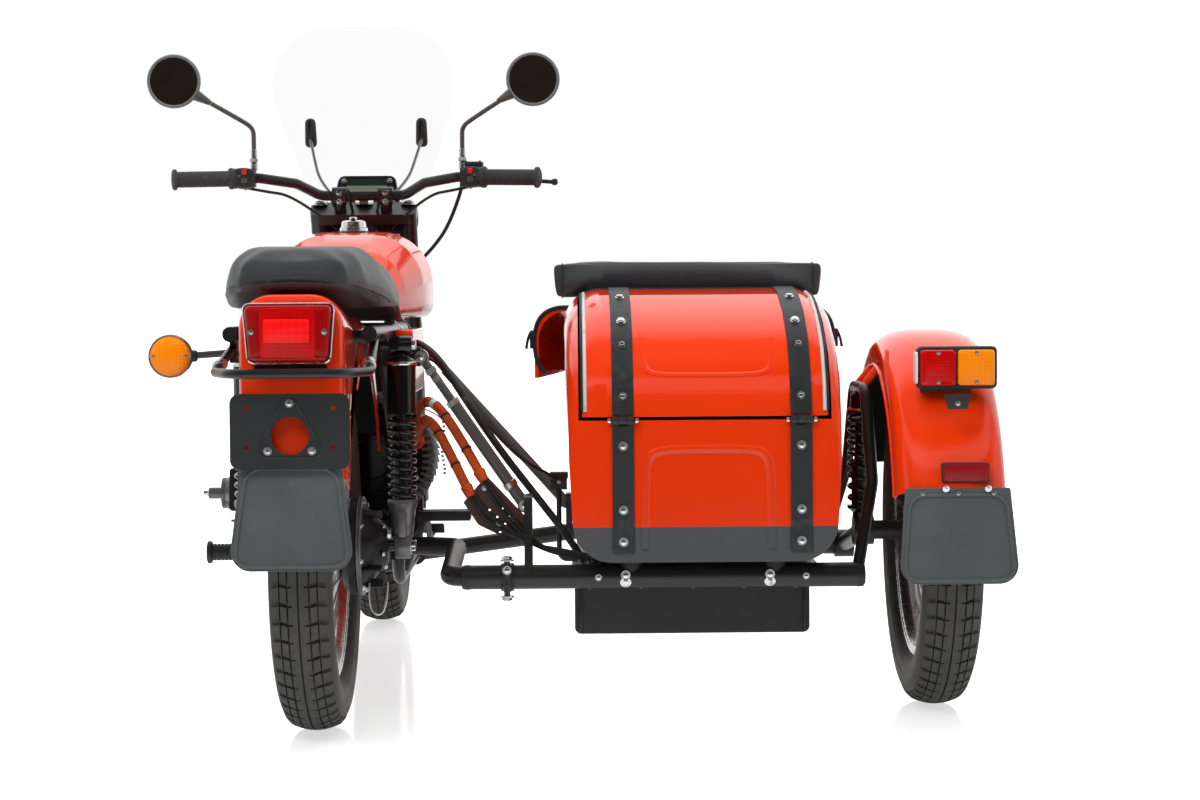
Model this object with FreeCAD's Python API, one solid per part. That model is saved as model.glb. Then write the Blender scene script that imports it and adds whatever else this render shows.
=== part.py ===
import FreeCAD, Part
import math
import os

# Electric sidecar motorcycle, in millimetres.
# While it is built, X points to the sidecar side, Y forward and Z up. The motorcycle's
# middle plane is X = 0, the rear axle is at Y = 0 and the floor is Z = 0. Every shape is
# then moved once, so that the origin is at the bottom centre of the whole.

V = FreeCAD.Vector

# Driving dimensions
WHEELBASE = 1500.0
TRACK = 1140.0
SIDECAR_LEAD = 225.0
TYRE_R = 329.0
TYRE_HALF_W = 54.5
RIM_R = 238.0
RIM_HALF_W = 37.0
RAKE_DEG = 27.5
TRAIL = 50.0

# Clearances that many pieces share
SEAT_GAP = 0.3
RUNNING_FIT = 0.05
MOVING_GAP = 6.0
OVERRUN = 20.0

# Main frame tubes
RAIL_X = 118.0
RAIL_R = 13.0
RAIL_Z = 715.0
RAIL_REAR_Y = -250.0
BASE_Z = 222.0
PIVOT_Y = 372.0

# Axles
AXLE_R = 10.0
AXLE_Z = TYRE_R

# Whole-turn angle for patterns
TURN_DEG = 360.0
RIGHT_DEG = 90.0


def rod(start, end, radius):
    """A round bar between two points."""
    axis = end - start
    return Part.makeCylinder(radius, axis.Length, start, axis)


def ring(start, end, radius, bore):
    """A round bar with a hole along it."""
    return rod(start, end, radius).cut(rod(start, end, bore))


def cone(start, end, start_radius, end_radius):
    axis = end - start
    return Part.makeCone(start_radius, end_radius, axis.Length, start, axis)


def block(x0, x1, y0, y1, z0, z1):
    """A box between two corners."""
    return Part.makeBox(x1 - x0, y1 - y0, z1 - z0, V(x0, y0, z0))


def fuse(shapes):
    """Join solids that touch or overlap and merge their flat seams."""
    whole = shapes[0].multiFuse(shapes[1:]) if len(shapes) > 1 else shapes[0]
    return whole.removeSplitter()


def seated(shape, *carriers):
    """Cut a piece where it would enter the pieces that carry it."""
    return shape.cut([carrier.copy() for carrier in carriers])


def apart(shapes):
    """Like pieces that don't touch, kept as one node."""
    return Part.makeCompound(shapes)


def rounded_wire(points, radius, closed):
    """Straight runs joined by tangent arcs; a corner's radius can be a number or a list."""
    count = len(points)
    radii = radius if isinstance(radius, (list, tuple)) else [radius] * count
    corners = []
    for i in range(count):
        here = points[i]
        inner = closed or 0 < i < count - 1
        if not inner or radii[i] <= 0:
            corners.append((here, None, here))
            continue
        back = (points[i - 1] - here).normalize()
        ahead = (points[(i + 1) % count] - here).normalize()
        half = back.getAngle(ahead) / 2
        reach = radii[i] / math.tan(half)
        middle = (back + ahead).normalize()
        centre = here + middle * (radii[i] / math.sin(half))
        corners.append((here + back * reach, centre - middle * radii[i], here + ahead * reach))
    edges = []
    for i in range(count):
        start, mid, end = corners[i]
        if mid is not None:
            edges.append(Part.Arc(start, mid, end).toShape())
        if i < count - 1 or closed:
            onward = corners[(i + 1) % count][0]
            if (onward - end).Length > RUNNING_FIT:
                edges.append(Part.LineSegment(end, onward).toShape())
    return Part.Wire(edges)


def pipe(points, radius, bend):
    """A round tube, solid inside, along straight runs and arcs."""
    path = rounded_wire(points, bend, False)
    circle = Part.Wire(Part.makeCircle(radius, points[0], points[1] - points[0]))
    return path.makePipeShell([circle], True, False)


def plate(points, radius, thickness):
    """A flat outline with round corners, thickened along a vector."""
    return Part.Face(rounded_wire(points, radius, True)).extrude(thickness)


def plate_x(outline, radius, x0, x1):
    """An outline of (y, z) points between two X places."""
    return plate([V(x0, y, z) for y, z in outline], radius, V(x1 - x0, 0, 0))


def plate_y(outline, radius, y0, y1):
    """An outline of (x, z) points between two Y places."""
    return plate([V(x, y0, z) for x, z in outline], radius, V(0, y1 - y0, 0))


def plate_z(outline, radius, z0, z1):
    """An outline of (x, y) points between two Z places."""
    return plate([V(x, y, z0) for x, y in outline], radius, V(0, 0, z1 - z0))


def mirrored(shape):
    """The same shape on the other side of the motorcycle."""
    return shape.mirror(V(0, 0, 0), V(1, 0, 0))


def both_sides(shape):
    return [shape, mirrored(shape)]


def spun(wire_edges, centre, turn=TURN_DEG):
    """Revolve a closed outline, drawn as (x, 0, radius), about a line along X."""
    face = Part.Face(Part.Wire(wire_edges))
    solid = face.revolve(V(0, 0, 0), V(1, 0, 0), turn)
    solid.translate(centre)
    return solid


def spun_outline(outline, centre, turn=TURN_DEG):
    points = [V(x, 0, r) for x, r in outline]
    wire = Part.makePolygon(points + points[:1])
    return spun(wire.Edges, centre, turn)


def turned_about_x(shape, centre, degrees):
    turned = shape.copy()
    turned.rotate(centre, V(1, 0, 0), degrees)
    return turned


# Places of the three wheels
REAR_HUB = V(0, 0, AXLE_Z)
FRONT_HUB = V(0, WHEELBASE, AXLE_Z)
SIDECAR_HUB = V(TRACK, SIDECAR_LEAD, AXLE_Z)

# Tyre section
BEAD_R = 226.0
BEAD_HALF_W = 30.7
CROWN_DROP = 10.0
CROWN_HALF_W = 41.0
SHOULDER_DROP = 17.0


def make_tyre(centre):
    """One closed ring: flat bead seat, bulged walls, rounded shoulders and crown."""
    belly_r = (TYRE_R + RIM_R) / 2
    inner = V(BEAD_HALF_W, 0, BEAD_R)
    flange = V(BEAD_HALF_W, 0, RIM_R)
    belly = V(TYRE_HALF_W, 0, belly_r)
    shoulder = V(CROWN_HALF_W, 0, TYRE_R - CROWN_DROP)
    cheek = V(TYRE_HALF_W - SEAT_GAP, 0, TYRE_R - SHOULDER_DROP - CROWN_DROP)
    crown = V(0, 0, TYRE_R)

    def other(point):
        return V(-point.x, 0, point.z)

    edges = [
        Part.LineSegment(other(inner), inner).toShape(),
        Part.LineSegment(inner, flange).toShape(),
        Part.LineSegment(flange, belly).toShape(),
        Part.LineSegment(belly, cheek).toShape(),
        Part.LineSegment(cheek, shoulder).toShape(),
        Part.Arc(shoulder, crown, other(shoulder)).toShape(),
        Part.LineSegment(other(shoulder), other(cheek)).toShape(),
        Part.LineSegment(other(cheek), other(belly)).toShape(),
        Part.LineSegment(other(belly), other(flange)).toShape(),
        Part.LineSegment(other(flange), other(inner)).toShape(),
    ]
    return spun(edges, centre)


# Wheel: rim, wire spokes and drum hub
RIM_FLANGE_T = 6.0
RIM_WALL = 7.0
RIM_WELL_R = 213.0
RIM_WELL_HALF_W = 18.0
HUB_R = 62.0
HUB_BARREL_R = 34.0
HUB_HALF_W = 44.0
HUB_FLANGE_T = 7.0
SPOKE_R = 2.2
SPOKE_PAIRS = 18
SPOKE_FACES = 6
SPOKE_INSET = 5.0
SPOKE_SWING_DEG = 38.0
SPOKE_STAGGER_DEG = 10.0
SPOKE_RIM_X = 7.0


def make_spoke(start, end):
    """A six-sided wire between two points."""
    axis = (end - start).normalize()
    side = axis.cross(V(0, axis.z, -axis.y)).normalize()
    other = axis.cross(side)
    step = 2 * math.pi / SPOKE_FACES
    corners = []
    for i in range(SPOKE_FACES + 1):
        corners.append(start + (side * math.cos(i * step) + other * math.sin(i * step)) * SPOKE_R)
    return Part.Face(Part.makePolygon(corners)).extrude(end - start)


def on_circle(x, radius, degrees):
    angle = math.radians(degrees)
    return V(x, radius * math.cos(angle), radius * math.sin(angle))


def make_wheel(centre):
    """Rim, laced spokes and hub, fused, with a bore that runs on the axle."""
    bore = AXLE_R + RUNNING_FIT
    seat_r = BEAD_R - SEAT_GAP
    web_x = RIM_HALF_W - RIM_FLANGE_T
    inner_r = RIM_WELL_R - RIM_WALL
    rim_half = [
        (RIM_HALF_W, RIM_R), (web_x, RIM_R), (web_x, seat_r), (RIM_WELL_HALF_W, RIM_WELL_R),
    ]
    inner_half = [
        (RIM_WELL_HALF_W, inner_r), (web_x, seat_r - RIM_WALL), (RIM_HALF_W, seat_r - RIM_WALL),
    ]
    rim = spun_outline(
        [(-x, r) for x, r in rim_half]
        + [(x, r) for x, r in reversed(rim_half)]
        + [(x, r) for x, r in reversed(inner_half)]
        + [(-x, r) for x, r in inner_half],
        V(0, 0, 0),
    )
    hub_half = [
        (HUB_HALF_W, bore), (HUB_HALF_W, HUB_R), (HUB_HALF_W - HUB_FLANGE_T, HUB_R),
        (HUB_HALF_W - 2 * HUB_FLANGE_T, HUB_BARREL_R),
    ]
    hub = spun_outline(
        [(-x, r) for x, r in hub_half] + [(x, r) for x, r in reversed(hub_half)],
        V(0, 0, 0),
    )
    flange_x = HUB_HALF_W - HUB_FLANGE_T / 2
    pieces = [rim, hub]
    pitch = TURN_DEG / SPOKE_PAIRS
    for i in range(SPOKE_PAIRS):
        for side in (1, -1):
            lean = SPOKE_SWING_DEG if i % 2 else -SPOKE_SWING_DEG
            at = i * pitch + side * SPOKE_STAGGER_DEG / 2
            root = on_circle(side * flange_x, HUB_R - SPOKE_INSET, at + lean)
            tip = on_circle(side * SPOKE_RIM_X, inner_r + SPOKE_R, at)
            pieces.append(make_spoke(root, tip))
    wheel = fuse(pieces)
    wheel.translate(centre)
    return wheel


# Steering axis and fork
HEAD_TOP_Z = 950.0
HEAD_LOW_Z = 838.0
HEAD_R = 30.0
STEM_R = 16.0
YOKE_T = 24.0
YOKE_HALF_X = 118.0
YOKE_BACK = 24.0
YOKE_FRONT = 42.0
YOKE_CORNER = 20.0
LEG_X = 98.0
LEG_R = 20.0
LEG_LOW_Z = 300.0
LEG_FOOT_R = 25.0
LINK_R = 14.0
LINK_BOSS_R = 22.0
LINK_BOSS_HALF_W = 13.0
DAMPER_R = 17.0
DAMPER_TOP_Z = 690.0
DAMPER_TOP_AHEAD = 58.0
DAMPER_LINK_SHARE = 0.80
DAMPER_PIN_R = 9.0


def axis_at(height):
    """The point of the steering axis at a height."""
    return V(0, WHEELBASE + TRAIL - height * math.tan(math.radians(RAKE_DEG)), height)


def steer_up():
    rake = math.radians(RAKE_DEG)
    return V(0, -math.sin(rake), math.cos(rake))


def steer_ahead():
    rake = math.radians(RAKE_DEG)
    return V(0, math.cos(rake), math.sin(rake))


def make_yoke(low_point):
    """A flat clamp across the legs, square to the steering axis."""
    ahead = steer_ahead()
    outline = [
        low_point + V(-YOKE_HALF_X, 0, 0) - ahead * YOKE_BACK,
        low_point + V(YOKE_HALF_X, 0, 0) - ahead * YOKE_BACK,
        low_point + V(YOKE_HALF_X, 0, 0) + ahead * YOKE_FRONT,
        low_point + V(-YOKE_HALF_X, 0, 0) + ahead * YOKE_FRONT,
    ]
    return plate(outline, YOKE_CORNER, steer_up() * YOKE_T)


def leg_line():
    """Foot and top of the right leg's centre line."""
    foot = axis_at(LEG_LOW_Z) + V(LEG_X, 0, 0)
    top = axis_at(HEAD_TOP_Z) + V(LEG_X, 0, 0) + steer_up() * (YOKE_T + SEAT_GAP)
    return foot, top


def make_fork():
    """Stem, two yokes and two legs with the link pivots at their feet."""
    up = steer_up()
    top_plane = axis_at(HEAD_TOP_Z) + up * SEAT_GAP
    low_plane = axis_at(HEAD_LOW_Z) - up * (SEAT_GAP + YOKE_T)
    stem = rod(low_plane, top_plane + up * YOKE_T, STEM_R)
    foot, top = leg_line()
    leg = rod(foot, top, LEG_R)
    shoe = rod(foot - V(LINK_BOSS_HALF_W, 0, 0), foot + V(LINK_BOSS_HALF_W, 0, 0), LEG_FOOT_R)
    lug_at = axis_at(DAMPER_TOP_Z) + V(LEG_X, 0, 0)
    lug = rod(lug_at, lug_at + steer_ahead() * (DAMPER_TOP_AHEAD - DAMPER_R - SEAT_GAP), DAMPER_PIN_R)
    pieces = [stem, make_yoke(low_plane), make_yoke(top_plane)]
    for piece in (leg, shoe, lug):
        pieces += both_sides(piece)
    return fuse(pieces)


def make_front_links():
    """Leading links from the leg feet to the front axle, with the axle between them."""
    foot = leg_line()[0]
    half = V(LINK_BOSS_HALF_W, 0, 0)
    hub = V(LEG_X, WHEELBASE, AXLE_Z)
    pieces = [rod(V(-LEG_X, WHEELBASE, AXLE_Z), hub, AXLE_R)]
    link = fuse([rod(foot, hub, LINK_R), rod(hub - half, hub + half, LINK_BOSS_R)])
    link = link.cut(rod(foot - half * 2, foot + half * 2, LEG_FOOT_R + SEAT_GAP))
    return fuse(pieces + both_sides(link))


def front_damper_line():
    foot = leg_line()[0]
    hub = V(LEG_X, WHEELBASE, AXLE_Z)
    low = foot + (hub - foot) * DAMPER_LINK_SHARE
    top = axis_at(DAMPER_TOP_Z) + V(LEG_X, 0, 0) + steer_ahead() * DAMPER_TOP_AHEAD
    return low, top


def make_front_dampers(links, fork):
    """Upper cans and lower bodies, from the leg lugs to the links."""
    low, top = front_damper_line()
    middle = low + (top - low) / 2
    damper = fuse([rod(low, middle, DAMPER_PIN_R), rod(middle, top, DAMPER_R)])
    return apart([seated(side, links, fork) for side in both_sides(damper)])


# Front fender
FRONT_FENDER_GAP = 34.0
FRONT_FENDER_HALF_W = 70.0
FENDER_T = 3.0
FENDER_CROWN = 16.0
FENDER_SKIRT = 46.0
FRONT_FENDER_FROM_DEG = 12.0
FRONT_FENDER_TO_DEG = 172.0
FRONT_LUG_T = 10.0
FRONT_LUG_DEG = 136.0


def fender_section(half_w, outer_r, skirt, crown):
    """A crowned channel as (x, radius) points, outer line then inner line."""
    outer = [
        (-half_w, outer_r - skirt), (-half_w, outer_r - crown), (-half_w / 2, outer_r),
        (half_w / 2, outer_r), (half_w, outer_r - crown), (half_w, outer_r - skirt),
    ]
    thin = FENDER_T
    inner = [
        (half_w - thin, outer_r - skirt), (half_w - thin, outer_r - crown - thin),
        (half_w / 2, outer_r - thin), (-half_w / 2, outer_r - thin),
        (-half_w + thin, outer_r - crown - thin), (-half_w + thin, outer_r - skirt),
    ]
    return outer + inner


def fender_arc(half_w, outer_r, skirt, crown, centre, from_deg, to_deg):
    """A fender swept about an axle between two angles measured from +Y upward."""
    section = fender_section(half_w, outer_r, skirt, crown)
    arc = spun_outline(section, V(0, 0, 0), to_deg - from_deg)
    arc.rotate(V(0, 0, 0), V(1, 0, 0), from_deg - RIGHT_DEG)
    arc.translate(centre)
    return arc


def make_front_fender(fork):
    outer_r = TYRE_R + FRONT_FENDER_GAP
    arc = fender_arc(
        FRONT_FENDER_HALF_W, outer_r, FENDER_SKIRT, FENDER_CROWN,
        FRONT_HUB, FRONT_FENDER_FROM_DEG, FRONT_FENDER_TO_DEG,
    )
    at = on_circle(FRONT_FENDER_HALF_W - FENDER_T, outer_r - FENDER_SKIRT / 2, FRONT_LUG_DEG) + FRONT_HUB
    lug = rod(at, V(LEG_X, at.y, at.z), FRONT_LUG_T)
    return fuse([arc] + [seated(side, fork) for side in both_sides(lug)])


# Handlebar and what it carries
BAR_R = 11.0
BAR_BEND = 34.0
BAR_END_X = 386.0
BAR_END_Y = WHEELBASE - 631.0
BAR_END_Z = 1033.0
BAR_IN_X = 215.0
BAR_IN_Y = WHEELBASE - 575.0
BAR_IN_Z = 1038.0
BAR_SHOULDER_X = 140.0
BAR_SHOULDER_Y = WHEELBASE - 525.0
BAR_SHOULDER_Z = 1028.0
BAR_DROP_X = 92.0
BAR_CLAMP_X = 51.0
BAR_CLAMP_RISE = 36.0
BAR_CLAMP_HALF_W = 16.0
BAR_CLAMP_R = 19.0
BAR_POST_R = 13.0


def clamp_point(x):
    """The bar's centre over the top yoke."""
    return axis_at(HEAD_TOP_Z) + steer_up() * (YOKE_T + BAR_CLAMP_RISE) + V(x, 0, 0)


def bar_points():
    left = [
        V(-BAR_END_X, BAR_END_Y, BAR_END_Z), V(-BAR_IN_X, BAR_IN_Y, BAR_IN_Z),
        V(-BAR_SHOULDER_X, BAR_SHOULDER_Y, BAR_SHOULDER_Z), clamp_point(-BAR_DROP_X),
    ]
    return left + [V(-p.x, p.y, p.z) for p in reversed(left)]


def make_handlebar(fork):
    """The bent bar and its two clamps on the top yoke."""
    pieces = [pipe(bar_points(), BAR_R, BAR_BEND)]
    up = steer_up()
    for side in (-1, 1):
        middle = clamp_point(side * BAR_CLAMP_X)
        half = V(BAR_CLAMP_HALF_W, 0, 0)
        post = rod(middle, middle - up * BAR_CLAMP_RISE, BAR_POST_R)
        pieces += [rod(middle - half, middle + half, BAR_CLAMP_R), seated(post, fork)]
    return fuse(pieces)


GRIP_R = 17.0
GRIP_FLANGE_R = 23.0
GRIP_FLANGE_T = 6.0
GRIP_SHARE = 0.70
SWITCH_HALF = 21.0
SWITCH_START_SHARE = 0.74
SWITCH_END_SHARE = 0.98
LEVER_R = 5.0
LEVER_BALL_R = 8.0
LEVER_AHEAD = 40.0
RESERVOIR_W = 44.0
RESERVOIR_H = 32.0


def along(start, end, share):
    return start + (end - start) * share


def make_hand_controls(handlebar):
    """Grips with end flanges, switch blocks, and the brake lever with its reservoir."""
    pieces = []
    for side in (-1, 1):
        end = V(side * BAR_END_X, BAR_END_Y, BAR_END_Z)
        inner = V(side * BAR_IN_X, BAR_IN_Y, BAR_IN_Z)
        away = (end - inner).normalize()
        grip = rod(end + away * GRIP_FLANGE_T, along(end, inner, GRIP_SHARE), GRIP_R)
        lip = rod(end, end + away * GRIP_FLANGE_T, GRIP_FLANGE_R)
        stop = along(end, inner, GRIP_SHARE)
        flange = rod(stop, stop - away * GRIP_FLANGE_T, GRIP_FLANGE_R)
        box_from = along(end, inner, SWITCH_START_SHARE)
        box_to = along(end, inner, SWITCH_END_SHARE)
        switch = rod(box_from, box_to, SWITCH_HALF)
        bridge = rod(stop, box_from, GRIP_R)
        unit = [grip, lip, flange, switch, bridge]
        if side > 0:
            root = along(box_from, box_to, 1 / 2)
            knee = root + V(0, LEVER_AHEAD, 0)
            tip = V(BAR_END_X + LEVER_AHEAD, BAR_END_Y + LEVER_AHEAD, BAR_END_Z - LEVER_BALL_R)
            lever = pipe([root, knee, tip], LEVER_R, LEVER_AHEAD / 4)
            cup = block(
                root.x - RESERVOIR_W / 2, root.x + RESERVOIR_W / 2,
                root.y, root.y + RESERVOIR_W, root.z, root.z + RESERVOIR_H,
            )
            unit += [lever, Part.makeSphere(LEVER_BALL_R, tip), cup]
        pieces.append(seated(fuse(unit), handlebar))
    return apart(pieces)


MIRROR_X = 382.0
MIRROR_Y = WHEELBASE - 673.0
MIRROR_Z = 1240.0
MIRROR_R = 57.0
MIRROR_T = 22.0
MIRROR_BACK_R = 40.0
MIRROR_STEM_R = 5.0
MIRROR_STEM_X = 226.0
MIRROR_KNEE_Z = 1145.0
MIRROR_BEND = 22.0


def make_mirrors(handlebar, hand_controls):
    """Round mirrors facing the rider on bent stems that rise from the switch blocks."""
    centre = V(MIRROR_X, MIRROR_Y, MIRROR_Z)
    face = cone(centre, centre + V(0, MIRROR_T, 0), MIRROR_R, MIRROR_BACK_R)
    base = V(MIRROR_STEM_X, BAR_IN_Y, BAR_IN_Z)
    knee = V(MIRROR_STEM_X, BAR_IN_Y, MIRROR_KNEE_Z)
    neck = centre + V(0, MIRROR_T / 2, 0)
    stem = pipe([base, knee, neck], MIRROR_STEM_R, MIRROR_BEND)
    return apart([seated(side, handlebar, hand_controls) for side in both_sides(fuse([face, stem]))])


# Headlamp, instrument panel and windscreen
LAMP_R = 88.0
LAMP_Y = WHEELBASE - 262.0
LAMP_Z = 880.0
LAMP_DEPTH = 120.0
LAMP_BACK_R = 46.0
LAMP_LIP = 14.0
EAR_T = 8.0
EAR_H = 70.0


def make_headlamp():
    """A bowl with a front rim, held by two ears from the fork legs."""
    back = V(0, LAMP_Y - LAMP_DEPTH / 2, LAMP_Z)
    front = V(0, LAMP_Y + LAMP_DEPTH / 2, LAMP_Z)
    bowl = cone(back, front, LAMP_BACK_R, LAMP_R)
    rim = rod(front, front + V(0, LAMP_LIP, 0), LAMP_R)
    return fuse([bowl, rim])


def make_headlamp_ears(fork, headlamp):
    """Plates from the legs forward to the lamp's sides, each with a bolt into the lamp."""
    root = axis_at(LAMP_Z) + V(LEG_X - EAR_T / 2, 0, 0)
    outline = [
        (root.y, LAMP_Z - EAR_H / 2), (LAMP_Y, LAMP_Z - EAR_H / 4),
        (LAMP_Y, LAMP_Z + EAR_H / 4), (root.y, LAMP_Z + EAR_H / 2),
    ]
    ear = plate_x(outline, EAR_T, root.x, root.x + EAR_T)
    bolt_at = V(root.x, LAMP_Y - EAR_T, LAMP_Z)
    bolt = rod(V(0, bolt_at.y, bolt_at.z), bolt_at, EAR_T / 2)
    side = seated(fuse([ear, bolt]), fork, headlamp)
    return apart(both_sides(side))


PANEL_Y = WHEELBASE - 374.0
PANEL_Z = 1010.0
PANEL_HALF_W = 82.0
PANEL_TOP_HALF_W = 64.0
PANEL_H = 104.0
PANEL_T = 34.0
PANEL_TILT_DEG = 32.0
PANEL_FOOT_R = 12.0


def make_instrument_panel(fork):
    """A trapezoid display leaning back towards the rider, on a post from the top yoke."""
    outline = [
        (-PANEL_TOP_HALF_W, PANEL_Z + PANEL_H / 2), (PANEL_TOP_HALF_W, PANEL_Z + PANEL_H / 2),
        (PANEL_HALF_W, PANEL_Z - PANEL_H / 2), (-PANEL_HALF_W, PANEL_Z - PANEL_H / 2),
    ]
    case = plate_y(outline, PANEL_FOOT_R, PANEL_Y, PANEL_Y + PANEL_T)
    case = turned_about_x(case, V(0, PANEL_Y, PANEL_Z), -PANEL_TILT_DEG)
    root = axis_at(HEAD_TOP_Z) + steer_ahead() * (YOKE_FRONT - PANEL_FOOT_R) + steer_up() * YOKE_T
    post = rod(root, V(0, PANEL_Y + PANEL_T / 2, PANEL_Z), PANEL_FOOT_R)
    return seated(fuse([case, post]), fork)


SCREEN_T = 4.0
SCREEN_CURVE_R = 330.0
SCREEN_LOW_Y = WHEELBASE - 275.0
SCREEN_LOW_Z = 985.0
SCREEN_TOP_Z = 1384.0
SCREEN_LEAN_DEG = 17.0
SCREEN_HALF_W = 201.0
SCREEN_FOOT_HALF_W = 120.0
SCREEN_WIDE_SHARE = 0.62
SCREEN_SHOULDER_SHARE = 0.86
SCREEN_CORNER = 70.0


def screen_height():
    return (SCREEN_TOP_Z - SCREEN_LOW_Z) / math.cos(math.radians(SCREEN_LEAN_DEG))


def lean_screen(shape):
    """Tip an upright shape backwards about the windscreen's lower edge."""
    return turned_about_x(shape, V(0, SCREEN_LOW_Y, SCREEN_LOW_Z), SCREEN_LEAN_DEG)


def screen_curve(outer_radius):
    """An upright round column through the windscreen's middle line."""
    centre = V(0, SCREEN_LOW_Y - SCREEN_CURVE_R, SCREEN_LOW_Z - OVERRUN)
    height = screen_height() + 2 * OVERRUN
    return Part.makeCylinder(outer_radius, height, centre, V(0, 0, 1))


def make_windscreen():
    """A clear shield cut from a curved sheet and leaned back."""
    height = screen_height()
    wide = SCREEN_LOW_Z + height * SCREEN_WIDE_SHARE
    shoulder = SCREEN_LOW_Z + height * SCREEN_SHOULDER_SHARE
    top = SCREEN_LOW_Z + height
    outline = [
        (-SCREEN_FOOT_HALF_W, SCREEN_LOW_Z), (SCREEN_FOOT_HALF_W, SCREEN_LOW_Z),
        (SCREEN_HALF_W, wide), (SCREEN_HALF_W, shoulder), (SCREEN_HALF_W / 2, top),
        (-SCREEN_HALF_W / 2, top), (-SCREEN_HALF_W, shoulder), (-SCREEN_HALF_W, wide),
    ]
    radii = [SCREEN_CORNER / 2] * 2 + [SCREEN_CORNER] * 6
    radii[3] = radii[6] = SCREEN_CORNER / 3
    shield = plate_y(outline, radii, SCREEN_LOW_Y - SCREEN_CURVE_R / 2, SCREEN_LOW_Y + OVERRUN)
    sheet = screen_curve(SCREEN_CURVE_R).cut(screen_curve(SCREEN_CURVE_R - SCREEN_T))
    return lean_screen(shield.common(sheet))


STAY_R = 3.5
STAY_PAD_R = 17.0
STAY_PAD_T = 12.0
STAY_PAD_X = 125.0
STAY_PAD_Z = 1148.0


def make_screen_stays(windscreen, handlebar):
    """Bright rods from the bar clamps up to pads behind the shield."""
    height = (STAY_PAD_Z - SCREEN_LOW_Z) / math.cos(math.radians(SCREEN_LEAN_DEG))
    depth = math.sqrt(SCREEN_CURVE_R ** 2 - STAY_PAD_X ** 2) - SCREEN_CURVE_R
    pad_at = V(STAY_PAD_X, SCREEN_LOW_Y + depth, SCREEN_LOW_Z + height)
    inward = V(pad_at.x, SCREEN_CURVE_R + depth, 0).normalize()
    pad = rod(pad_at - inward * (STAY_PAD_T + SCREEN_T), pad_at, STAY_PAD_R)
    pad = lean_screen(pad)
    centre = pad.CenterOfMass
    stay = rod(centre, clamp_point(BAR_CLAMP_X + BAR_CLAMP_HALF_W), STAY_R)
    sides = both_sides(fuse([pad, stay]))
    behind = lean_screen(screen_curve(SCREEN_CURVE_R * 2).cut(screen_curve(SCREEN_CURVE_R - SCREEN_T)))
    return apart([seated(side, windscreen, handlebar, behind) for side in sides])


# Brake hose from the hand reservoir to the lower yoke
BAR_HOSE_R = 4.0
BAR_HOSE_BEND = 30.0
BAR_HOSE_ROUTE = (
    (225.0, BAR_IN_Y + 20.0, 1022.0),
    (205.0, BAR_IN_Y + 60.0, 962.0),
    (160.0, BAR_IN_Y + 125.0, 890.0),
    (98.0, BAR_IN_Y + 187.0, 838.0),
)


def make_bar_hose(fork, hand_controls):
    route = [V(*place) for place in BAR_HOSE_ROUTE]
    return seated(pipe(route, BAR_HOSE_R, BAR_HOSE_BEND), fork, hand_controls)


# Frame
DOWN_TOP_X = 24.0
DOWN_TOP_BACK = 26.0
DOWN_TOP_UP = 62.0
DOWN_KNEE_X = 44.0
DOWN_KNEE_BACK = 82.0
DOWN_LOW_Y = WHEELBASE - 515.0
DOWN_LOW_Z = 330.0
BASE_FRONT_Y = WHEELBASE - 550.0
FRAME_BEND = 60.0
LOOP_R = 12.4
STAY_TUBE_R = 11.0
BACKBONE_R = 24.0
BACKBONE_REAR_Y = 508.0
BACKBONE_REAR_Z = 722.0
CROSS_R = 11.6
FOOT_CROSS_Y = 640.0
PIVOT_CROSS_R = 16.0
STRUT_LOW_SHARE = 0.42
STRUT_TOP_Y = 20.0
REAR_FENDER_R = 425.0
REAR_CROSS_Y = -216.0
SHOCK_LEFT_X = -122.0
SHOCK_RIGHT_X = 154.0
SHOCK_TOP_Z = 690.0
SHOCK_PIN_R = 8.0
STRUT_LUG_Y = 60.0
STRUT_LUG_Z = 668.0
STRUT_LUG_X = 186.0
STRUT_LUG_HALF_H = 17.0
LUG_T = 12.0
SIGNAL_Y = -200.0
SIGNAL_Z = 678.0


def fender_top_z(y, radius):
    """Height of a circle about the rear axle at a place along the bike."""
    return AXLE_Z + math.sqrt(radius ** 2 - y ** 2)


def down_top():
    """Where the right down tube leaves the steering head."""
    point = axis_at(HEAD_LOW_Z) + steer_up() * DOWN_TOP_UP - steer_ahead() * DOWN_TOP_BACK
    return point + V(DOWN_TOP_X, 0, 0)


def down_knee():
    """The right down tube's bend, clear of the lower yoke at full lock."""
    return axis_at(HEAD_LOW_Z) - steer_ahead() * DOWN_KNEE_BACK + V(DOWN_KNEE_X, 0, 0)


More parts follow.
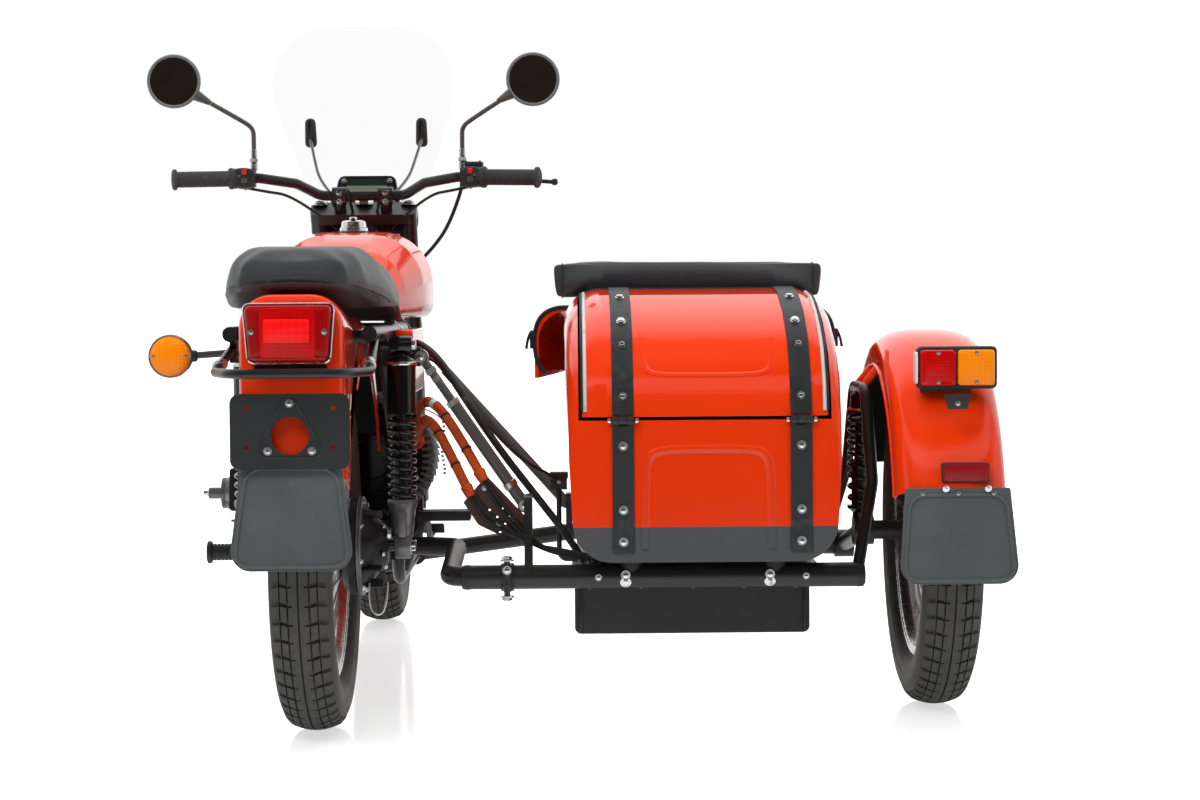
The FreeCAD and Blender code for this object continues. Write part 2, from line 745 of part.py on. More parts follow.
def make_bike_frame():
    """Steering head, backbone, cradle loops, seat rails, struts and cross tubes."""
    low = axis_at(HEAD_LOW_Z)
    top = axis_at(HEAD_TOP_Z)
    head = rod(low, top, HEAD_R)
    middle = low + (top - low) / 2
    backbone = rod(middle, V(0, BACKBONE_REAR_Y, BACKBONE_REAR_Z), BACKBONE_R)
    loop = pipe(
        [
            down_top(), down_knee(), V(RAIL_X, DOWN_LOW_Y, DOWN_LOW_Z),
            V(RAIL_X, BASE_FRONT_Y, BASE_Z), V(RAIL_X, PIVOT_Y, BASE_Z),
            V(RAIL_X, PIVOT_Y, RAIL_Z),
        ],
        LOOP_R, [0, FRAME_BEND, FRAME_BEND, FRAME_BEND, FRAME_BEND, 0],
    )
    rail = rod(V(RAIL_X, RAIL_REAR_Y, RAIL_Z), V(RAIL_X, BACKBONE_REAR_Y + 2 * CROSS_R, RAIL_Z), RAIL_R)
    strut = rod(
        V(RAIL_X, STRUT_TOP_Y, RAIL_Z),
        V(RAIL_X, PIVOT_Y, BASE_Z + (RAIL_Z - BASE_Z) * STRUT_LOW_SHARE), STAY_TUBE_R,
    )
    pieces = [head, backbone]
    for side in (loop, rail, strut):
        pieces += both_sides(side)
    rear_cross_z = fender_top_z(REAR_CROSS_Y, REAR_FENDER_R + CROSS_R + SEAT_GAP)
    for y, z, radius in (
        (BASE_FRONT_Y - FRAME_BEND, BASE_Z, CROSS_R), (FOOT_CROSS_Y, BASE_Z, CROSS_R),
        (PIVOT_Y, AXLE_Z, PIVOT_CROSS_R), (BACKBONE_REAR_Y, RAIL_Z, CROSS_R),
        (REAR_CROSS_Y, rear_cross_z, CROSS_R),
    ):
        pieces.append(rod(V(-RAIL_X, y, z), V(RAIL_X, y, z), radius))
    for start_x, end_x in (
        (SHOCK_LEFT_X - LUG_T, -RAIL_X + RAIL_R), (RAIL_X - RAIL_R, SHOCK_RIGHT_X + LUG_T),
    ):
        pieces.append(rod(V(start_x, 0, SHOCK_TOP_Z), V(end_x, 0, SHOCK_TOP_Z), SHOCK_PIN_R))
    for side in (-1, 1):
        x = side * (RAIL_X - RAIL_R / 2)
        pieces.append(block(
            x - LUG_T / 2, x + LUG_T / 2, -LUG_T, LUG_T, SHOCK_TOP_Z - SHOCK_PIN_R, RAIL_Z,
        ))
    pieces.append(block(
        RAIL_X, STRUT_LUG_X, STRUT_LUG_Y - LUG_T, STRUT_LUG_Y + LUG_T,
        STRUT_LUG_Z - STRUT_LUG_HALF_H, STRUT_LUG_Z + STRUT_LUG_HALF_H,
    ))
    pieces.append(block(
        RAIL_X - LUG_T / 2, RAIL_X + LUG_T / 2, STRUT_LUG_Y - LUG_T, STRUT_LUG_Y + LUG_T,
        STRUT_LUG_Z - LUG_T, RAIL_Z,
    ))
    pieces.append(block(
        -RAIL_X - LUG_T / 2, -RAIL_X + LUG_T / 2, SIGNAL_Y - LUG_T, SIGNAL_Y + LUG_T,
        SIGNAL_Z - LUG_T, RAIL_Z,
    ))
    frame = fuse(pieces)
    return frame.cut(rod(low - steer_up() * OVERRUN, top + steer_up() * OVERRUN, STEM_R + RUNNING_FIT))


# Swing arm, drive shaft and final drive
ARM_X = 83.0
ARM_R = 18.0
ARM_BOSS_R = 26.0
ARM_BOSS_OUT = 100.0
ARM_BOSS_IN = 66.0
SHAFT_R = 9.0
DRIVE_IN_X = 50.0
DRIVE_R = 76.0
DRIVE_FLANGE_R = 88.0
DRIVE_FLANGE_T = 12.0
DRIVE_OUT_X = 128.0
DRIVE_NOSE_R = 30.0
DRIVE_NECK_Y = 105.0
DRIVE_NECK_R = 32.0
AXLE_LEFT_X = -142.0
AXLE_RIGHT_X = 176.0
SHOCK_EYE_HALF_W = 14.0
SHOCK_EYE_R = 24.0


def make_swing_arm():
    """Pivot sleeve, two legs and the rear axle that the left leg clamps."""
    inner = RAIL_X - RAIL_R - SEAT_GAP
    pivot = ring(
        V(-inner, PIVOT_Y, AXLE_Z), V(inner, PIVOT_Y, AXLE_Z),
        PIVOT_CROSS_R + RAIL_R / 2, PIVOT_CROSS_R + RUNNING_FIT,
    )
    left = rod(V(-ARM_X, PIVOT_Y - PIVOT_CROSS_R, AXLE_Z), V(-ARM_X, 0, AXLE_Z), ARM_R)
    boss = rod(V(-ARM_BOSS_OUT, 0, AXLE_Z), V(-ARM_BOSS_IN, 0, AXLE_Z), ARM_BOSS_R)
    right = rod(V(ARM_X, PIVOT_Y - PIVOT_CROSS_R, AXLE_Z), V(ARM_X, DRIVE_NECK_Y, AXLE_Z), ARM_R)
    axle = rod(V(AXLE_LEFT_X, 0, AXLE_Z), V(AXLE_RIGHT_X, 0, AXLE_Z), AXLE_R)
    arms = fuse([pivot, left, right, boss, axle])
    return arms.cut(rod(V(-inner, PIVOT_Y, AXLE_Z), V(inner, PIVOT_Y, AXLE_Z), PIVOT_CROSS_R + RUNNING_FIT))


def make_final_drive(swing_arm):
    """Bevel case beside the wheel, with its bolted flange, nose and forward neck."""
    outline = [
        (DRIVE_IN_X, 0), (DRIVE_IN_X, DRIVE_R), (DRIVE_IN_X + DRIVE_FLANGE_T, DRIVE_FLANGE_R),
        (DRIVE_IN_X + 2 * DRIVE_FLANGE_T, DRIVE_FLANGE_R), (DRIVE_IN_X + 2 * DRIVE_FLANGE_T, DRIVE_R),
        (DRIVE_IN_X + 4 * DRIVE_FLANGE_T, DRIVE_R - DRIVE_FLANGE_T), (DRIVE_OUT_X, DRIVE_NOSE_R),
        (DRIVE_OUT_X, 0),
    ]
    case = spun_outline(outline, REAR_HUB)
    neck = rod(V(ARM_X, 0, AXLE_Z), V(ARM_X, DRIVE_NECK_Y, AXLE_Z), DRIVE_NECK_R)
    return seated(fuse([case, neck]), swing_arm)


SPRING_R = 27.0
SPRING_CORE_R = 19.0
SPRING_TURNS = 9
SPRING_LOW_Z = 412.0
CAN_LOW_Z = 566.0
CAN_R = 27.0
CLEVIS_R = 22.0


def make_rear_shock(x, frame, others):
    """Upper can, ribbed spring, clevis and the two eyes, hung between frame and axle."""
    turns = []
    pitch = (CAN_LOW_Z - SPRING_LOW_Z) / SPRING_TURNS
    for i in range(SPRING_TURNS):
        base = i * pitch
        turns += [(base, SPRING_CORE_R), (base + pitch / 2, SPRING_R)]
    height = CAN_LOW_Z - SPRING_LOW_Z
    outline = [(0, 0)] + turns + [(height, SPRING_CORE_R), (height, 0)]
    points = [V(x + r, 0, SPRING_LOW_Z + z) for z, r in outline]
    spring = Part.Face(Part.makePolygon(points + points[:1])).revolve(
        V(x, 0, 0), V(0, 0, 1), TURN_DEG)
    can_top = SHOCK_TOP_Z - SHOCK_EYE_R
    can = rod(V(x, 0, CAN_LOW_Z), V(x, 0, can_top), CAN_R)
    clevis = rod(V(x, 0, AXLE_Z), V(x, 0, SPRING_LOW_Z), CLEVIS_R)
    half = V(SHOCK_EYE_HALF_W, 0, 0)
    top = V(x, 0, SHOCK_TOP_Z)
    low = V(x, 0, AXLE_Z)
    eyes = [
        rod(top - half, top + half, SHOCK_EYE_R / 4 * 3),
        rod(V(x, 0, can_top), top, SHOCK_EYE_R / 2),
        rod(low - half, low + half, SHOCK_EYE_R),
    ]
    return seated(fuse([spring, can, clevis] + eyes), frame, *others)


# Motor, gear case, drive shaft and battery
MOTOR_X = 65.0
MOTOR_Z = 460.0
MOTOR_R = 112.0
MOTOR_FIN_R = 126.0
MOTOR_REAR_Y = 394.0
MOTOR_FRONT_Y = 592.0
MOTOR_FINS = 36
MOTOR_FIN_T = 3.0
MOTOR_COVER_R = 100.0
MOTOR_COVER_T = 6.0


def make_drive_motor():
    """A drum with long cooling fins all round and a round rear cover."""
    rear = V(MOTOR_X, MOTOR_REAR_Y + MOTOR_COVER_T, MOTOR_Z)
    front = V(MOTOR_X, MOTOR_FRONT_Y, MOTOR_Z)
    pieces = [
        rod(rear, front, MOTOR_R),
        rod(rear - V(0, MOTOR_COVER_T, 0), rear, MOTOR_COVER_R),
    ]
    fin = block(
        MOTOR_X - MOTOR_FIN_T / 2, MOTOR_X + MOTOR_FIN_T / 2, rear.y, front.y,
        MOTOR_Z + MOTOR_R / 2, MOTOR_Z + MOTOR_FIN_R,
    )
    for i in range(MOTOR_FINS):
        turned = fin.copy()
        turned.rotate(rear, V(0, 1, 0), i * TURN_DEG / MOTOR_FINS)
        pieces.append(turned)
    return fuse(pieces)


CASE_LEFT_X = -60.0
CASE_RIGHT_X = 132.0
CASE_FRONT_Y = 690.0
CASE_LOW_Z = 290.0
CASE_TOP_Z = 580.0
CASE_CORNER = 40.0
CASE_FOOT_HALF = 16.0
BOSS_Z = 376.0
BOSS_R = 42.0
BOSS_LEFT_X = -232.0
BOSS_CAP_R = 32.0
BOSS_CAP_X = -262.0
BOSS_NUT_R = 12.0
BOSS_NUT_X = -290.0


def make_gear_case(motor, frame):
    """Reduction case ahead of the motor, with a left bearing boss and a foot on the frame."""
    y0 = MOTOR_FRONT_Y
    outline = [
        (CASE_LEFT_X, CASE_LOW_Z), (CASE_RIGHT_X, CASE_LOW_Z),
        (CASE_RIGHT_X, CASE_TOP_Z), (CASE_LEFT_X, CASE_TOP_Z),
    ]
    body = plate_y(outline, CASE_CORNER, y0, CASE_FRONT_Y)
    mid_y = FOOT_CROSS_Y
    boss = rod(V(CASE_LEFT_X, mid_y, BOSS_Z), V(BOSS_LEFT_X, mid_y, BOSS_Z), BOSS_R)
    cap = rod(V(BOSS_LEFT_X, mid_y, BOSS_Z), V(BOSS_CAP_X, mid_y, BOSS_Z), BOSS_CAP_R)
    nut = rod(V(BOSS_CAP_X, mid_y, BOSS_Z), V(BOSS_NUT_X, mid_y, BOSS_Z), BOSS_NUT_R)
    foot = block(
        MOTOR_X - 2 * CASE_FOOT_HALF, MOTOR_X + 2 * CASE_FOOT_HALF,
        mid_y - CASE_FOOT_HALF, mid_y + CASE_FOOT_HALF, BASE_Z, CASE_LOW_Z,
    )
    return seated(fuse([body, boss, cap, nut, foot]), motor, frame)


def make_drive_shaft(gear_case, swing_arm, frame):
    """Open shaft from the gear case back to the hollow right leg."""
    height = AXLE_Z - SHAFT_R
    start = V(ARM_X, MOTOR_FRONT_Y + CASE_CORNER, height)
    end = V(ARM_X, PIVOT_Y + PIVOT_CROSS_R + RAIL_R / 4, height)
    return seated(rod(start, end, SHAFT_R), gear_case, swing_arm, frame)


BATTERY_HALF_W = 100.0
BATTERY_REAR_Y = 698.0
BATTERY_FRONT_Y = BASE_FRONT_Y
BATTERY_TOP_Z = 690.0
BATTERY_SLOPE_Z = 480.0
BATTERY_NOSE_Y = BATTERY_FRONT_Y - 50.0
BATTERY_RIBS = 5
BATTERY_RIB_T = 8.0
BATTERY_RIB_D = 6.0


def make_battery_pack(frame):
    """The pack in the cradle: a ribbed block with a sloping upper front."""
    low = BASE_Z + CROSS_R + SEAT_GAP
    outline = [
        (BATTERY_REAR_Y, low), (BATTERY_FRONT_Y, low), (BATTERY_FRONT_Y, BATTERY_SLOPE_Z),
        (BATTERY_NOSE_Y, BATTERY_TOP_Z), (BATTERY_REAR_Y, BATTERY_TOP_Z),
    ]
    core = plate_x(outline, CASE_CORNER / 2, -BATTERY_HALF_W + BATTERY_RIB_D, BATTERY_HALF_W - BATTERY_RIB_D)
    pieces = [core]
    step = (BATTERY_NOSE_Y - BATTERY_REAR_Y) / (BATTERY_RIBS + 1)
    for i in range(BATTERY_RIBS):
        y = BATTERY_REAR_Y + (i + 1) * step
        pieces.append(block(
            -BATTERY_HALF_W, BATTERY_HALF_W, y - BATTERY_RIB_T / 2, y + BATTERY_RIB_T / 2,
            low + CASE_CORNER, BATTERY_TOP_Z - CASE_CORNER,
        ))
    return seated(fuse(pieces), frame)


# Tank and seat
TANK_REAR_Y = 500.0
TANK_FRONT_Y = WHEELBASE - 515.0
TANK_LOW_Z = 735.0
TANK_TOP_Z = 916.0
TANK_HALF_W = 168.0
TANK_STATION_SHARES = (
    (0.00, 0.62, 0.00, 0.52),
    (0.12, 0.74, 0.00, 0.74),
    (0.34, 0.92, 0.00, 0.94),
    (0.58, 1.00, 0.00, 1.00),
    (0.82, 0.92, 0.00, 0.97),
    (1.00, 0.62, 0.12, 0.86),
)
TANK_CORNER_SHARE = 0.62


def tank_section(y_share, width_share, low_share, top_share):
    y = TANK_REAR_Y + (TANK_FRONT_Y - TANK_REAR_Y) * y_share
    rise = TANK_TOP_Z - TANK_LOW_Z
    half = TANK_HALF_W * width_share
    low = TANK_LOW_Z + rise * low_share
    top = TANK_LOW_Z + rise * top_share
    corner = (top - low) * TANK_CORNER_SHARE
    points = [V(-half, y, low), V(half, y, low), V(half, y, top), V(-half, y, top)]
    return rounded_wire(points, [corner / 4, corner / 4, corner, corner], True)


def make_tank(frame):
    """A domed shell astride the backbone, narrow at both ends."""
    shell = Part.makeLoft([tank_section(*row) for row in TANK_STATION_SHARES], True, True)
    return seated(shell, frame)


CAP_Y = TANK_FRONT_Y - 185.0
CAP_R = 30.0
CAP_RISE = 26.0
CAP_LEVER_W = 14.0


def make_tank_cap(tank):
    """A round cap with a folding lever bar, seated on the tank's top."""
    foot = V(0, CAP_Y, TANK_TOP_Z - CAP_R)
    top = V(0, CAP_Y, TANK_TOP_Z + CAP_RISE / 2)
    lever = block(
        -CAP_R / 2, CAP_R / 2, CAP_Y - CAP_LEVER_W / 2, CAP_Y + CAP_LEVER_W / 2,
        top.z, TANK_TOP_Z + CAP_RISE,
    )
    return seated(fuse([rod(foot, top, CAP_R), lever]), tank)


SEAT_REAR_Y = -345.0
SEAT_FRONT_Y = TANK_REAR_Y - SEAT_GAP
SEAT_LOW_Z = RAIL_Z + RAIL_R + SEAT_GAP
SEAT_HALF_W = 150.0
SEAT_TAIL_Z = 862.0
SEAT_STATION_SHARES = (
    (0.000, 0.62, 0.45, 0.86), (0.064, 0.80, 0.35, 0.96), (0.236, 0.94, 0.20, 1.00),
    (0.420, 1.00, 0.20, 0.86), (0.552, 1.00, 0.20, 0.70), (0.645, 1.00, 0.00, 0.63),
    (0.850, 0.84, 0.00, 0.62), (1.000, 0.62, 0.00, 0.72),
)
SEAT_CORNER_SHARE = 0.40


def seat_section(y_share, width_share, low_share, top_share):
    y = SEAT_REAR_Y + (SEAT_FRONT_Y - SEAT_REAR_Y) * y_share
    rise = SEAT_TAIL_Z - SEAT_LOW_Z
    half = SEAT_HALF_W * width_share
    low = SEAT_LOW_Z + rise * low_share
    top = SEAT_LOW_Z + rise * top_share
    corner = (top - low) * SEAT_CORNER_SHARE
    points = [V(-half, y, low), V(half, y, low), V(half, y, top), V(-half, y, top)]
    return rounded_wire(points, [corner / 3, corner / 3, corner, corner], True)


def make_seat():
    """Dual seat: low in the middle for the rider, raised over the fender for a passenger."""
    return Part.makeLoft([seat_section(*row) for row in SEAT_STATION_SHARES], True, True)


# Side panels
SIDE_PANEL_REAR_Y = 150.0
SIDE_PANEL_FRONT_Y = 500.0
SIDE_PANEL_LOW_Z = 596.0
SIDE_PANEL_TOP_Z = 716.0
SIDE_PANEL_OUT_X = 165.0
SIDE_PANEL_BEVEL = 10.0


def make_side_panels():
    """Left and right covers below the seat, each against the frame's uprights."""
    outline = [
        (SIDE_PANEL_REAR_Y, SIDE_PANEL_TOP_Z), (SIDE_PANEL_FRONT_Y, SIDE_PANEL_TOP_Z),
        (SIDE_PANEL_FRONT_Y, SIDE_PANEL_LOW_Z + SIDE_PANEL_BEVEL * 3),
        (SIDE_PANEL_FRONT_Y - SIDE_PANEL_BEVEL * 6, SIDE_PANEL_LOW_Z),
        (SIDE_PANEL_REAR_Y + SIDE_PANEL_BEVEL * 7, SIDE_PANEL_LOW_Z),
    ]
    inner_x = RAIL_X + RAIL_R + SEAT_GAP
    panel = plate_x(outline, SIDE_PANEL_BEVEL, inner_x, SIDE_PANEL_OUT_X)
    return apart(both_sides(panel))


# Rear fender with the lamp housing, flap, lamp, plate bracket, rail and signal
REAR_FENDER_HALF_W = 88.0
REAR_FENDER_FROM_DEG = 26.0
REAR_FENDER_TO_DEG = 158.0
REAR_SKIRT = 92.0
REAR_CROWN = 26.0
TAIL_REAR_Y = -382.0
TAIL_TOP_Z = 782.0
TAIL_FRONT_Y = -150.0
TAIL_LOW_Z = 492.0
TAIL_TAPER = 16.0
TAIL_CORNER = 30.0


def make_rear_fender(frame):
    """Deep fender around the rear wheel, with a tail block that carries the lamp."""
    arc = fender_arc(
        REAR_FENDER_HALF_W, REAR_FENDER_R, REAR_SKIRT, REAR_CROWN,
        REAR_HUB, REAR_FENDER_FROM_DEG, REAR_FENDER_TO_DEG,
    )
    outline = [
        (TAIL_FRONT_Y, TAIL_LOW_Z), (TAIL_FRONT_Y, TAIL_TOP_Z - 2 * TAIL_TAPER),
        (TAIL_REAR_Y + 2 * TAIL_TAPER, TAIL_TOP_Z), (TAIL_REAR_Y, TAIL_TOP_Z - TAIL_TAPER),
        (TAIL_REAR_Y - TAIL_TAPER / 2, TAIL_LOW_Z),
    ]
    corners = [0, 0, TAIL_CORNER / 2, TAIL_CORNER / 2, 0]
    tail = plate_x(outline, corners, -REAR_FENDER_HALF_W, REAR_FENDER_HALF_W)
    inside = spun_outline(
        [
            (-REAR_FENDER_HALF_W + FENDER_T, 0), (REAR_FENDER_HALF_W - FENDER_T, 0),
            (REAR_FENDER_HALF_W - FENDER_T, REAR_FENDER_R - REAR_CROWN - FENDER_T),
            (REAR_FENDER_HALF_W / 2, REAR_FENDER_R - FENDER_T),
            (-REAR_FENDER_HALF_W / 2, REAR_FENDER_R - FENDER_T),
            (-REAR_FENDER_HALF_W + FENDER_T, REAR_FENDER_R - REAR_CROWN - FENDER_T),
        ],
        REAR_HUB,
    )
    skirt_r = REAR_FENDER_R - REAR_SKIRT
    wheel_space = rod(
        REAR_HUB - V(2 * REAR_FENDER_HALF_W, 0, 0), REAR_HUB + V(2 * REAR_FENDER_HALF_W, 0, 0), skirt_r)
    shell = fuse([arc, tail.cut(inside).cut(wheel_space)])
    return seated(shell, frame)


FLAP_T = 5.0
REAR_FLAP_TOP_Z = 500.0
REAR_FLAP_LOW_Z = 328.0
REAR_FLAP_TOP_HALF_W = 82.0
REAR_FLAP_LOW_HALF_W = 104.0
FLAP_CORNER = 34.0
REAR_FLAP_TILT_DEG = 5.0


def make_flap(x, y, top_z, low_z, top_half, low_half, tilt):
    """A rubber flap that widens downwards, hung by its top edge."""
    outline = [
        (x - top_half, top_z), (x + top_half, top_z),
        (x + low_half, low_z), (x - low_half, low_z),
    ]
    flap = plate_y(outline, [FLAP_T, FLAP_T, FLAP_CORNER, FLAP_CORNER], y - FLAP_T, y)
    return turned_about_x(flap, V(x, y, top_z), tilt)


def make_rear_flap(rear_fender):
    top = REAR_FLAP_TOP_Z + FLAP_T
    y = TAIL_REAR_Y - TAIL_TAPER / 2
    flap = make_flap(
        0, y, top, REAR_FLAP_LOW_Z, REAR_FLAP_TOP_HALF_W, REAR_FLAP_LOW_HALF_W, -REAR_FLAP_TILT_DEG)
    return seated(flap, rear_fender)


TAIL_LAMP_TOP_HALF_W = 76.0
TAIL_LAMP_LOW_HALF_W = 68.0
TAIL_LAMP_LOW_Z = 669.0
TAIL_LAMP_TOP_Z = 768.0
TAIL_LAMP_DEPTH = 44.0
TAIL_LAMP_CORNER = 14.0


def make_tail_lamp(rear_fender):
    """A trapezoid lens block, wider at the top, against the tail block."""
    outline = [
        (-TAIL_LAMP_LOW_HALF_W, TAIL_LAMP_LOW_Z), (TAIL_LAMP_LOW_HALF_W, TAIL_LAMP_LOW_Z),
        (TAIL_LAMP_TOP_HALF_W, TAIL_LAMP_TOP_Z), (-TAIL_LAMP_TOP_HALF_W, TAIL_LAMP_TOP_Z),
    ]
    lens = plate_y(outline, TAIL_LAMP_CORNER, TAIL_REAR_Y - TAIL_LAMP_DEPTH, TAIL_REAR_Y + TAIL_TAPER)
    return seated(lens, rear_fender)


PLATE_HALF_W = 98.0
PLATE_LOW_Z = 496.0
PLATE_TOP_Z = 620.0
PLATE_T = 4.0
PLATE_Y = -406.0
PLATE_CORNER = 16.0
PLATE_BORE_R = 31.0
PLATE_BORE_Z = 551.0
PLATE_HOLE_R = 3.5
PLATE_HOLE_X = 71.0
PLATE_HOLE_LOW_Z = 532.0
PLATE_HOLE_TOP_Z = 596.0
PLATE_STAND_R = 6.0
PLATE_STAND_X = 36.0
PLATE_STAND_LOW_Z = 526.0
PLATE_STAND_TOP_Z = 604.0


def make_plate_bracket(rear_fender, flap):
    """The number plate's carrier on three stand-offs, with a round cut-out and four holes."""
    outline = [
        (-PLATE_HALF_W, PLATE_LOW_Z), (PLATE_HALF_W, PLATE_LOW_Z),
        (PLATE_HALF_W, PLATE_TOP_Z), (-PLATE_HALF_W, PLATE_TOP_Z),
    ]
    sheet = plate_y(outline, PLATE_CORNER, PLATE_Y - PLATE_T, PLATE_Y)
    cuts = [rod(V(0, PLATE_Y - OVERRUN, PLATE_BORE_Z), V(0, PLATE_Y + OVERRUN, PLATE_BORE_Z), PLATE_BORE_R)]
    for x in (-PLATE_HOLE_X, PLATE_HOLE_X):
        for z in (PLATE_HOLE_LOW_Z, PLATE_HOLE_TOP_Z):
            cuts.append(rod(V(x, PLATE_Y - OVERRUN, z), V(x, PLATE_Y + OVERRUN, z), PLATE_HOLE_R))
    sheet = sheet.cut(cuts)
    stands = []
    for x, z in (
        (0, PLATE_STAND_TOP_Z), (-PLATE_STAND_X, PLATE_STAND_LOW_Z), (PLATE_STAND_X, PLATE_STAND_LOW_Z),
    ):
        stands.append(rod(V(x, PLATE_Y, z), V(x, TAIL_REAR_Y, z), PLATE_STAND_R))
    return seated(fuse([sheet] + stands), rear_fender, flap)


GRAB_R = 8.0
GRAB_BEND = 46.0
GRAB_Z = 654.0
GRAB_REAR_Y = -452.0
GRAB_SIDE_Y = -360.0
GRAB_FRONT_Y = -150.0
GRAB_REAR_HALF_W = 92.0
GRAB_SIDE_X = 128.0


def make_grab_rail(frame):
    """A hoop behind the lamp, rising forward to the seat rails on both sides."""
    side = [
        V(RAIL_X, GRAB_FRONT_Y, RAIL_Z - RAIL_R), V(GRAB_SIDE_X, GRAB_SIDE_Y, GRAB_Z),
        V(GRAB_REAR_HALF_W, GRAB_REAR_Y, GRAB_Z),
    ]
    route = [V(-p.x, p.y, p.z) for p in side] + list(reversed(side))
    return seated(pipe(route, GRAB_R, GRAB_BEND), frame)


SIGNAL_X = -226.0
SIGNAL_R = 38.0
SIGNAL_T = 46.0
SIGNAL_STALK_R = 6.0


def make_turn_signal(frame, grab_rail):
    """A round lamp facing back on a stalk from the left seat rail."""
    centre = V(SIGNAL_X, SIGNAL_Y, SIGNAL_Z)
    half = V(0, SIGNAL_T / 2, 0)
    lamp = rod(centre - half, centre + half, SIGNAL_R)
    stalk = rod(centre, V(-RAIL_X, SIGNAL_Y, SIGNAL_Z), SIGNAL_STALK_R)
    return seated(fuse([lamp, stalk]), frame, grab_rail)


PEG_Y = 500.0
PEG_Z = 268.0
PEG_R = 16.0
PEG_FLANGE_R = 22.0
PEG_FLANGE_T = 8.0
PEG_OUT_X = 273.0
PEG_IN_X = 160.0
PEG_BAR_R = 8.0
TREAD_IN_X = 150.0
TREAD_OUT_X = 256.0
TREAD_Z = 331.0
TREAD_T = 16.0
TREAD_HALF_Y = 24.0
TREAD_TEETH = 8
TREAD_TOOTH = 6.0
PEDAL_R = 6.0
PEDAL_Y = 700.0
PEDAL_Z = 286.0
PEDAL_X = 168.0


def make_foot_controls(frame):
    """Left rubber rest, right toothed rest and the brake pedal, on brackets from the rails."""
    low = BASE_Z
    left_bar = rod(V(-RAIL_X, PEG_Y, PEG_Z), V(-PEG_OUT_X, PEG_Y, PEG_Z), PEG_BAR_R)
    left_rubber = rod(V(-PEG_IN_X, PEG_Y, PEG_Z), V(-PEG_OUT_X, PEG_Y, PEG_Z), PEG_R)
    left_lip = rod(
        V(-PEG_OUT_X + PEG_FLANGE_T, PEG_Y, PEG_Z), V(-PEG_OUT_X, PEG_Y, PEG_Z), PEG_FLANGE_R)
    left_post = rod(V(-RAIL_X, PEG_Y, low), V(-RAIL_X, PEG_Y, PEG_Z), PEG_BAR_R)
    left = fuse([left_bar, left_rubber, left_lip, left_post])
    right_post = rod(V(RAIL_X, PEG_Y, low), V(TREAD_IN_X + TREAD_T, PEG_Y, TREAD_Z + TREAD_T / 2), PEG_BAR_R)
    tread = block(
        TREAD_IN_X, TREAD_OUT_X, PEG_Y - TREAD_HALF_Y, PEG_Y + TREAD_HALF_Y,
        TREAD_Z, TREAD_Z + TREAD_T,
    )
    pitch = (TREAD_OUT_X - TREAD_IN_X) / TREAD_TEETH
    notches = []
    for i in range(TREAD_TEETH):
        x = TREAD_IN_X + i * pitch
        tooth = Part.makePolygon([
            V(x, PEG_Y - TREAD_HALF_Y - OVERRUN, TREAD_Z),
            V(x + pitch / 2, PEG_Y - TREAD_HALF_Y - OVERRUN, TREAD_Z + TREAD_TOOTH),
            V(x + pitch, PEG_Y - TREAD_HALF_Y - OVERRUN, TREAD_Z),
            V(x, PEG_Y - TREAD_HALF_Y - OVERRUN, TREAD_Z),
        ])
        notches.append(Part.Face(tooth).extrude(V(0, 2 * (TREAD_HALF_Y + OVERRUN), 0)))
    tread = tread.cut(notches)
    pedal = pipe(
        [
            V(PEDAL_X, PEG_Y, TREAD_Z), V(PEDAL_X, PEG_Y + TREAD_HALF_Y * 3, PEDAL_Z),
            V(PEDAL_X, PEDAL_Y, PEDAL_Z),
        ],
        PEDAL_R, TREAD_HALF_Y,
    )
    pad = block(
        PEDAL_X - TREAD_HALF_Y, PEDAL_X + TREAD_HALF_Y, PEDAL_Y - TREAD_HALF_Y, PEDAL_Y,
        PEDAL_Z, PEDAL_Z + TREAD_T,
    )
    right = fuse([tread, right_post, pedal, pad])
    return apart([seated(left, frame), seated(right, frame)])


# Sidecar frame
SC_TUBE_R = 22.0
SC_Z = 270.0
SC_REAR_LEFT_X = 262.0
SC_REAR_RIGHT_X = 985.0
SC_LEFT_X = 490.0
SC_RIGHT_X = 892.0
SC_FRONT_Y = 1240.0
SC_BEND = 70.0
SC_ARM_Y = 560.0
SC_ARM_X = 1012.0
SC_ARM_R = 17.0
SC_ARM_BOSS_R = 28.0
SC_ARM_BOSS_HALF_W = 19.0
SC_PIN_R = 14.0
SC_LINK_R = 18.0
SC_LINK_Y = BASE_FRONT_Y - 50.0
SC_ELBOW_X = 236.0
SC_ELBOW_Y = 330.0
SC_ELBOW_Z = 292.0
SC_CLAMP_R = 24.0
SC_CLAMP_HALF = 26.0
HOOP_X = 1006.0
HOOP_R = 11.0
HOOP_TOP_Z = 600.0
HOOP_REAR_Y = 30.0
HOOP_FRONT_Y = 440.0
HOOP_BEND = 90.0
STRUT_FOOT_X = 380.0
STRUT_FOOT_Z = 395.0
STRUT_PLATE_T = 14.0
STRUT_PLATE_HALF = 20.0
FRONT_STRUT_FOOT_Y = SC_LINK_Y
FRONT_STRUT_FOOT_X = 452.0
FRONT_STRUT_FOOT_Z = 330.0


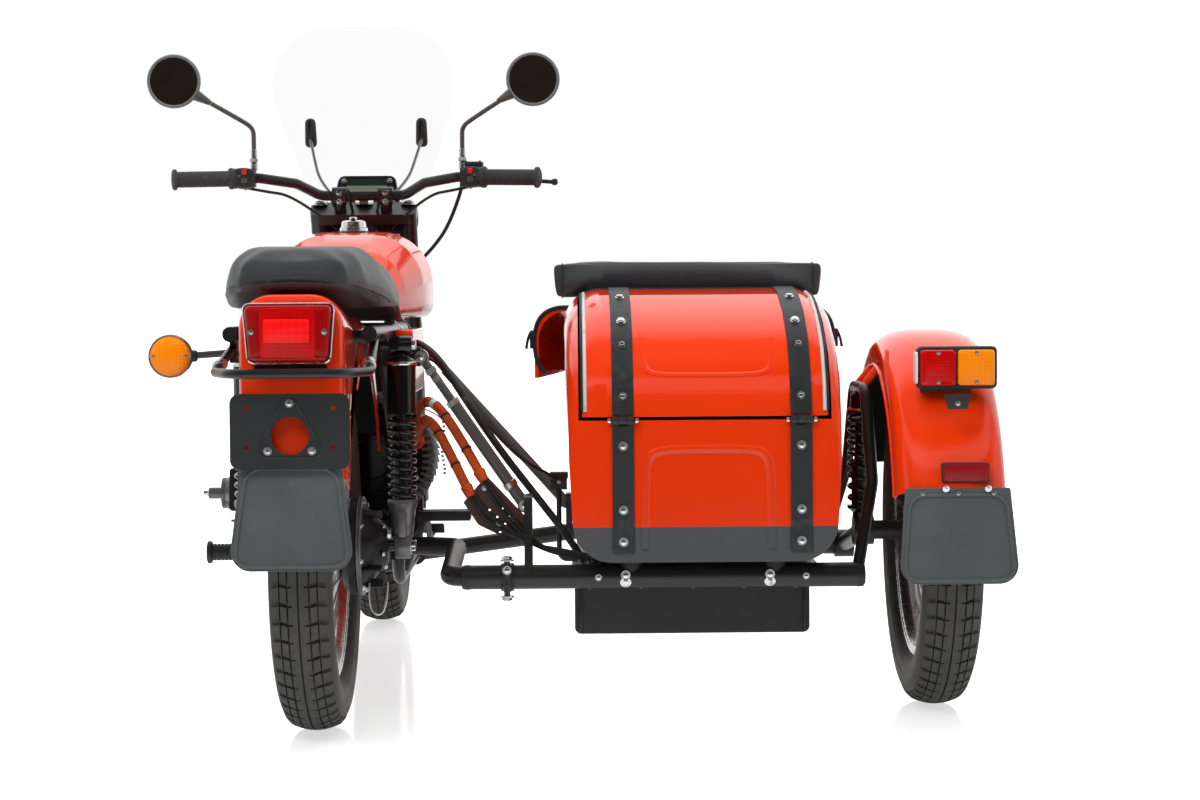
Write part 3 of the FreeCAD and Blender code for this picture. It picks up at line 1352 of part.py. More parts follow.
def make_sidecar_frame(bike_frame):
    """Perimeter tube, cross tubes, rear elbow and front link with clamps, and the hoop."""
    loop_points = [
        V(SC_LEFT_X, 0, SC_Z), V(SC_LEFT_X, SC_FRONT_Y, SC_Z),
        V(SC_RIGHT_X, SC_FRONT_Y, SC_Z), V(SC_RIGHT_X, 0, SC_Z),
    ]
    loop = pipe(loop_points, SC_TUBE_R, SC_BEND)
    rear = rod(V(SC_REAR_LEFT_X, 0, SC_Z), V(SC_REAR_RIGHT_X, 0, SC_Z), SC_TUBE_R)
    mid_end_x = SC_ARM_X - SC_ARM_BOSS_HALF_W - SEAT_GAP
    mid = rod(V(SC_LEFT_X, SC_ARM_Y, SC_Z), V(mid_end_x, SC_ARM_Y, SC_Z), SC_TUBE_R)
    pin = rod(V(SC_RIGHT_X, SC_ARM_Y, SC_Z), V(SC_ARM_X + SC_ARM_BOSS_HALF_W, SC_ARM_Y, SC_Z), SC_PIN_R)
    elbow = pipe(
        [
            V(SC_REAR_LEFT_X + SC_BEND, 0, SC_Z), V(SC_ELBOW_X, SC_TUBE_R, SC_Z),
            V(SC_ELBOW_X, SC_ELBOW_Y, SC_ELBOW_Z), V(RAIL_X, PIVOT_Y, SC_ELBOW_Z),
        ],
        SC_LINK_R, SC_CLAMP_R,
    )
    link = rod(V(RAIL_X, SC_LINK_Y, BASE_Z), V(SC_LEFT_X, SC_LINK_Y, SC_Z), SC_LINK_R)
    elbow_foot = V(RAIL_X, PIVOT_Y, SC_ELBOW_Z - SC_CLAMP_HALF)
    elbow_head = V(RAIL_X, PIVOT_Y, SC_ELBOW_Z + SC_CLAMP_HALF / 4)
    link_rear = V(RAIL_X, SC_LINK_Y - SC_CLAMP_HALF, BASE_Z)
    link_front = V(RAIL_X, SC_LINK_Y + SC_CLAMP_HALF, BASE_Z)
    clamps = [rod(elbow_foot, elbow_head, SC_CLAMP_R), rod(link_rear, link_front, SC_CLAMP_R)]
    hoop = pipe(
        [
            V(SC_REAR_RIGHT_X - HOOP_R, 0, SC_Z), V(HOOP_X, HOOP_REAR_Y, (SC_Z + HOOP_TOP_Z) / 2),
            V(HOOP_X, SIDECAR_LEAD - HOOP_BEND, HOOP_TOP_Z), V(HOOP_X, SIDECAR_LEAD + HOOP_BEND, HOOP_TOP_Z),
            V(HOOP_X, HOOP_FRONT_Y, (SC_Z + HOOP_TOP_Z) / 2),
            V(SC_ARM_X - SC_ARM_BOSS_HALF_W - SC_TUBE_R, SC_ARM_Y - HOOP_R, SC_Z),
        ],
        HOOP_R, [0, HOOP_BEND / 2, HOOP_BEND / 2, HOOP_BEND / 2, HOOP_BEND / 2, 0],
    )
    rear_plate = block(
        STRUT_FOOT_X - STRUT_PLATE_T / 2, STRUT_FOOT_X + STRUT_PLATE_T / 2,
        -STRUT_PLATE_HALF, STRUT_LUG_Y + STRUT_PLATE_HALF, SC_Z, STRUT_FOOT_Z + STRUT_PLATE_HALF,
    )
    front_plate = block(
        FRONT_STRUT_FOOT_X - STRUT_PLATE_T / 2, FRONT_STRUT_FOOT_X + STRUT_PLATE_T / 2,
        FRONT_STRUT_FOOT_Y - STRUT_PLATE_HALF, FRONT_STRUT_FOOT_Y + STRUT_PLATE_HALF,
        SC_Z - SC_LINK_R / 2, FRONT_STRUT_FOOT_Z + STRUT_PLATE_HALF,
    )
    whole = fuse([loop, rear, mid, pin, elbow, link, hoop, rear_plate, front_plate] + clamps)
    return seated(whole, bike_frame)


STRUT_R = 11.0
STRUT_ROD_R = 8.0
STRUT_EYE_R = 13.0
STRUT_ROD_SHARE = 0.30
FRONT_STRUT_TOP_Z = 740.0


def make_strut(top, foot):
    """A tube with a threaded rod end and an eye at each end."""
    middle = along(top, foot, STRUT_ROD_SHARE)
    half = V(0, STRUT_ROD_R, 0)
    return fuse([
        rod(top, middle, STRUT_ROD_R), rod(middle, foot, STRUT_R),
        rod(top - half, top + half, STRUT_EYE_R), rod(foot - half, foot + half, STRUT_EYE_R),
    ])


def make_sidecar_struts(bike_frame, sidecar_frame):
    """Rear and front upper struts between the two frames."""
    rear = make_strut(
        V(STRUT_LUG_X, STRUT_LUG_Y, STRUT_LUG_Z),
        V(STRUT_FOOT_X - STRUT_PLATE_T / 2, STRUT_LUG_Y, STRUT_FOOT_Z))
    head = down_knee()
    foot = V(RAIL_X, DOWN_LOW_Y, DOWN_LOW_Z)
    top = along(head, foot, (head.z - FRONT_STRUT_TOP_Z) / (head.z - foot.z)) + V(RAIL_R, 0, 0)
    low = V(FRONT_STRUT_FOOT_X - STRUT_PLATE_T / 2, FRONT_STRUT_FOOT_Y, FRONT_STRUT_FOOT_Z)
    front = make_strut(top, low)
    return apart([seated(rear, bike_frame, sidecar_frame), seated(front, bike_frame, sidecar_frame)])


def make_sidecar_swing_arm(sidecar_frame):
    """Trailing arm from the frame's pin to the sidecar axle."""
    pivot = V(SC_ARM_X, SC_ARM_Y, SC_Z)
    hub = V(SC_ARM_X, SIDECAR_LEAD, AXLE_Z)
    half = V(SC_ARM_BOSS_HALF_W, 0, 0)
    arm = fuse([
        rod(pivot, hub, SC_ARM_R), rod(pivot - half, pivot + half, SC_ARM_BOSS_R),
        rod(hub - half, hub + half, SC_ARM_BOSS_R),
        rod(hub, V(TRACK + HUB_HALF_W + MOVING_GAP * 2, SIDECAR_LEAD, AXLE_Z), AXLE_R),
        rod(hub, V(TRACK - HUB_HALF_W - MOVING_GAP, SIDECAR_LEAD, AXLE_Z), ARM_R),
    ])
    return seated(arm, sidecar_frame)


SC_SHOCK_R = 24.0
SC_SHOCK_CORE_R = 16.0
SC_SHOCK_TURNS = 8
SC_SHOCK_LOW_Z = 372.0
SC_SHOCK_TOP_Z = 560.0


def make_sidecar_shock(sidecar_frame, swing_arm):
    """Ribbed spring unit from the trailing arm up to the hoop."""
    x = HOOP_X
    y = SIDECAR_LEAD
    pitch = (SC_SHOCK_TOP_Z - SC_SHOCK_LOW_Z) / SC_SHOCK_TURNS
    outline = [(0, 0)]
    for i in range(SC_SHOCK_TURNS):
        outline += [(i * pitch, SC_SHOCK_CORE_R), ((i + 1 / 2) * pitch, SC_SHOCK_R)]
    height = SC_SHOCK_TOP_Z - SC_SHOCK_LOW_Z
    outline += [(height, SC_SHOCK_CORE_R), (height, 0)]
    points = [V(x + r, y, SC_SHOCK_LOW_Z + z) for z, r in outline]
    spring = Part.Face(Part.makePolygon(points + points[:1])).revolve(V(x, y, 0), V(0, 0, 1), TURN_DEG)
    stem = rod(V(x, y, AXLE_Z), V(x, y, HOOP_TOP_Z), SC_SHOCK_CORE_R / 2)
    return seated(fuse([spring, stem]), sidecar_frame, swing_arm)


# Sidecar body
TUB_REAR_Y = -110.0
TUB_NOSE_Y = 1640.0
TUB_LOW_Z = 306.0
TUB_HINGE_Z = 557.0
TUB_WALL = 8.0
TUB_CORNER = 70.0
TUB_MID_X = 695.0
TUB_LOW_HALF = 231.0
TUB_TOP_HALF = 252.0
TUB_LID_TOP_Z = 792.0
TUB_NOSE_LIFT = 110.0
BULKHEAD_Y = 300.0
COCKPIT_FRONT_Y = 1220.0
# Share of the length, of the lower half width, of the upper half width, of the floor's
# lift, and the top as a share of the rise from the floor to the lid's highest line
TUB_STATION_SHARES = (
    (0.0000, 1.00, 0.97, 0.00, 0.525),
    (0.0090, 1.00, 0.97, 0.00, 0.660),
    (0.0340, 1.00, 0.98, 0.00, 0.790),
    (0.0860, 1.00, 0.99, 0.00, 0.900),
    (0.1490, 1.00, 1.00, 0.00, 0.970),
    (0.2343, 1.00, 1.00, 0.00, 1.000),
    (0.2600, 1.00, 1.00, 0.00, 0.760),
    (0.5000, 1.00, 1.00, 0.00, 0.700),
    (0.7850, 0.94, 0.94, 0.00, 0.680),
    (0.9200, 0.74, 0.76, 0.45, 0.600),
    (1.0000, 0.44, 0.46, 1.00, 0.470),
)


def tub_section(row, grow):
    """One cross-section of the body, grown outwards or shrunk by a wall."""
    along_share, low_share, top_share, lift_share, height_share = row
    y = TUB_REAR_Y + (TUB_NOSE_Y - TUB_REAR_Y) * along_share
    if along_share == 0:
        y -= grow
    if along_share == 1:
        y += grow
    low_half = TUB_LOW_HALF * low_share + grow
    top_half = TUB_TOP_HALF * top_share + grow
    low = TUB_LOW_Z + TUB_NOSE_LIFT * lift_share - grow
    top = TUB_LOW_Z + (TUB_LID_TOP_Z - TUB_LOW_Z) * height_share + grow
    corner = TUB_CORNER * low_share + grow
    points = [
        V(TUB_MID_X - low_half, y, low), V(TUB_MID_X + low_half, y, low),
        V(TUB_MID_X + top_half, y, top), V(TUB_MID_X - top_half, y, top),
    ]
    return rounded_wire(points, corner, True)


def tub_hull(grow):
    """The body's closed outer form."""
    return Part.makeLoft([tub_section(row, grow) for row in TUB_STATION_SHARES], True, True)


LID_LEFT_X = 478.0
LID_RIGHT_X = 912.0
LID_FRONT_Y = 268.0
COCKPIT_REAR_Y = BULKHEAD_Y + TUB_WALL
COCKPIT_RIM = 34.0


def lid_region(grow):
    """The space that the trunk lid is cut from."""
    return block(
        LID_LEFT_X - grow, LID_RIGHT_X + grow, TUB_REAR_Y - 4 * OVERRUN, LID_FRONT_Y + grow,
        TUB_HINGE_Z + MOVING_GAP - grow, TUB_LID_TOP_Z + 4 * OVERRUN,
    )


def make_sidecar_tub(outer, inner):
    """Hollow body: trunk, bulkhead, open cockpit and footwell."""
    bulkhead = block(
        0, TRACK, BULKHEAD_Y, BULKHEAD_Y + TUB_WALL, TUB_LOW_Z, TUB_LID_TOP_Z,
    )
    void = inner.cut(bulkhead)
    shell = outer.cut(void)
    half = TUB_TOP_HALF - COCKPIT_RIM
    mouth = plate_z(
        [
            (TUB_MID_X - half, COCKPIT_REAR_Y), (TUB_MID_X + half, COCKPIT_REAR_Y),
            (TUB_MID_X + half, COCKPIT_FRONT_Y), (TUB_MID_X - half, COCKPIT_FRONT_Y),
        ],
        [0, 0, TUB_CORNER * 2, TUB_CORNER * 2],
        TUB_LOW_Z + TUB_CORNER, TUB_LID_TOP_Z + OVERRUN,
    )
    return shell.cut([mouth, lid_region(MOVING_GAP)])


def make_trunk_lid(outer, inner):
    return outer.cut(inner).common(lid_region(0))


STRAP_W = 38.0
STRAP_T = 4.0
STRAP_LEFT_X = 550.0
STRAP_RIGHT_X = 864.0
STRAP_LOW_Z = 380.0
HINGE_R = 7.0
HINGE_PIN_R = 3.5
HINGE_Y = TUB_REAR_Y - HINGE_R - SEAT_GAP * 3
HINGE_KNUCKLE = 14.0
HINGE_GAP = 0.5


def hinge_point(x):
    return V(x, HINGE_Y, TUB_HINGE_Z)


def strap_skin(outer):
    """A thin layer on the outside of the body that the straps are cut from."""
    return tub_hull(STRAP_T).cut(outer)


def strap_slice(skin, x, z0, z1):
    return skin.common(block(
        x - STRAP_W / 2, x + STRAP_W / 2, TUB_REAR_Y - 4 * OVERRUN, LID_FRONT_Y, z0, z1))


def make_tub_straps(skin):
    """Lower strap halves, each with two outer knuckles and the hinge pin."""
    straps = []
    for x in (STRAP_LEFT_X, STRAP_RIGHT_X):
        half = STRAP_W / 2
        strap = strap_slice(skin, x, STRAP_LOW_Z, TUB_HINGE_Z)
        inner = HINGE_KNUCKLE / 2 + HINGE_GAP
        strap = strap.cut(rod(hinge_point(x - inner), hinge_point(x + inner), HINGE_R + MOVING_GAP / 2))
        knuckles = []
        for side in (-1, 1):
            knuckles.append(rod(hinge_point(x + side * inner), hinge_point(x + side * half), HINGE_R))
        pin = rod(hinge_point(x - half - HINGE_GAP * 4), hinge_point(x + half + HINGE_GAP * 4), HINGE_PIN_R)
        straps.append(fuse([strap, pin] + knuckles))
    return apart(straps)


def make_lid_straps(skin):
    """Upper strap halves on the lid, each with the middle knuckle round the pin."""
    straps = []
    for x in (STRAP_LEFT_X, STRAP_RIGHT_X):
        start = TUB_HINGE_Z + HINGE_R + MOVING_GAP / 2
        strap = strap_slice(skin, x, start, TUB_LID_TOP_Z + OVERRUN)
        reach = HINGE_KNUCKLE / 2
        knuckle = rod(hinge_point(x - reach), hinge_point(x + reach), HINGE_R)
        tongue = block(
            x - reach, x + reach, TUB_REAR_Y - STRAP_T, TUB_REAR_Y - SEAT_GAP,
            TUB_HINGE_Z, start + STRAP_T * 2,
        )
        tongue = tongue.common(tub_hull(STRAP_T)).cut(tub_hull(SEAT_GAP))
        whole = fuse([strap, tongue, knuckle])
        straps.append(whole.cut(rod(
            hinge_point(x - STRAP_W), hinge_point(x + STRAP_W), HINGE_PIN_R + RUNNING_FIT)))
    return apart(straps)


COWL_REAR_Y = 690.0
COWL_FRONT_Y = 1200.0
COWL_REAR_HALF = 312.0
COWL_FRONT_HALF = 250.0
COWL_REAR_TOP_Z = 755.0
COWL_FRONT_TOP_Z = 672.0
COWL_LOW_Z = 607.0
COWL_CORNER = 66.0
COWL_WALL = 6.0


def cowl_section(y, half, top, low, inset):
    points = [
        V(TUB_MID_X - half + inset, y, low), V(TUB_MID_X + half - inset, y, low),
        V(TUB_MID_X + half - inset, y, top - inset), V(TUB_MID_X - half + inset, y, top - inset),
    ]
    corner = COWL_CORNER - inset
    return rounded_wire(points, [0, 0, corner, corner], True)


def cowl_form(inset, overrun):
    """The hood over the passenger's legs as a solid, longer by the overrun."""
    rear = cowl_section(COWL_REAR_Y - overrun, COWL_REAR_HALF, COWL_REAR_TOP_Z, COWL_LOW_Z - overrun, inset)
    front = cowl_section(
        COWL_FRONT_Y - inset, COWL_FRONT_HALF, COWL_FRONT_TOP_Z, COWL_LOW_Z - overrun, inset)
    return Part.makeLoft([rear, front], True, True)


def make_tub_cowl(outer):
    """Flared hood ahead of the passenger, open behind and below."""
    return cowl_form(0, 0).cut(cowl_form(COWL_WALL, OVERRUN)).cut(outer)


TUB_MOUNT_R = 20.0
TUB_MOUNT_X = 130.0


def make_tub_mounts(sidecar_frame):
    """Rubber feet between the frame's cross tubes and the floor of the body."""
    feet = []
    for x in (TUB_MID_X - TUB_MOUNT_X, TUB_MID_X + TUB_MOUNT_X):
        for y in (0, SC_ARM_Y, SC_FRONT_Y):
            feet.append(rod(V(x, y, SC_Z), V(x, y, TUB_LOW_Z - SEAT_GAP), TUB_MOUNT_R))
    return apart([seated(foot, sidecar_frame) for foot in feet])


LOCKER_LEFT_X = 458.0
LOCKER_RIGHT_X = 899.0
LOCKER_REAR_Y = 60.0
LOCKER_FRONT_Y = 520.0
LOCKER_LOW_Z = 157.0
LOCKER_CORNER = 12.0
LOCKER_FLANGE_T = 5.0


def make_locker():
    """Closed box slung below the frame rails, with a lip round its top."""
    top = SC_Z - SC_TUBE_R - SEAT_GAP
    outline = [
        (LOCKER_LEFT_X + LOCKER_FLANGE_T, LOCKER_LOW_Z), (LOCKER_RIGHT_X - LOCKER_FLANGE_T, LOCKER_LOW_Z),
        (LOCKER_RIGHT_X - LOCKER_FLANGE_T, top), (LOCKER_LEFT_X + LOCKER_FLANGE_T, top),
    ]
    body = plate_y(outline, [LOCKER_CORNER, LOCKER_CORNER, 0, 0], LOCKER_REAR_Y, LOCKER_FRONT_Y)
    lip = block(
        LOCKER_LEFT_X, LOCKER_RIGHT_X, LOCKER_REAR_Y - LOCKER_FLANGE_T,
        LOCKER_FRONT_Y + LOCKER_FLANGE_T, top - LOCKER_FLANGE_T, top,
    )
    return fuse([body, lip])


PAD_BACK_Y = BULKHEAD_Y + TUB_WALL + SEAT_GAP
PAD_T = 78.0
PAD_LEFT_X = 432.0
PAD_RIGHT_X = 948.0
PAD_TOP_Z = 845.0
PAD_SHELF_Z = 796.0
PAD_LOW_Z = 430.0
PAD_SIDE_GAP = 12.0
CUSHION_FRONT_Y = 690.0
CUSHION_TOP_Z = 428.0
PAD_CORNER = 22.0


def make_seat_back():
    """Backrest: a pad that stands in the cockpit's mouth, with a wider roll above the rim."""
    half = TUB_TOP_HALF - COCKPIT_RIM - PAD_SIDE_GAP
    pad = plate_y(
        [
            (TUB_MID_X - half, PAD_LOW_Z), (TUB_MID_X + half, PAD_LOW_Z),
            (TUB_MID_X + half, PAD_TOP_Z - PAD_CORNER), (TUB_MID_X - half, PAD_TOP_Z - PAD_CORNER),
        ],
        PAD_CORNER / 2, PAD_BACK_Y, PAD_BACK_Y + PAD_T,
    )
    roll = plate_y(
        [
            (PAD_LEFT_X, PAD_SHELF_Z), (PAD_RIGHT_X, PAD_SHELF_Z),
            (PAD_RIGHT_X, PAD_TOP_Z), (PAD_LEFT_X, PAD_TOP_Z),
        ],
        PAD_CORNER, PAD_BACK_Y, PAD_BACK_Y + PAD_T,
    )
    return fuse([pad, roll])


def make_seat_cushion():
    """Cushion on the cockpit floor, between the body's inner walls."""
    slab = block(
        TUB_MID_X - TUB_TOP_HALF, TUB_MID_X + TUB_TOP_HALF, PAD_BACK_Y, CUSHION_FRONT_Y,
        TUB_LOW_Z, CUSHION_TOP_Z,
    )
    return slab.common(tub_hull(-TUB_WALL - SEAT_GAP))


# Sidecar fender, flap, lamp and reflector
SC_FENDER_X = 1129.0
SC_FENDER_HALF_W = 97.0
SC_FENDER_R = 382.0
SC_FENDER_FROM_DEG = 16.0
SC_FENDER_TO_DEG = 164.5
SC_SKIRT = 70.0
SC_CROWN = 30.0
SC_LUG_R = 9.0


def make_sidecar_fender(sidecar_frame):
    """Crowned fender over the sidecar wheel, with a lug to the hoop on its inner side."""
    hub = V(SC_FENDER_X, SIDECAR_LEAD, AXLE_Z)
    arc = fender_arc(
        SC_FENDER_HALF_W, SC_FENDER_R, SC_SKIRT, SC_CROWN, hub, SC_FENDER_FROM_DEG, SC_FENDER_TO_DEG)
    pieces = [arc]
    for y in (SIDECAR_LEAD - HOOP_BEND / 2, SIDECAR_LEAD + HOOP_BEND / 2):
        lug = rod(
            V(SC_FENDER_X - SC_FENDER_HALF_W + FENDER_T, y, HOOP_TOP_Z + SC_SKIRT / 2),
            V(HOOP_X, y, HOOP_TOP_Z), SC_LUG_R)
        pieces.append(lug)
    return seated(fuse(pieces), sidecar_frame)


SC_FLAP_LOW_Z = 268.0
SC_FLAP_TOP_HALF_W = 92.0
SC_FLAP_LOW_HALF_W = 106.0
SC_FLAP_TILT_DEG = 8.0


def make_sidecar_flap(sidecar_fender):
    angle = math.radians(SC_FENDER_TO_DEG)
    y = SIDECAR_LEAD + SC_FENDER_R * math.cos(angle)
    top = AXLE_Z + SC_FENDER_R * math.sin(angle) + FLAP_T
    flap = make_flap(
        SC_FENDER_X + FLAP_T, y, top, SC_FLAP_LOW_Z, SC_FLAP_TOP_HALF_W, SC_FLAP_LOW_HALF_W,
        -SC_FLAP_TILT_DEG)
    return seated(flap, sidecar_fender)


SC_LAMP_LEFT_X = 1072.0
SC_LAMP_RIGHT_X = 1215.0
SC_LAMP_LOW_Z = 607.0
SC_LAMP_TOP_Z = 683.0
SC_LAMP_REAR_Y = -92.0
SC_LAMP_DEPTH = 56.0
SC_LAMP_CORNER = 10.0
SC_LAMP_BASE_HALF_W = 46.0
REFLECTOR_HALF_W = 42.0
REFLECTOR_LOW_Z = 445.0
REFLECTOR_TOP_Z = 480.0
REFLECTOR_T = 10.0


def make_sidecar_lamp(sidecar_fender):
    """Side-by-side lens block on a base that runs forward to the fender."""
    outline = [
        (SC_LAMP_LEFT_X, SC_LAMP_LOW_Z), (SC_LAMP_RIGHT_X, SC_LAMP_LOW_Z),
        (SC_LAMP_RIGHT_X, SC_LAMP_TOP_Z), (SC_LAMP_LEFT_X, SC_LAMP_TOP_Z),
    ]
    lens = plate_y(outline, SC_LAMP_CORNER, SC_LAMP_REAR_Y, SC_LAMP_REAR_Y + SC_LAMP_DEPTH)
    base = block(
        SC_FENDER_X - SC_LAMP_BASE_HALF_W, SC_FENDER_X + SC_LAMP_BASE_HALF_W,
        SC_LAMP_REAR_Y + SC_LAMP_DEPTH, SIDECAR_LEAD, SC_LAMP_LOW_Z - SC_LAMP_CORNER * 2,
        SC_LAMP_LOW_Z + SC_LAMP_CORNER,
    )
    inside = rod(
        V(SC_FENDER_X - 2 * SC_FENDER_HALF_W, SIDECAR_LEAD, AXLE_Z),
        V(SC_FENDER_X + 2 * SC_FENDER_HALF_W, SIDECAR_LEAD, AXLE_Z), SC_FENDER_R - FENDER_T / 2)
    return seated(fuse([lens, base]), sidecar_fender, inside)


def make_reflector(sidecar_fender):
    """A dark red strip low on the fender's back."""
    rise = (REFLECTOR_LOW_Z + REFLECTOR_TOP_Z) / 2 - AXLE_Z
    angle = math.asin(rise / SC_FENDER_R)
    reach = SC_FENDER_R * math.cos(angle)
    y = SIDECAR_LEAD - reach
    mid_x = SC_FENDER_X + SC_LAMP_CORNER * 2
    strip = block(
        mid_x - REFLECTOR_HALF_W, mid_x + REFLECTOR_HALF_W, y - REFLECTOR_T, y + REFLECTOR_T,
        REFLECTOR_LOW_Z, REFLECTOR_TOP_Z,
    )
    inside = rod(
        V(SC_FENDER_X - 2 * SC_FENDER_HALF_W, SIDECAR_LEAD, AXLE_Z),
        V(SC_FENDER_X + 2 * SC_FENDER_HALF_W, SIDECAR_LEAD, AXLE_Z), SC_FENDER_R - FENDER_T / 2)
    return seated(strip, sidecar_fender, inside)


# Conduits, hoses, perforated plate and relay box between bike and sidecar
CONDUIT_R = 8.5
CONDUIT_BEND = 42.0
HOSE_R = 7.0
HOSE_BEND = 46.0
HARNESS_T = 3.0
HARNESS_Y = 44.0
HARNESS_HOLE_R = 4.0
HARNESS_HOLE_ROWS = 3
HARNESS_HOLES = 4
HARNESS_FIRST_X = STRUT_FOOT_X - 62.0
HARNESS_FIRST_Z = STRUT_FOOT_Z + 8.0
HARNESS_HOLE_STEP_X = 14.0
HARNESS_HOLE_STEP_Z = 13.0
HARNESS_ROW_STEP_X = 9.0
HARNESS_ROW_STEP_Z = 15.0
HARNESS_OUTLINE = (
    (STRUT_FOOT_X - 119.0, STRUT_FOOT_Z + 7.0), (STRUT_FOOT_X - 76.0, STRUT_FOOT_Z + 56.0),
    (STRUT_FOOT_X - 7.0, STRUT_FOOT_Z - 18.0), (STRUT_FOOT_X - 7.0, STRUT_FOOT_Z - 50.0),
    (STRUT_FOOT_X - 48.0, STRUT_FOOT_Z - 56.0), (STRUT_FOOT_X - 92.0, STRUT_FOOT_Z - 34.0),
)


def make_harness_plate(sidecar_frame):
    """Perforated plate that carries the conduits, on the strut's foot bracket."""
    sheet = plate_y(HARNESS_OUTLINE, HARNESS_T, HARNESS_Y, HARNESS_Y + HARNESS_T)
    cuts = []
    for row in range(HARNESS_HOLE_ROWS):
        for place in range(HARNESS_HOLES):
            x = HARNESS_FIRST_X + HARNESS_HOLE_STEP_X * place - HARNESS_ROW_STEP_X * row
            z = HARNESS_FIRST_Z - HARNESS_HOLE_STEP_Z * place - HARNESS_ROW_STEP_Z * row
            cuts.append(rod(
                V(x, HARNESS_Y - OVERRUN, z), V(x, HARNESS_Y + OVERRUN, z), HARNESS_HOLE_R / 2))
    return seated(sheet.cut(cuts), sidecar_frame)


def make_conduits(motor, harness_plate):
    """Two power conduits from the motor's rear face to the harness plate."""
    upper = [
        V(152.0, MOTOR_REAR_Y, 536.0), V(164.0, 262.0, 566.0), V(202.0, 132.0, 590.0),
        V(258.0, 74.0, 516.0), V(300.0, HARNESS_Y, 440.0),
    ]
    lower = [
        V(156.0, MOTOR_REAR_Y, 494.0), V(166.0, 262.0, 528.0), V(196.0, 128.0, 556.0),
        V(238.0, 72.0, 488.0), V(276.0, HARNESS_Y, 412.0),
    ]
    pieces = []
    for route in (upper, lower):
        pieces.append(seated(pipe(route, CONDUIT_R, CONDUIT_BEND), motor, harness_plate))
    return apart(pieces)


RELAY_X = 434.0
RELAY_Y = 300.0
RELAY_LOW_Z = 405.0
RELAY_HALF = 16.0
RELAY_POST_R = 5.0


def make_relay_box(sidecar_frame):
    """A small box on a post from the left frame rail."""
    box = block(
        RELAY_X - RELAY_HALF, RELAY_X + RELAY_HALF, RELAY_Y - RELAY_HALF, RELAY_Y + RELAY_HALF,
        RELAY_LOW_Z, RELAY_LOW_Z + 2 * RELAY_HALF,
    )
    post = pipe(
        [V(SC_LEFT_X, RELAY_Y, SC_Z), V(RELAY_X, RELAY_Y, SC_Z), V(RELAY_X, RELAY_Y, RELAY_LOW_Z)],
        RELAY_POST_R, RELAY_HALF,
    )
    return seated(fuse([box, post]), sidecar_frame)


def make_hoses(side_panels, sidecar_frame, relay_box):
    """Black hoses from the right side panel down to the sidecar's left rail and relay box."""
    thick = [
        V(158.0, 300.0, 690.0), V(196.0, 214.0, 684.0), V(262.0, 112.0, 590.0),
        V(330.0, 100.0, 490.0), V(402.0, 96.0, 398.0), V(462.0, 90.0, 320.0),
        V(SC_LEFT_X, 90.0, SC_Z),
    ]
    thin = [
        V(158.0, 330.0, 664.0), V(214.0, 244.0, 662.0), V(290.0, 150.0, 552.0),
        V(366.0, 150.0, 470.0), V(420.0, 220.0, 438.0), V(RELAY_X - 4.0, RELAY_Y, 421.0),
    ]
    pieces = [
        seated(pipe(thick, HOSE_R, HOSE_BEND), side_panels, sidecar_frame),
        seated(pipe(thin, HOSE_R / 2, HOSE_BEND), side_panels, relay_box),
    ]
    return apart(pieces)


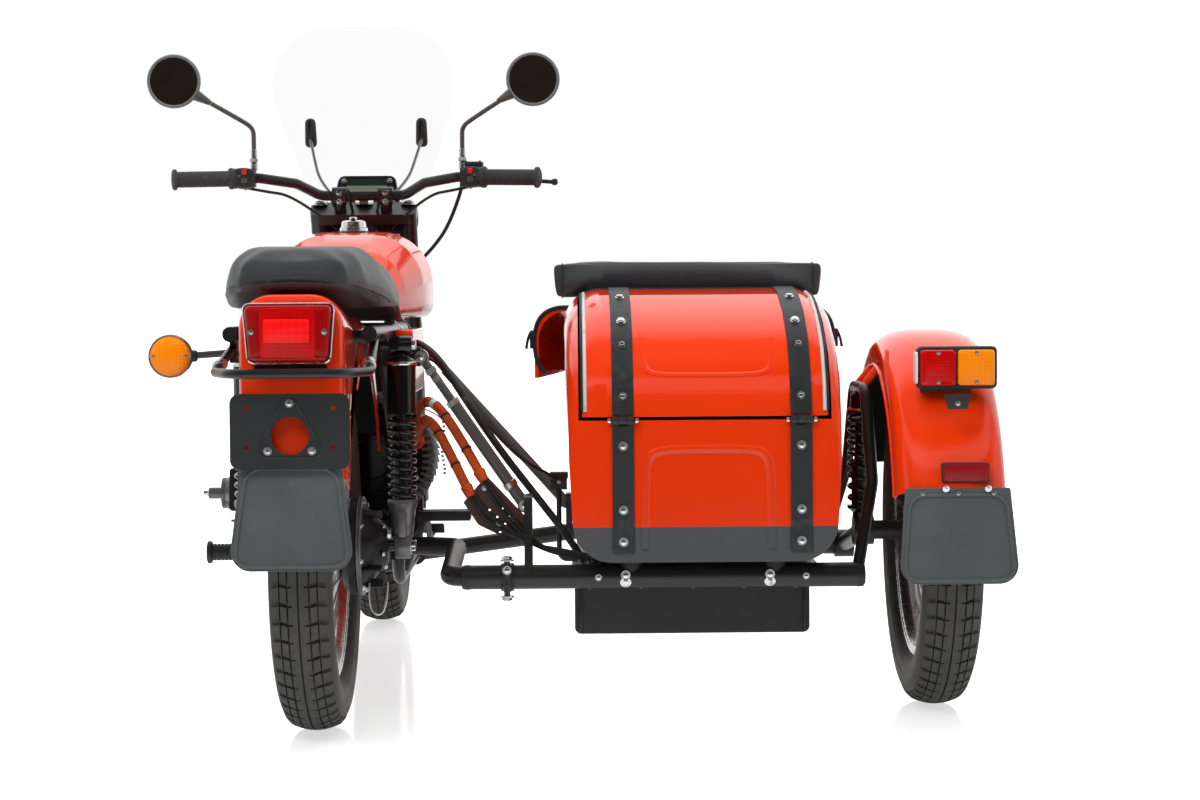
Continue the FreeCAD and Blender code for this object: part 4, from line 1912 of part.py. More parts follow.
def build():
    """Every piece by name, in the building frame."""
    parts = {}
    frame = make_bike_frame()
    parts["bike_frame"] = frame
    swing = make_swing_arm()
    parts["swing_arm"] = swing
    drive = make_final_drive(swing)
    parts["final_drive"] = drive
    parts["rear_shock_left"] = make_rear_shock(SHOCK_LEFT_X, frame, (swing, drive))
    parts["rear_shock_right"] = make_rear_shock(SHOCK_RIGHT_X, frame, (swing, drive))
    motor = make_drive_motor()
    parts["drive_motor"] = motor
    case = make_gear_case(motor, frame)
    parts["gear_case"] = case
    parts["drive_shaft"] = make_drive_shaft(case, swing, frame)
    parts["battery_pack"] = make_battery_pack(frame)
    tank = make_tank(frame)
    parts["tank"] = tank
    parts["tank_cap"] = make_tank_cap(tank)
    fender = make_rear_fender(frame)
    parts["rear_fender"] = fender
    panels = make_side_panels()
    parts["side_panels"] = panels
    parts["seat"] = make_seat()
    flap = make_rear_flap(fender)
    parts["rear_flap"] = flap
    parts["tail_lamp"] = make_tail_lamp(fender)
    parts["plate_bracket"] = make_plate_bracket(fender, flap)
    rail = make_grab_rail(frame)
    parts["grab_rail"] = rail
    parts["turn_signal"] = make_turn_signal(frame, rail)
    parts["foot_controls"] = make_foot_controls(frame)

    parts["rear_tyre"] = make_tyre(REAR_HUB)
    parts["rear_wheel"] = make_wheel(REAR_HUB)
    parts["front_tyre"] = make_tyre(FRONT_HUB)
    parts["front_wheel"] = make_wheel(FRONT_HUB)
    parts["sidecar_tyre"] = make_tyre(SIDECAR_HUB)
    parts["sidecar_wheel"] = make_wheel(SIDECAR_HUB)

    fork = make_fork()
    parts["fork"] = fork
    links = make_front_links()
    parts["front_links"] = links
    parts["front_dampers"] = make_front_dampers(links, fork)
    parts["front_fender"] = make_front_fender(fork)
    bar = make_handlebar(fork)
    parts["handlebar"] = bar
    controls = make_hand_controls(bar)
    parts["hand_controls"] = controls
    parts["mirrors"] = make_mirrors(bar, controls)
    lamp = make_headlamp()
    parts["headlamp"] = lamp
    parts["headlamp_ears"] = make_headlamp_ears(fork, lamp)
    parts["instrument_panel"] = make_instrument_panel(fork)
    screen = make_windscreen()
    parts["windscreen"] = screen
    parts["screen_stays"] = make_screen_stays(screen, bar)
    parts["bar_hose"] = make_bar_hose(fork, controls)

    sidecar = make_sidecar_frame(frame)
    parts["sidecar_frame"] = sidecar
    parts["sidecar_struts"] = make_sidecar_struts(frame, sidecar)
    arm = make_sidecar_swing_arm(sidecar)
    parts["sidecar_swing_arm"] = arm
    parts["sidecar_shock"] = make_sidecar_shock(sidecar, arm)
    outer = tub_hull(0)
    inner = tub_hull(-TUB_WALL)
    tub = make_sidecar_tub(outer, inner)
    parts["sidecar_tub"] = tub
    parts["trunk_lid"] = make_trunk_lid(outer, inner)
    skin = strap_skin(outer)
    straps = make_tub_straps(skin)
    parts["tub_straps"] = straps
    parts["lid_straps"] = make_lid_straps(skin)
    parts["tub_cowl"] = make_tub_cowl(outer)
    parts["tub_mounts"] = make_tub_mounts(sidecar)
    parts["underfloor_locker"] = make_locker()
    parts["seat_back"] = make_seat_back()
    parts["seat_cushion"] = make_seat_cushion()
    cover = make_sidecar_fender(sidecar)
    parts["sidecar_fender"] = cover
    parts["sidecar_flap"] = make_sidecar_flap(cover)
    parts["sidecar_lamp"] = make_sidecar_lamp(cover)
    parts["reflector"] = make_reflector(cover)
    sheet = make_harness_plate(sidecar)
    parts["harness_plate"] = sheet
    parts["conduits"] = make_conduits(motor, sheet)
    relay = make_relay_box(sidecar)
    parts["relay_box"] = relay
    parts["hoses"] = make_hoses(panels, sidecar, relay)
    return parts


def base_centre(parts):
    """The bottom centre of the box round every piece."""
    box = FreeCAD.BoundBox()
    for shape in parts.values():
        box.add(shape.optimalBoundingBox(False))
    return V((box.XMin + box.XMax) / 2, (box.YMin + box.YMax) / 2, box.ZMin)


def main():
    os.makedirs("parts", exist_ok=True)
    parts = build()
    origin = base_centre(parts)
    for name, shape in parts.items():
        moved = shape.copy()
        moved.translate(-origin)
        moved.exportStep(os.path.join("parts", name + ".step"))
    print("origin moved from", [round(value, 3) for value in origin])


if __name__ == "__main__":
    main()
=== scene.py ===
import math

import bmesh
import bpy
from mathutils import Matrix, Vector
from mathutils.bvhtree import BVHTree


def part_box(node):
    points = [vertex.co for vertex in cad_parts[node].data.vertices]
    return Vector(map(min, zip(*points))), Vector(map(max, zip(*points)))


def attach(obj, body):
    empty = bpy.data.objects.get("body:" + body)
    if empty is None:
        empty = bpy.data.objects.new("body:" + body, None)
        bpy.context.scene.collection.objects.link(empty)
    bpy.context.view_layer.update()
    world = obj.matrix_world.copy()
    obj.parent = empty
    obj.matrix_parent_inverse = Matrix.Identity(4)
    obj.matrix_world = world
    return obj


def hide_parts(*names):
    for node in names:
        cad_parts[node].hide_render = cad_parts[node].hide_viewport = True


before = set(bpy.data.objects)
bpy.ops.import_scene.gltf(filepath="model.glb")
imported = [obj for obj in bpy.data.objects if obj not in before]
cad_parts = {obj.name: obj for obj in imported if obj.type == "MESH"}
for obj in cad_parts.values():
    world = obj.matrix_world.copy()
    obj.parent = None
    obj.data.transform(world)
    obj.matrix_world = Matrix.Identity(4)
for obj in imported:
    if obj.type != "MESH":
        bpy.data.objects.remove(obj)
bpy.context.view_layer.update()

# Sidecar motorcycle. Places are written in the maker's millimetres, x to the sidecar and y
# forward from the middle of the rear axle, z up from the floor, and at() turns them into
# the frame's metres.

MM = 0.001
FULL_TURN = 2 * math.pi
RIGHT, LEFT = (1, 0, 0), (-1, 0, 0)
AHEAD, BACK = (0, 1, 0), (0, -1, 0)
UP, DOWN = (0, 0, 1), (0, 0, -1)
FAR_BEHIND = -700
AXLE_Z = 329
REAR_AXLE = (0, 0, AXLE_Z)
FRONT_AXLE = (0, 1500, AXLE_Z)
SIDECAR_AXLE = (1140, 225, AXLE_Z)
rear_low, rear_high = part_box("rear_tyre")
ORIGIN = Vector(((rear_low.x + rear_high.x) / 2, (rear_low.y + rear_high.y) / 2, 0))


def at(x, y, z):
    """A place in the frame's metres."""
    return ORIGIN + Vector((x, y, z)) * MM


# Node trees


class Link:
    """A node's socket that can be used in sums."""

    def __init__(self, tree, socket):
        self.tree = tree
        self.socket = socket

    def sum(self, operation, first, second):
        return self.tree.node("ShaderNodeMath", {"operation": operation}, {0: first, 1: second})

    def __add__(self, other):
        return self.sum("ADD", self, other)

    def __radd__(self, other):
        return self.sum("ADD", other, self)

    def __sub__(self, other):
        return self.sum("SUBTRACT", self, other)

    def __rsub__(self, other):
        return self.sum("SUBTRACT", other, self)

    def __mul__(self, other):
        return self.sum("MULTIPLY", self, other)

    def __rmul__(self, other):
        return self.sum("MULTIPLY", other, self)

    def __truediv__(self, other):
        return self.sum("DIVIDE", self, other)

    def __pow__(self, other):
        return self.sum("POWER", self, other)


class Tree:
    """What a material and a geometry tree share: one way to add any node."""

    def node(self, kind, settings=None, inputs=None, output=0):
        made = self.nodes.new(kind)
        for name, value in (settings or {}).items():
            setattr(made, name, value)
        for name, value in (inputs or {}).items():
            socket = made.inputs[name]
            if isinstance(value, Link):
                self.links.new(value.socket, socket)
            elif isinstance(value, (tuple, list)) and socket.type == "RGBA" and len(value) == 3:
                socket.default_value = (*value, 1)
            else:
                socket.default_value = value
        return Link(self, made.outputs[output])

    def maths(self, operation, *values):
        return self.node("ShaderNodeMath", {"operation": operation}, dict(enumerate(values)))

    def between(self, value, low, high):
        """0 below low and 1 above high, with a soft change."""
        settings = {"interpolation_type": "SMOOTHSTEP"}
        return self.node("ShaderNodeMapRange", settings, {0: value, 1: low, 2: high})


class Finish(Tree):
    """A material whose look is worked out at each point."""

    def __init__(self, name):
        self.material = bpy.data.materials.new(name)
        self.material.use_nodes = True
        self.nodes = self.material.node_tree.nodes
        self.links = self.material.node_tree.links
        self.shader = next(n for n in self.nodes if n.type == "BSDF_PRINCIPLED")
        self.place = self.node("ShaderNodeTexCoord", output="Object")
        self.axes = None

    def axis(self, index):
        """The point's place along x, y or z."""
        if self.axes is None:
            split = self.nodes.new("ShaderNodeSeparateXYZ")
            self.links.new(self.place.socket, split.inputs[0])
            self.axes = [Link(self, s) for s in split.outputs]
        return self.axes[index]

    def noise(self, scale, detail=2.0, rough=0.5, stretch=None):
        place = self.place
        if stretch:
            place = self.node("ShaderNodeMapping", None, {"Vector": place, "Scale": stretch})
        inputs = {"Vector": place, "Scale": scale, "Detail": detail, "Roughness": rough}
        return self.node("ShaderNodeTexNoise", None, inputs)

    def cells(self, scale, feature="F1"):
        inputs = {"Vector": self.place, "Scale": scale}
        return self.node("ShaderNodeTexVoronoi", {"feature": feature}, inputs, "Distance")

    def mixed(self, factor, first, second):
        return self.node("ShaderNodeMix", {"data_type": "RGBA"}, {0: factor, 6: first, 7: second}, 2)

    def bump(self, height, depth):
        return self.node("ShaderNodeBump", None, {"Height": height, "Distance": depth, "Strength": 1.0})

    def set(self, **values):
        """Feed the shader's sockets; words are joined as the sockets spell them."""
        for name, value in values.items():
            socket = self.shader.inputs[name.replace("_", " ").title().replace("Ior", "IOR")]
            if isinstance(value, Link):
                self.links.new(value.socket, socket)
            elif isinstance(value, tuple) and len(value) == 3:
                socket.default_value = (*value, 1)
            else:
                socket.default_value = value
        return self.material

    def worn_edges(self, low, high):
        """Where a form is convex, from the mesh's own pointiness."""
        return self.between(self.node("ShaderNodeNewGeometry", output="Pointiness"), low, high)


class Growth(Tree):
    """A geometry tree with named inputs; grow() turns it into a plain mesh."""

    def __init__(self, name):
        self.tree = bpy.data.node_groups.new(name, "GeometryNodeTree")
        self.nodes = self.tree.nodes
        self.links = self.tree.links
        self.tree.interface.new_socket("Shape", in_out="INPUT", socket_type="NodeSocketGeometry")
        self.tree.interface.new_socket("Shape", in_out="OUTPUT", socket_type="NodeSocketGeometry")
        self.entry = self.nodes.new("NodeGroupInput")
        self.shape = Link(self, self.entry.outputs["Shape"])

    def wanted(self, name, kind="Float"):
        self.tree.interface.new_socket(name, in_out="INPUT", socket_type="NodeSocket" + kind)
        return Link(self, self.entry.outputs[name])

    def attribute(self, name, kind):
        settings = {"data_type": kind}
        return self.node("GeometryNodeInputNamedAttribute", settings, {"Name": name})

    def xyz(self, x, y, z):
        return self.node("ShaderNodeCombineXYZ", None, {0: x, 1: y, 2: z})

    def close(self, shape):
        shape = self.node("GeometryNodeRealizeInstances", None, {0: shape})
        shape = self.node("GeometryNodeSetMaterial", None,
                          {0: shape, 2: self.wanted("Finish", "Material")})
        leaving = self.nodes.new("NodeGroupOutput")
        self.links.new(shape.socket, leaving.inputs[0])

    def grow(self, mesh, **inputs):
        holder = bpy.data.objects.new("growing", mesh)
        bpy.context.scene.collection.objects.link(holder)
        modifier = holder.modifiers.new("tree", "NODES")
        modifier.node_group = self.tree
        for item in self.tree.interface.items_tree:
            key = item.name.lower().replace(" ", "_")
            if item.in_out == "INPUT" and key in inputs:
                modifier[item.identifier] = inputs[key]
        depsgraph = bpy.context.evaluated_depsgraph_get()
        made = bpy.data.meshes.new_from_object(holder.evaluated_get(depsgraph), depsgraph=depsgraph)
        bpy.data.objects.remove(holder)
        return made


# Meshes

WELD = 1e-6
FLAT_DEGREES = 0.4
TUBE_SMOOTHNESS = 10
PATH_SMOOTHNESS = 16


def mesh_from(points, faces):
    mesh = bpy.data.meshes.new("shape")
    mesh.from_pydata([tuple(p) for p in points], [], faces)
    mesh.update()
    return mesh


def turned(profile, centre, axis="X", steps=96, closed=False):
    """Spin (along, radius) millimetre pairs about an axis through a place in metres."""
    ring = []
    rows = []
    for along, radius in profile:
        if radius <= 0:
            rows.append([len(ring)])
            ring.append((along, 0, 0))
            continue
        rows.append(range(len(ring), len(ring) + steps))
        for i in range(steps):
            angle = FULL_TURN * i / steps
            ring.append((along, radius * math.cos(angle), radius * math.sin(angle)))
    faces = []
    pairs = list(zip(rows, rows[1:]))
    if closed:
        pairs.append((rows[-1], rows[0]))
    for first, second in pairs:
        for i in range(steps):
            j = (i + 1) % steps
            corners = [first[i % len(first)], first[j % len(first)], second[j % len(second)],
                       second[i % len(second)]]
            face = list(dict.fromkeys(corners))
            if len(face) > 2:
                faces.append(face)
    order = {"X": (0, 1, 2), "Y": (1, 0, 2), "Z": (1, 2, 0)}[axis]
    points = [Vector([p[k] for k in order]) * MM + centre for p in ring]
    mesh = mesh_from(points, faces)
    outward(mesh)
    return mesh


def outward(mesh):
    """Make the faces of a closed shape point outwards."""
    work = bmesh.new()
    work.from_mesh(mesh)
    bmesh.ops.remove_doubles(work, verts=work.verts, dist=WELD)
    bmesh.ops.recalc_face_normals(work, faces=work.faces)
    work.to_mesh(mesh)
    work.free()


def joined(*meshes):
    """Several meshes as one, keeping which finish each face has."""
    whole = bpy.data.meshes.new("shape")
    work = bmesh.new()
    materials = []
    for mesh in meshes:
        start = len(work.faces)
        own = list(mesh.materials) or [None]
        work.from_mesh(mesh)
        work.faces.ensure_lookup_table()
        for face in work.faces[start:]:
            material = own[min(face.material_index, len(own) - 1)]
            if material not in materials:
                materials.append(material)
            face.material_index = materials.index(material)
    work.to_mesh(whole)
    work.free()
    for material in materials:
        whole.materials.append(material)
    return whole


def finished_in(mesh, material):
    mesh.materials.clear()
    mesh.materials.append(material)
    return mesh


def smooth_line(places, smoothness, order=3):
    """A curve along millimetre places."""
    line = bpy.data.curves.new("line", "CURVE")
    line.dimensions = "3D"
    line.resolution_u = smoothness
    spline = line.splines.new("NURBS")
    spline.points.add(len(places) - 1)
    for point, place in zip(spline.points, places):
        point.co = (*at(*place), 1)
    spline.order_u = order
    spline.use_endpoint_u = True
    return line


def line_mesh(line):
    holder = bpy.data.objects.new("line", line)
    made = bpy.data.meshes.new_from_object(holder)
    bpy.data.objects.remove(holder)
    return made


def path_mesh(places):
    """A line of edges along millimetre places."""
    return line_mesh(smooth_line(places, PATH_SMOOTHNESS))


def tube(places, radius, steps=12, order=3):
    """A round bar along a smooth line of millimetre places."""
    line = smooth_line(places, TUBE_SMOOTHNESS, order)
    line.bevel_depth = radius * MM
    line.bevel_resolution = max(1, steps // 4)
    line.use_fill_caps = True
    made = line_mesh(line)
    outward(made)
    return made


def rod(start, end, radius, steps=24, chamfer=0.8, end_radius=None):
    """A straight round bar between two millimetre places, with eased ends."""
    first = Vector(start)
    last = Vector(end)
    axis = last - first
    end_radius = radius if end_radius is None else end_radius
    length = axis.length
    ease = min(chamfer, radius / 3, length / 4)
    profile = [(0, 0), (0, radius - ease), (ease, radius), (length - ease, end_radius),
               (length, end_radius - ease), (length, 0)]
    mesh = turned(profile, Vector(), "X", steps)
    turn = Vector(RIGHT).rotation_difference(axis.normalized()).to_matrix().to_4x4()
    mesh.transform(Matrix.Translation(at(*first)) @ turn)
    return mesh


def slab(outline, origin, across, up, depth, ease=1.5):
    """A flat outline of millimetre pairs, thickened along the third direction, edges eased."""
    across = Vector(across).normalized()
    up = Vector(up).normalized()
    ahead = across.cross(up)
    base = Vector(origin)
    work = bmesh.new()
    low = [work.verts.new(at(*(base + across * u + up * v))) for u, v in outline]
    face = work.faces.new(low)
    top = bmesh.ops.extrude_face_region(work, geom=[face])["geom"]
    moved = [g for g in top if isinstance(g, bmesh.types.BMVert)]
    bmesh.ops.translate(work, verts=moved, vec=ahead * depth * MM)
    bmesh.ops.recalc_face_normals(work, faces=work.faces)
    if ease:
        bmesh.ops.bevel(work, geom=list(work.edges), offset=ease * MM, segments=2, profile=0.6,
                        affect="EDGES", clamp_overlap=True)
    mesh = bpy.data.meshes.new("shape")
    work.to_mesh(mesh)
    work.free()
    return mesh


def box(x0, x1, y0, y1, z0, z1, ease=2.0):
    outline = [(0, 0), (x1 - x0, 0), (x1 - x0, z1 - z0), (0, z1 - z0)]
    return slab(outline, (x0, y1, z0), RIGHT, UP, y1 - y0, ease)


def rounded(half_w, half_h, corner, top_half=None, steps=5, centre=(0, 0)):
    """Points round a box or trapezoid with round corners."""
    top_half = half_w if top_half is None else top_half
    corners = [(half_w, -half_h), (top_half, half_h), (-top_half, half_h), (-half_w, -half_h)]
    points = []
    for i, corner_at in enumerate(corners):
        here = Vector(corner_at)
        back = (Vector(corners[i - 1]) - here).normalized() * corner
        ahead = (Vector(corners[(i + 1) % 4]) - here).normalized() * corner
        for k in range(steps + 1):
            t = k / steps
            p = here + back * (1 - t) ** 2 + ahead * t ** 2
            points.append((p.x + centre[0], p.y + centre[1]))
    return points


def show(name, mesh, material=None, body="chassis", slot=None, replaces=(), crease=35, ease=0.0):
    """Make a mesh one of the model's pieces on its body; its finish's usual slot is looked up if none
    is named, but not given to it.
    """
    if material:
        finished_in(mesh, material)
    mesh.shade_smooth()
    mesh.set_sharp_from_angle(angle=math.radians(crease))
    piece = bpy.data.objects.new(name, mesh)
    bpy.context.scene.collection.objects.link(piece)
    if ease:
        bevel = piece.modifiers.new("ease", "BEVEL")
        bevel.width = ease * MM
        bevel.segments = 2
        bevel.limit_method = "ANGLE"
        bevel.angle_limit = math.radians(crease)
        bevel.harden_normals = True
    slot = slot or SLOT_OF[material.name]
    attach(piece, body)
    if replaces:
        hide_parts(*replaces)
    return piece


def merged_copy(node):
    """A CAD node's mesh with its loose triangles joined."""
    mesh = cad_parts[node].data.copy()
    work = bmesh.new()
    work.from_mesh(mesh)
    bmesh.ops.remove_doubles(work, verts=work.verts, dist=2 * WELD)
    bmesh.ops.dissolve_limit(work, angle_limit=math.radians(FLAT_DEGREES), verts=work.verts,
                             edges=work.edges)
    work.to_mesh(mesh)
    work.free()
    mesh.materials.clear()
    return mesh


def dressed(node, material, body="chassis", slot=None, crease=32, ease=0.0):
    """A CAD node's own shape with soft shading across its curves."""
    return show(node + "_dressed", merged_copy(node), material, body, slot, (node,), crease, ease)


# Finishes


def gloss_orange(name, coating_top=None, inner_middle=None, hub=None, hollow=None):
    """Deep orange enamel under clear coat, with a faint ripple and road dust low down; near black,
    rough and uncoated on inner sides that face a given middle.
    """
    f = Finish(name)
    tone = f.noise(2.6, 3.0)
    ripple = f.noise(240, 2.0)
    speck = f.between(f.noise(900, 1.0), 0.66, 0.72)
    colour = f.mixed(tone, (0.84, 0.042, 0.0015), (0.77, 0.034, 0.0013))
    colour = f.mixed(speck * 0.08, colour, (0.90, 0.12, 0.02))
    dust = f.between(f.axis(2) * -1 + f.noise(9, 4.0) * 0.25, -0.36, -0.02) * 0.06
    colour = f.mixed(dust, colour, (0.42, 0.26, 0.18))
    rough = 0.17 + f.noise(14, 3.0) * 0.06 + dust * 1.2
    coat = 1.0 - dust
    height = ripple
    if coating_top:
        grain = f.noise(620, 3.0)
        line = f.between(f.axis(2), coating_top, coating_top + 0.0025)
        colour = f.mixed(line, f.mixed(grain, (0.056, 0.060, 0.062), (0.104, 0.110, 0.114)), colour)
        rough = 0.62 - line * (0.62 - rough)
        coat = coat * line
        height = height * line + (1 - line) * grain * 0.12
    if hub:
        # Near black, rough and uncoated on the inner side that faces the hub.
        inside = facing(f, hub, (1, 2))
        inner_noise = f.noise(700, 4.0)
        colour = f.mixed(inside, colour, f.mixed(inner_noise, (0.008, 0.008, 0.009), (0.022, 0.021, 0.020)))
        rough = rough + inside * (0.8 - rough)
        coat = coat * (1 - inside)
    if inner_middle:
        # Near black, rough and uncoated on inner sides that face the middle, and everywhere inside the
        # hollow box.
        inside = facing(f, inner_middle, (0, 1, 2))
        if hollow:
            within = 1.0
            for index, (near, far) in enumerate(hollow):
                within = f.between(f.axis(index), near, near + 0.001) * within
                within = (1 - f.between(f.axis(index), far - 0.001, far)) * within
            inside = f.maths("MAXIMUM", inside, within)
        pile = f.noise(1400, 2.0)
        colour = f.mixed(inside, colour, f.mixed(pile, (0.012, 0.012, 0.013), (0.035, 0.035, 0.037)))
        rough = rough + inside * (0.95 - rough)
        coat = coat * (1 - inside)
        height = height + inside * pile * 0.2
    return f.set(base_color=colour, roughness=rough, coat_weight=coat * 0.7, coat_roughness=0.03,
                 specular_ior_level=0.16, normal=f.bump(height, 0.00012))


def facing(f, middle, axes):
    """1 where a skin looks towards a middle place: the inner side of a hollow form."""
    skin = f.nodes.new("ShaderNodeNewGeometry")
    turned = f.nodes.new("ShaderNodeSeparateXYZ")
    f.links.new(skin.outputs["True Normal"], turned.inputs[0])
    away = 0.0
    for index in axes:
        away = Link(f, turned.outputs[index]) * (f.axis(index) - middle[index]) + away
    return f.between(away * -1, 0.02, 0.05)


def black_coat(name, base=(0.008, 0.0085, 0.009), rough=0.26, grain=900, depth=0.00012, edge=0.14):
    """Baked black enamel or powder with a fine grain, paler where edges are rubbed."""
    f = Finish(name)
    fine = f.noise(grain, 2.0)
    cloud = f.noise(12, 4.0)
    pale = tuple(min(1.0, c * 1.7 + 0.003) for c in base)
    colour = f.mixed(cloud * 0.6, base, pale)
    rubbed = f.worn_edges(0.53, 0.62) * f.between(f.noise(60, 4.0), 0.42, 0.62) * edge
    colour = f.mixed(rubbed, colour, (0.22, 0.22, 0.22))
    dust = f.between(f.axis(2) * -1 + f.noise(11, 4.0) * 0.3, -0.34, 0.05) * 0.20
    colour = f.mixed(dust * 0.22, colour, (0.20, 0.17, 0.14))
    return f.set(base_color=colour, roughness=rough + cloud * 0.10 + dust * 0.4 - rubbed * 0.3,
                 normal=f.bump(fine, depth))


def bright_metal(name, base=(0.82, 0.82, 0.83), rough=0.12, smear=0.10, grain=None):
    """Chrome, zinc or polished alloy with faint smears and fine scratches."""
    f = Finish(name)
    cloud = f.noise(38, 4.0)
    scratch = f.noise(260, 2.0, stretch=grain or (1, 1, 14))
    colour = f.mixed(cloud * 0.5, base, tuple(c * 0.72 for c in base))
    grime = f.between(f.noise(75, 4.0), 0.56, 0.72) * 0.5
    colour = f.mixed(grime, colour, (0.16, 0.14, 0.12))
    return f.set(base_color=colour, metallic=1.0 - grime * 0.6,
                 roughness=rough + cloud * smear + grime * 0.4, normal=f.bump(scratch, 0.00006))


def cast_metal(name, base, rough=0.5, metallic=0.85, depth=0.0004):
    """Sand-cast alloy: pitted skin, darker patches, oily dust."""
    f = Finish(name)
    pits = f.noise(420, 5.0, 0.62)
    cloud = f.noise(20, 5.0)
    colour = f.mixed(cloud, base, tuple(c * 0.55 for c in base))
    grime = f.between(f.noise(42, 5.0), 0.48, 0.70)
    colour = f.mixed(grime * 0.55, colour, (0.035, 0.03, 0.026))
    return f.set(base_color=colour, metallic=metallic - grime * 0.5, roughness=rough + grime * 0.25,
                 normal=f.bump(pits, depth))


def tread_rubber():
    """Tyre rubber where it meets the road: grey, with browner dusty patches."""
    f = Finish("tread_rubber")
    fine = f.noise(700, 3.0)
    cloud = f.noise(24, 4.0)
    colour = f.mixed(cloud, (0.043, 0.044, 0.042), (0.092, 0.093, 0.087))
    dust = f.between(f.noise(60, 5.0), 0.45, 0.75) * 0.5
    colour = f.mixed(dust, colour, (0.105, 0.098, 0.086))
    return f.set(base_color=colour, roughness=0.72 + cloud * 0.18, normal=f.bump(fine, 0.00035))


def wall_rubber():
    """Tyre walls: fine moulded rings and a browner, smoother skin."""
    f = Finish("wall_rubber")
    cloud = f.noise(16, 4.0)
    fine = f.noise(900, 2.0)
    colour = f.mixed(cloud, (0.022, 0.021, 0.020), (0.060, 0.054, 0.047))
    return f.set(base_color=colour, roughness=0.50 + cloud * 0.2, normal=f.bump(fine, 0.0002))


def soft_rubber(name, base=(0.040, 0.045, 0.048), rough=0.55, grain=520, depth=0.00035):
    f = Finish(name)
    fine = f.noise(grain, 3.0)
    cloud = f.noise(9, 4.0)
    colour = f.mixed(cloud, base, tuple(c * 1.7 for c in base))
    scuff = f.between(f.noise(45, 5.0), 0.58, 0.74) * 0.35
    colour = f.mixed(scuff, colour, (0.13, 0.13, 0.125))
    return f.set(base_color=colour, roughness=rough + cloud * 0.12 + scuff * 0.2,
                 normal=f.bump(fine, depth))


def grained_vinyl():
    """Black seat vinyl: pebbled grain, a soft sheen and paler stretched places."""
    f = Finish("grained_vinyl")
    pebble = f.cells(620, "SMOOTH_F1")
    fine = f.noise(1500, 2.0)
    cloud = f.noise(7, 4.0)
    colour = f.mixed(cloud, (0.036, 0.040, 0.042), (0.058, 0.062, 0.065))
    colour = f.mixed(f.between(pebble, 0.15, 0.6) * 0.5, colour, (0.012, 0.012, 0.013))
    return f.set(base_color=colour, roughness=0.38 + cloud * 0.10 + pebble * 0.08,
                 normal=f.bump(pebble * -1 + fine * 0.3, 0.0004))


def hook_pile():
    """The fuzzy strip that a cover fastens to."""
    f = Finish("hook_pile")
    loops = f.noise(1900, 4.0, 0.7)
    clumps = f.cells(300)
    colour = f.mixed(f.between(loops, 0.35, 0.7), (0.006, 0.006, 0.008), (0.040, 0.040, 0.046))
    return f.set(base_color=colour, roughness=0.95, sheen_weight=0.4,
                 normal=f.bump(loops + clumps * 0.5, 0.0012))


def lens(name, deep, bright, pitch, painted_glow=0.06, ribs=False):
    """A moulded lens: small square prisms or upright ribs behind a smooth face; each prism's colour
    brightens and darkens across it as a painted highlight and shade on its facets, and the lens gives
    off a faint painted glow.
    """
    f = Finish(name)
    across = f.maths("PINGPONG", f.axis(0), pitch)
    up = across if ribs else f.maths("PINGPONG", f.axis(2), pitch)
    prism = (across + up) / (2 * pitch)
    cloud = f.noise(22, 3.0)
    # The colour rises and falls across each prism: a painted highlight and shade on its facets.
    colour = f.mixed(prism * 0.55 + cloud * 0.45, deep, bright)
    # The emission is a faint painted glow in the lens's own colour.
    return f.set(base_color=colour, roughness=0.12 + prism * 0.05, coat_weight=0.35 - cloud * 0.05,
                 coat_roughness=0.03, specular_ior_level=0.15, emission_color=colour,
                 emission_strength=painted_glow, normal=f.bump(prism, 0.0004))


def clear_shield():
    """Clear sheet: almost nothing face on, pale where it is seen edge on, a painted reflection."""
    f = Finish("clear_shield")
    edge = f.node("ShaderNodeLayerWeight", None, {"Blend": 0.35}, output="Facing")
    smear = f.noise(7, 4.0)
    # Seen edge on, more of the pale grey shows: a painted reflection.
    f.set(base_color=f.mixed(smear, (0.50, 0.55, 0.57), (0.60, 0.65, 0.67)),
          roughness=0.02 + smear * 0.03, alpha=0.02 + edge ** 3 * 0.45 + smear * 0.02,
          specular_ior_level=0.3)
    return f.material


def clear_glass(name, tint=(0.9, 0.93, 0.95), alpha=0.25):
    f = Finish(name)
    edge = f.node("ShaderNodeLayerWeight", None, {"Blend": 0.3}, output="Facing")
    smear = f.noise(20, 3.0)
    # A quarter of the pale tint shows face on and more edge on: a painted reflection on the glass.
    return f.set(base_color=f.mixed(smear, tint, tuple(c * 0.9 for c in tint)),
                 roughness=0.02 + smear * 0.04, alpha=alpha + edge * 0.5)


def mirror_glass():
    f = Finish("mirror_glass")
    smear = f.noise(30, 4.0)
    # A dim brown metal: the darker, browner view in the glass is a painted reflection in its colour.
    return f.set(base_color=f.mixed(smear, (0.40, 0.31, 0.23), (0.25, 0.19, 0.14)), metallic=1.0,
                 roughness=0.02 + smear * 0.05)


def moulded(name, base=(0.022, 0.023, 0.024), rough=0.42, grain=700, depth=0.00022):
    """Moulded plastic with a fine spark grain."""
    f = Finish(name)
    fine = f.cells(grain)
    cloud = f.noise(18, 3.0)
    colour = f.mixed(cloud, base, tuple(min(1, c * 1.8 + 0.004) for c in base))
    worn = f.worn_edges(0.53, 0.60) * 0.25
    colour = f.mixed(worn, colour, tuple(min(1, c * 4 + 0.03) for c in base))
    return f.set(base_color=colour, roughness=rough + cloud * 0.12, normal=f.bump(fine, depth))


def coloured_plastic(name, base, rough=0.35):
    f = Finish(name)
    cloud = f.noise(55, 3.0)
    fine = f.noise(800, 2.0)
    colour = f.mixed(cloud, base, tuple(c * 0.62 for c in base))
    return f.set(base_color=colour, roughness=rough + cloud * 0.15, normal=f.bump(fine, 0.0001))


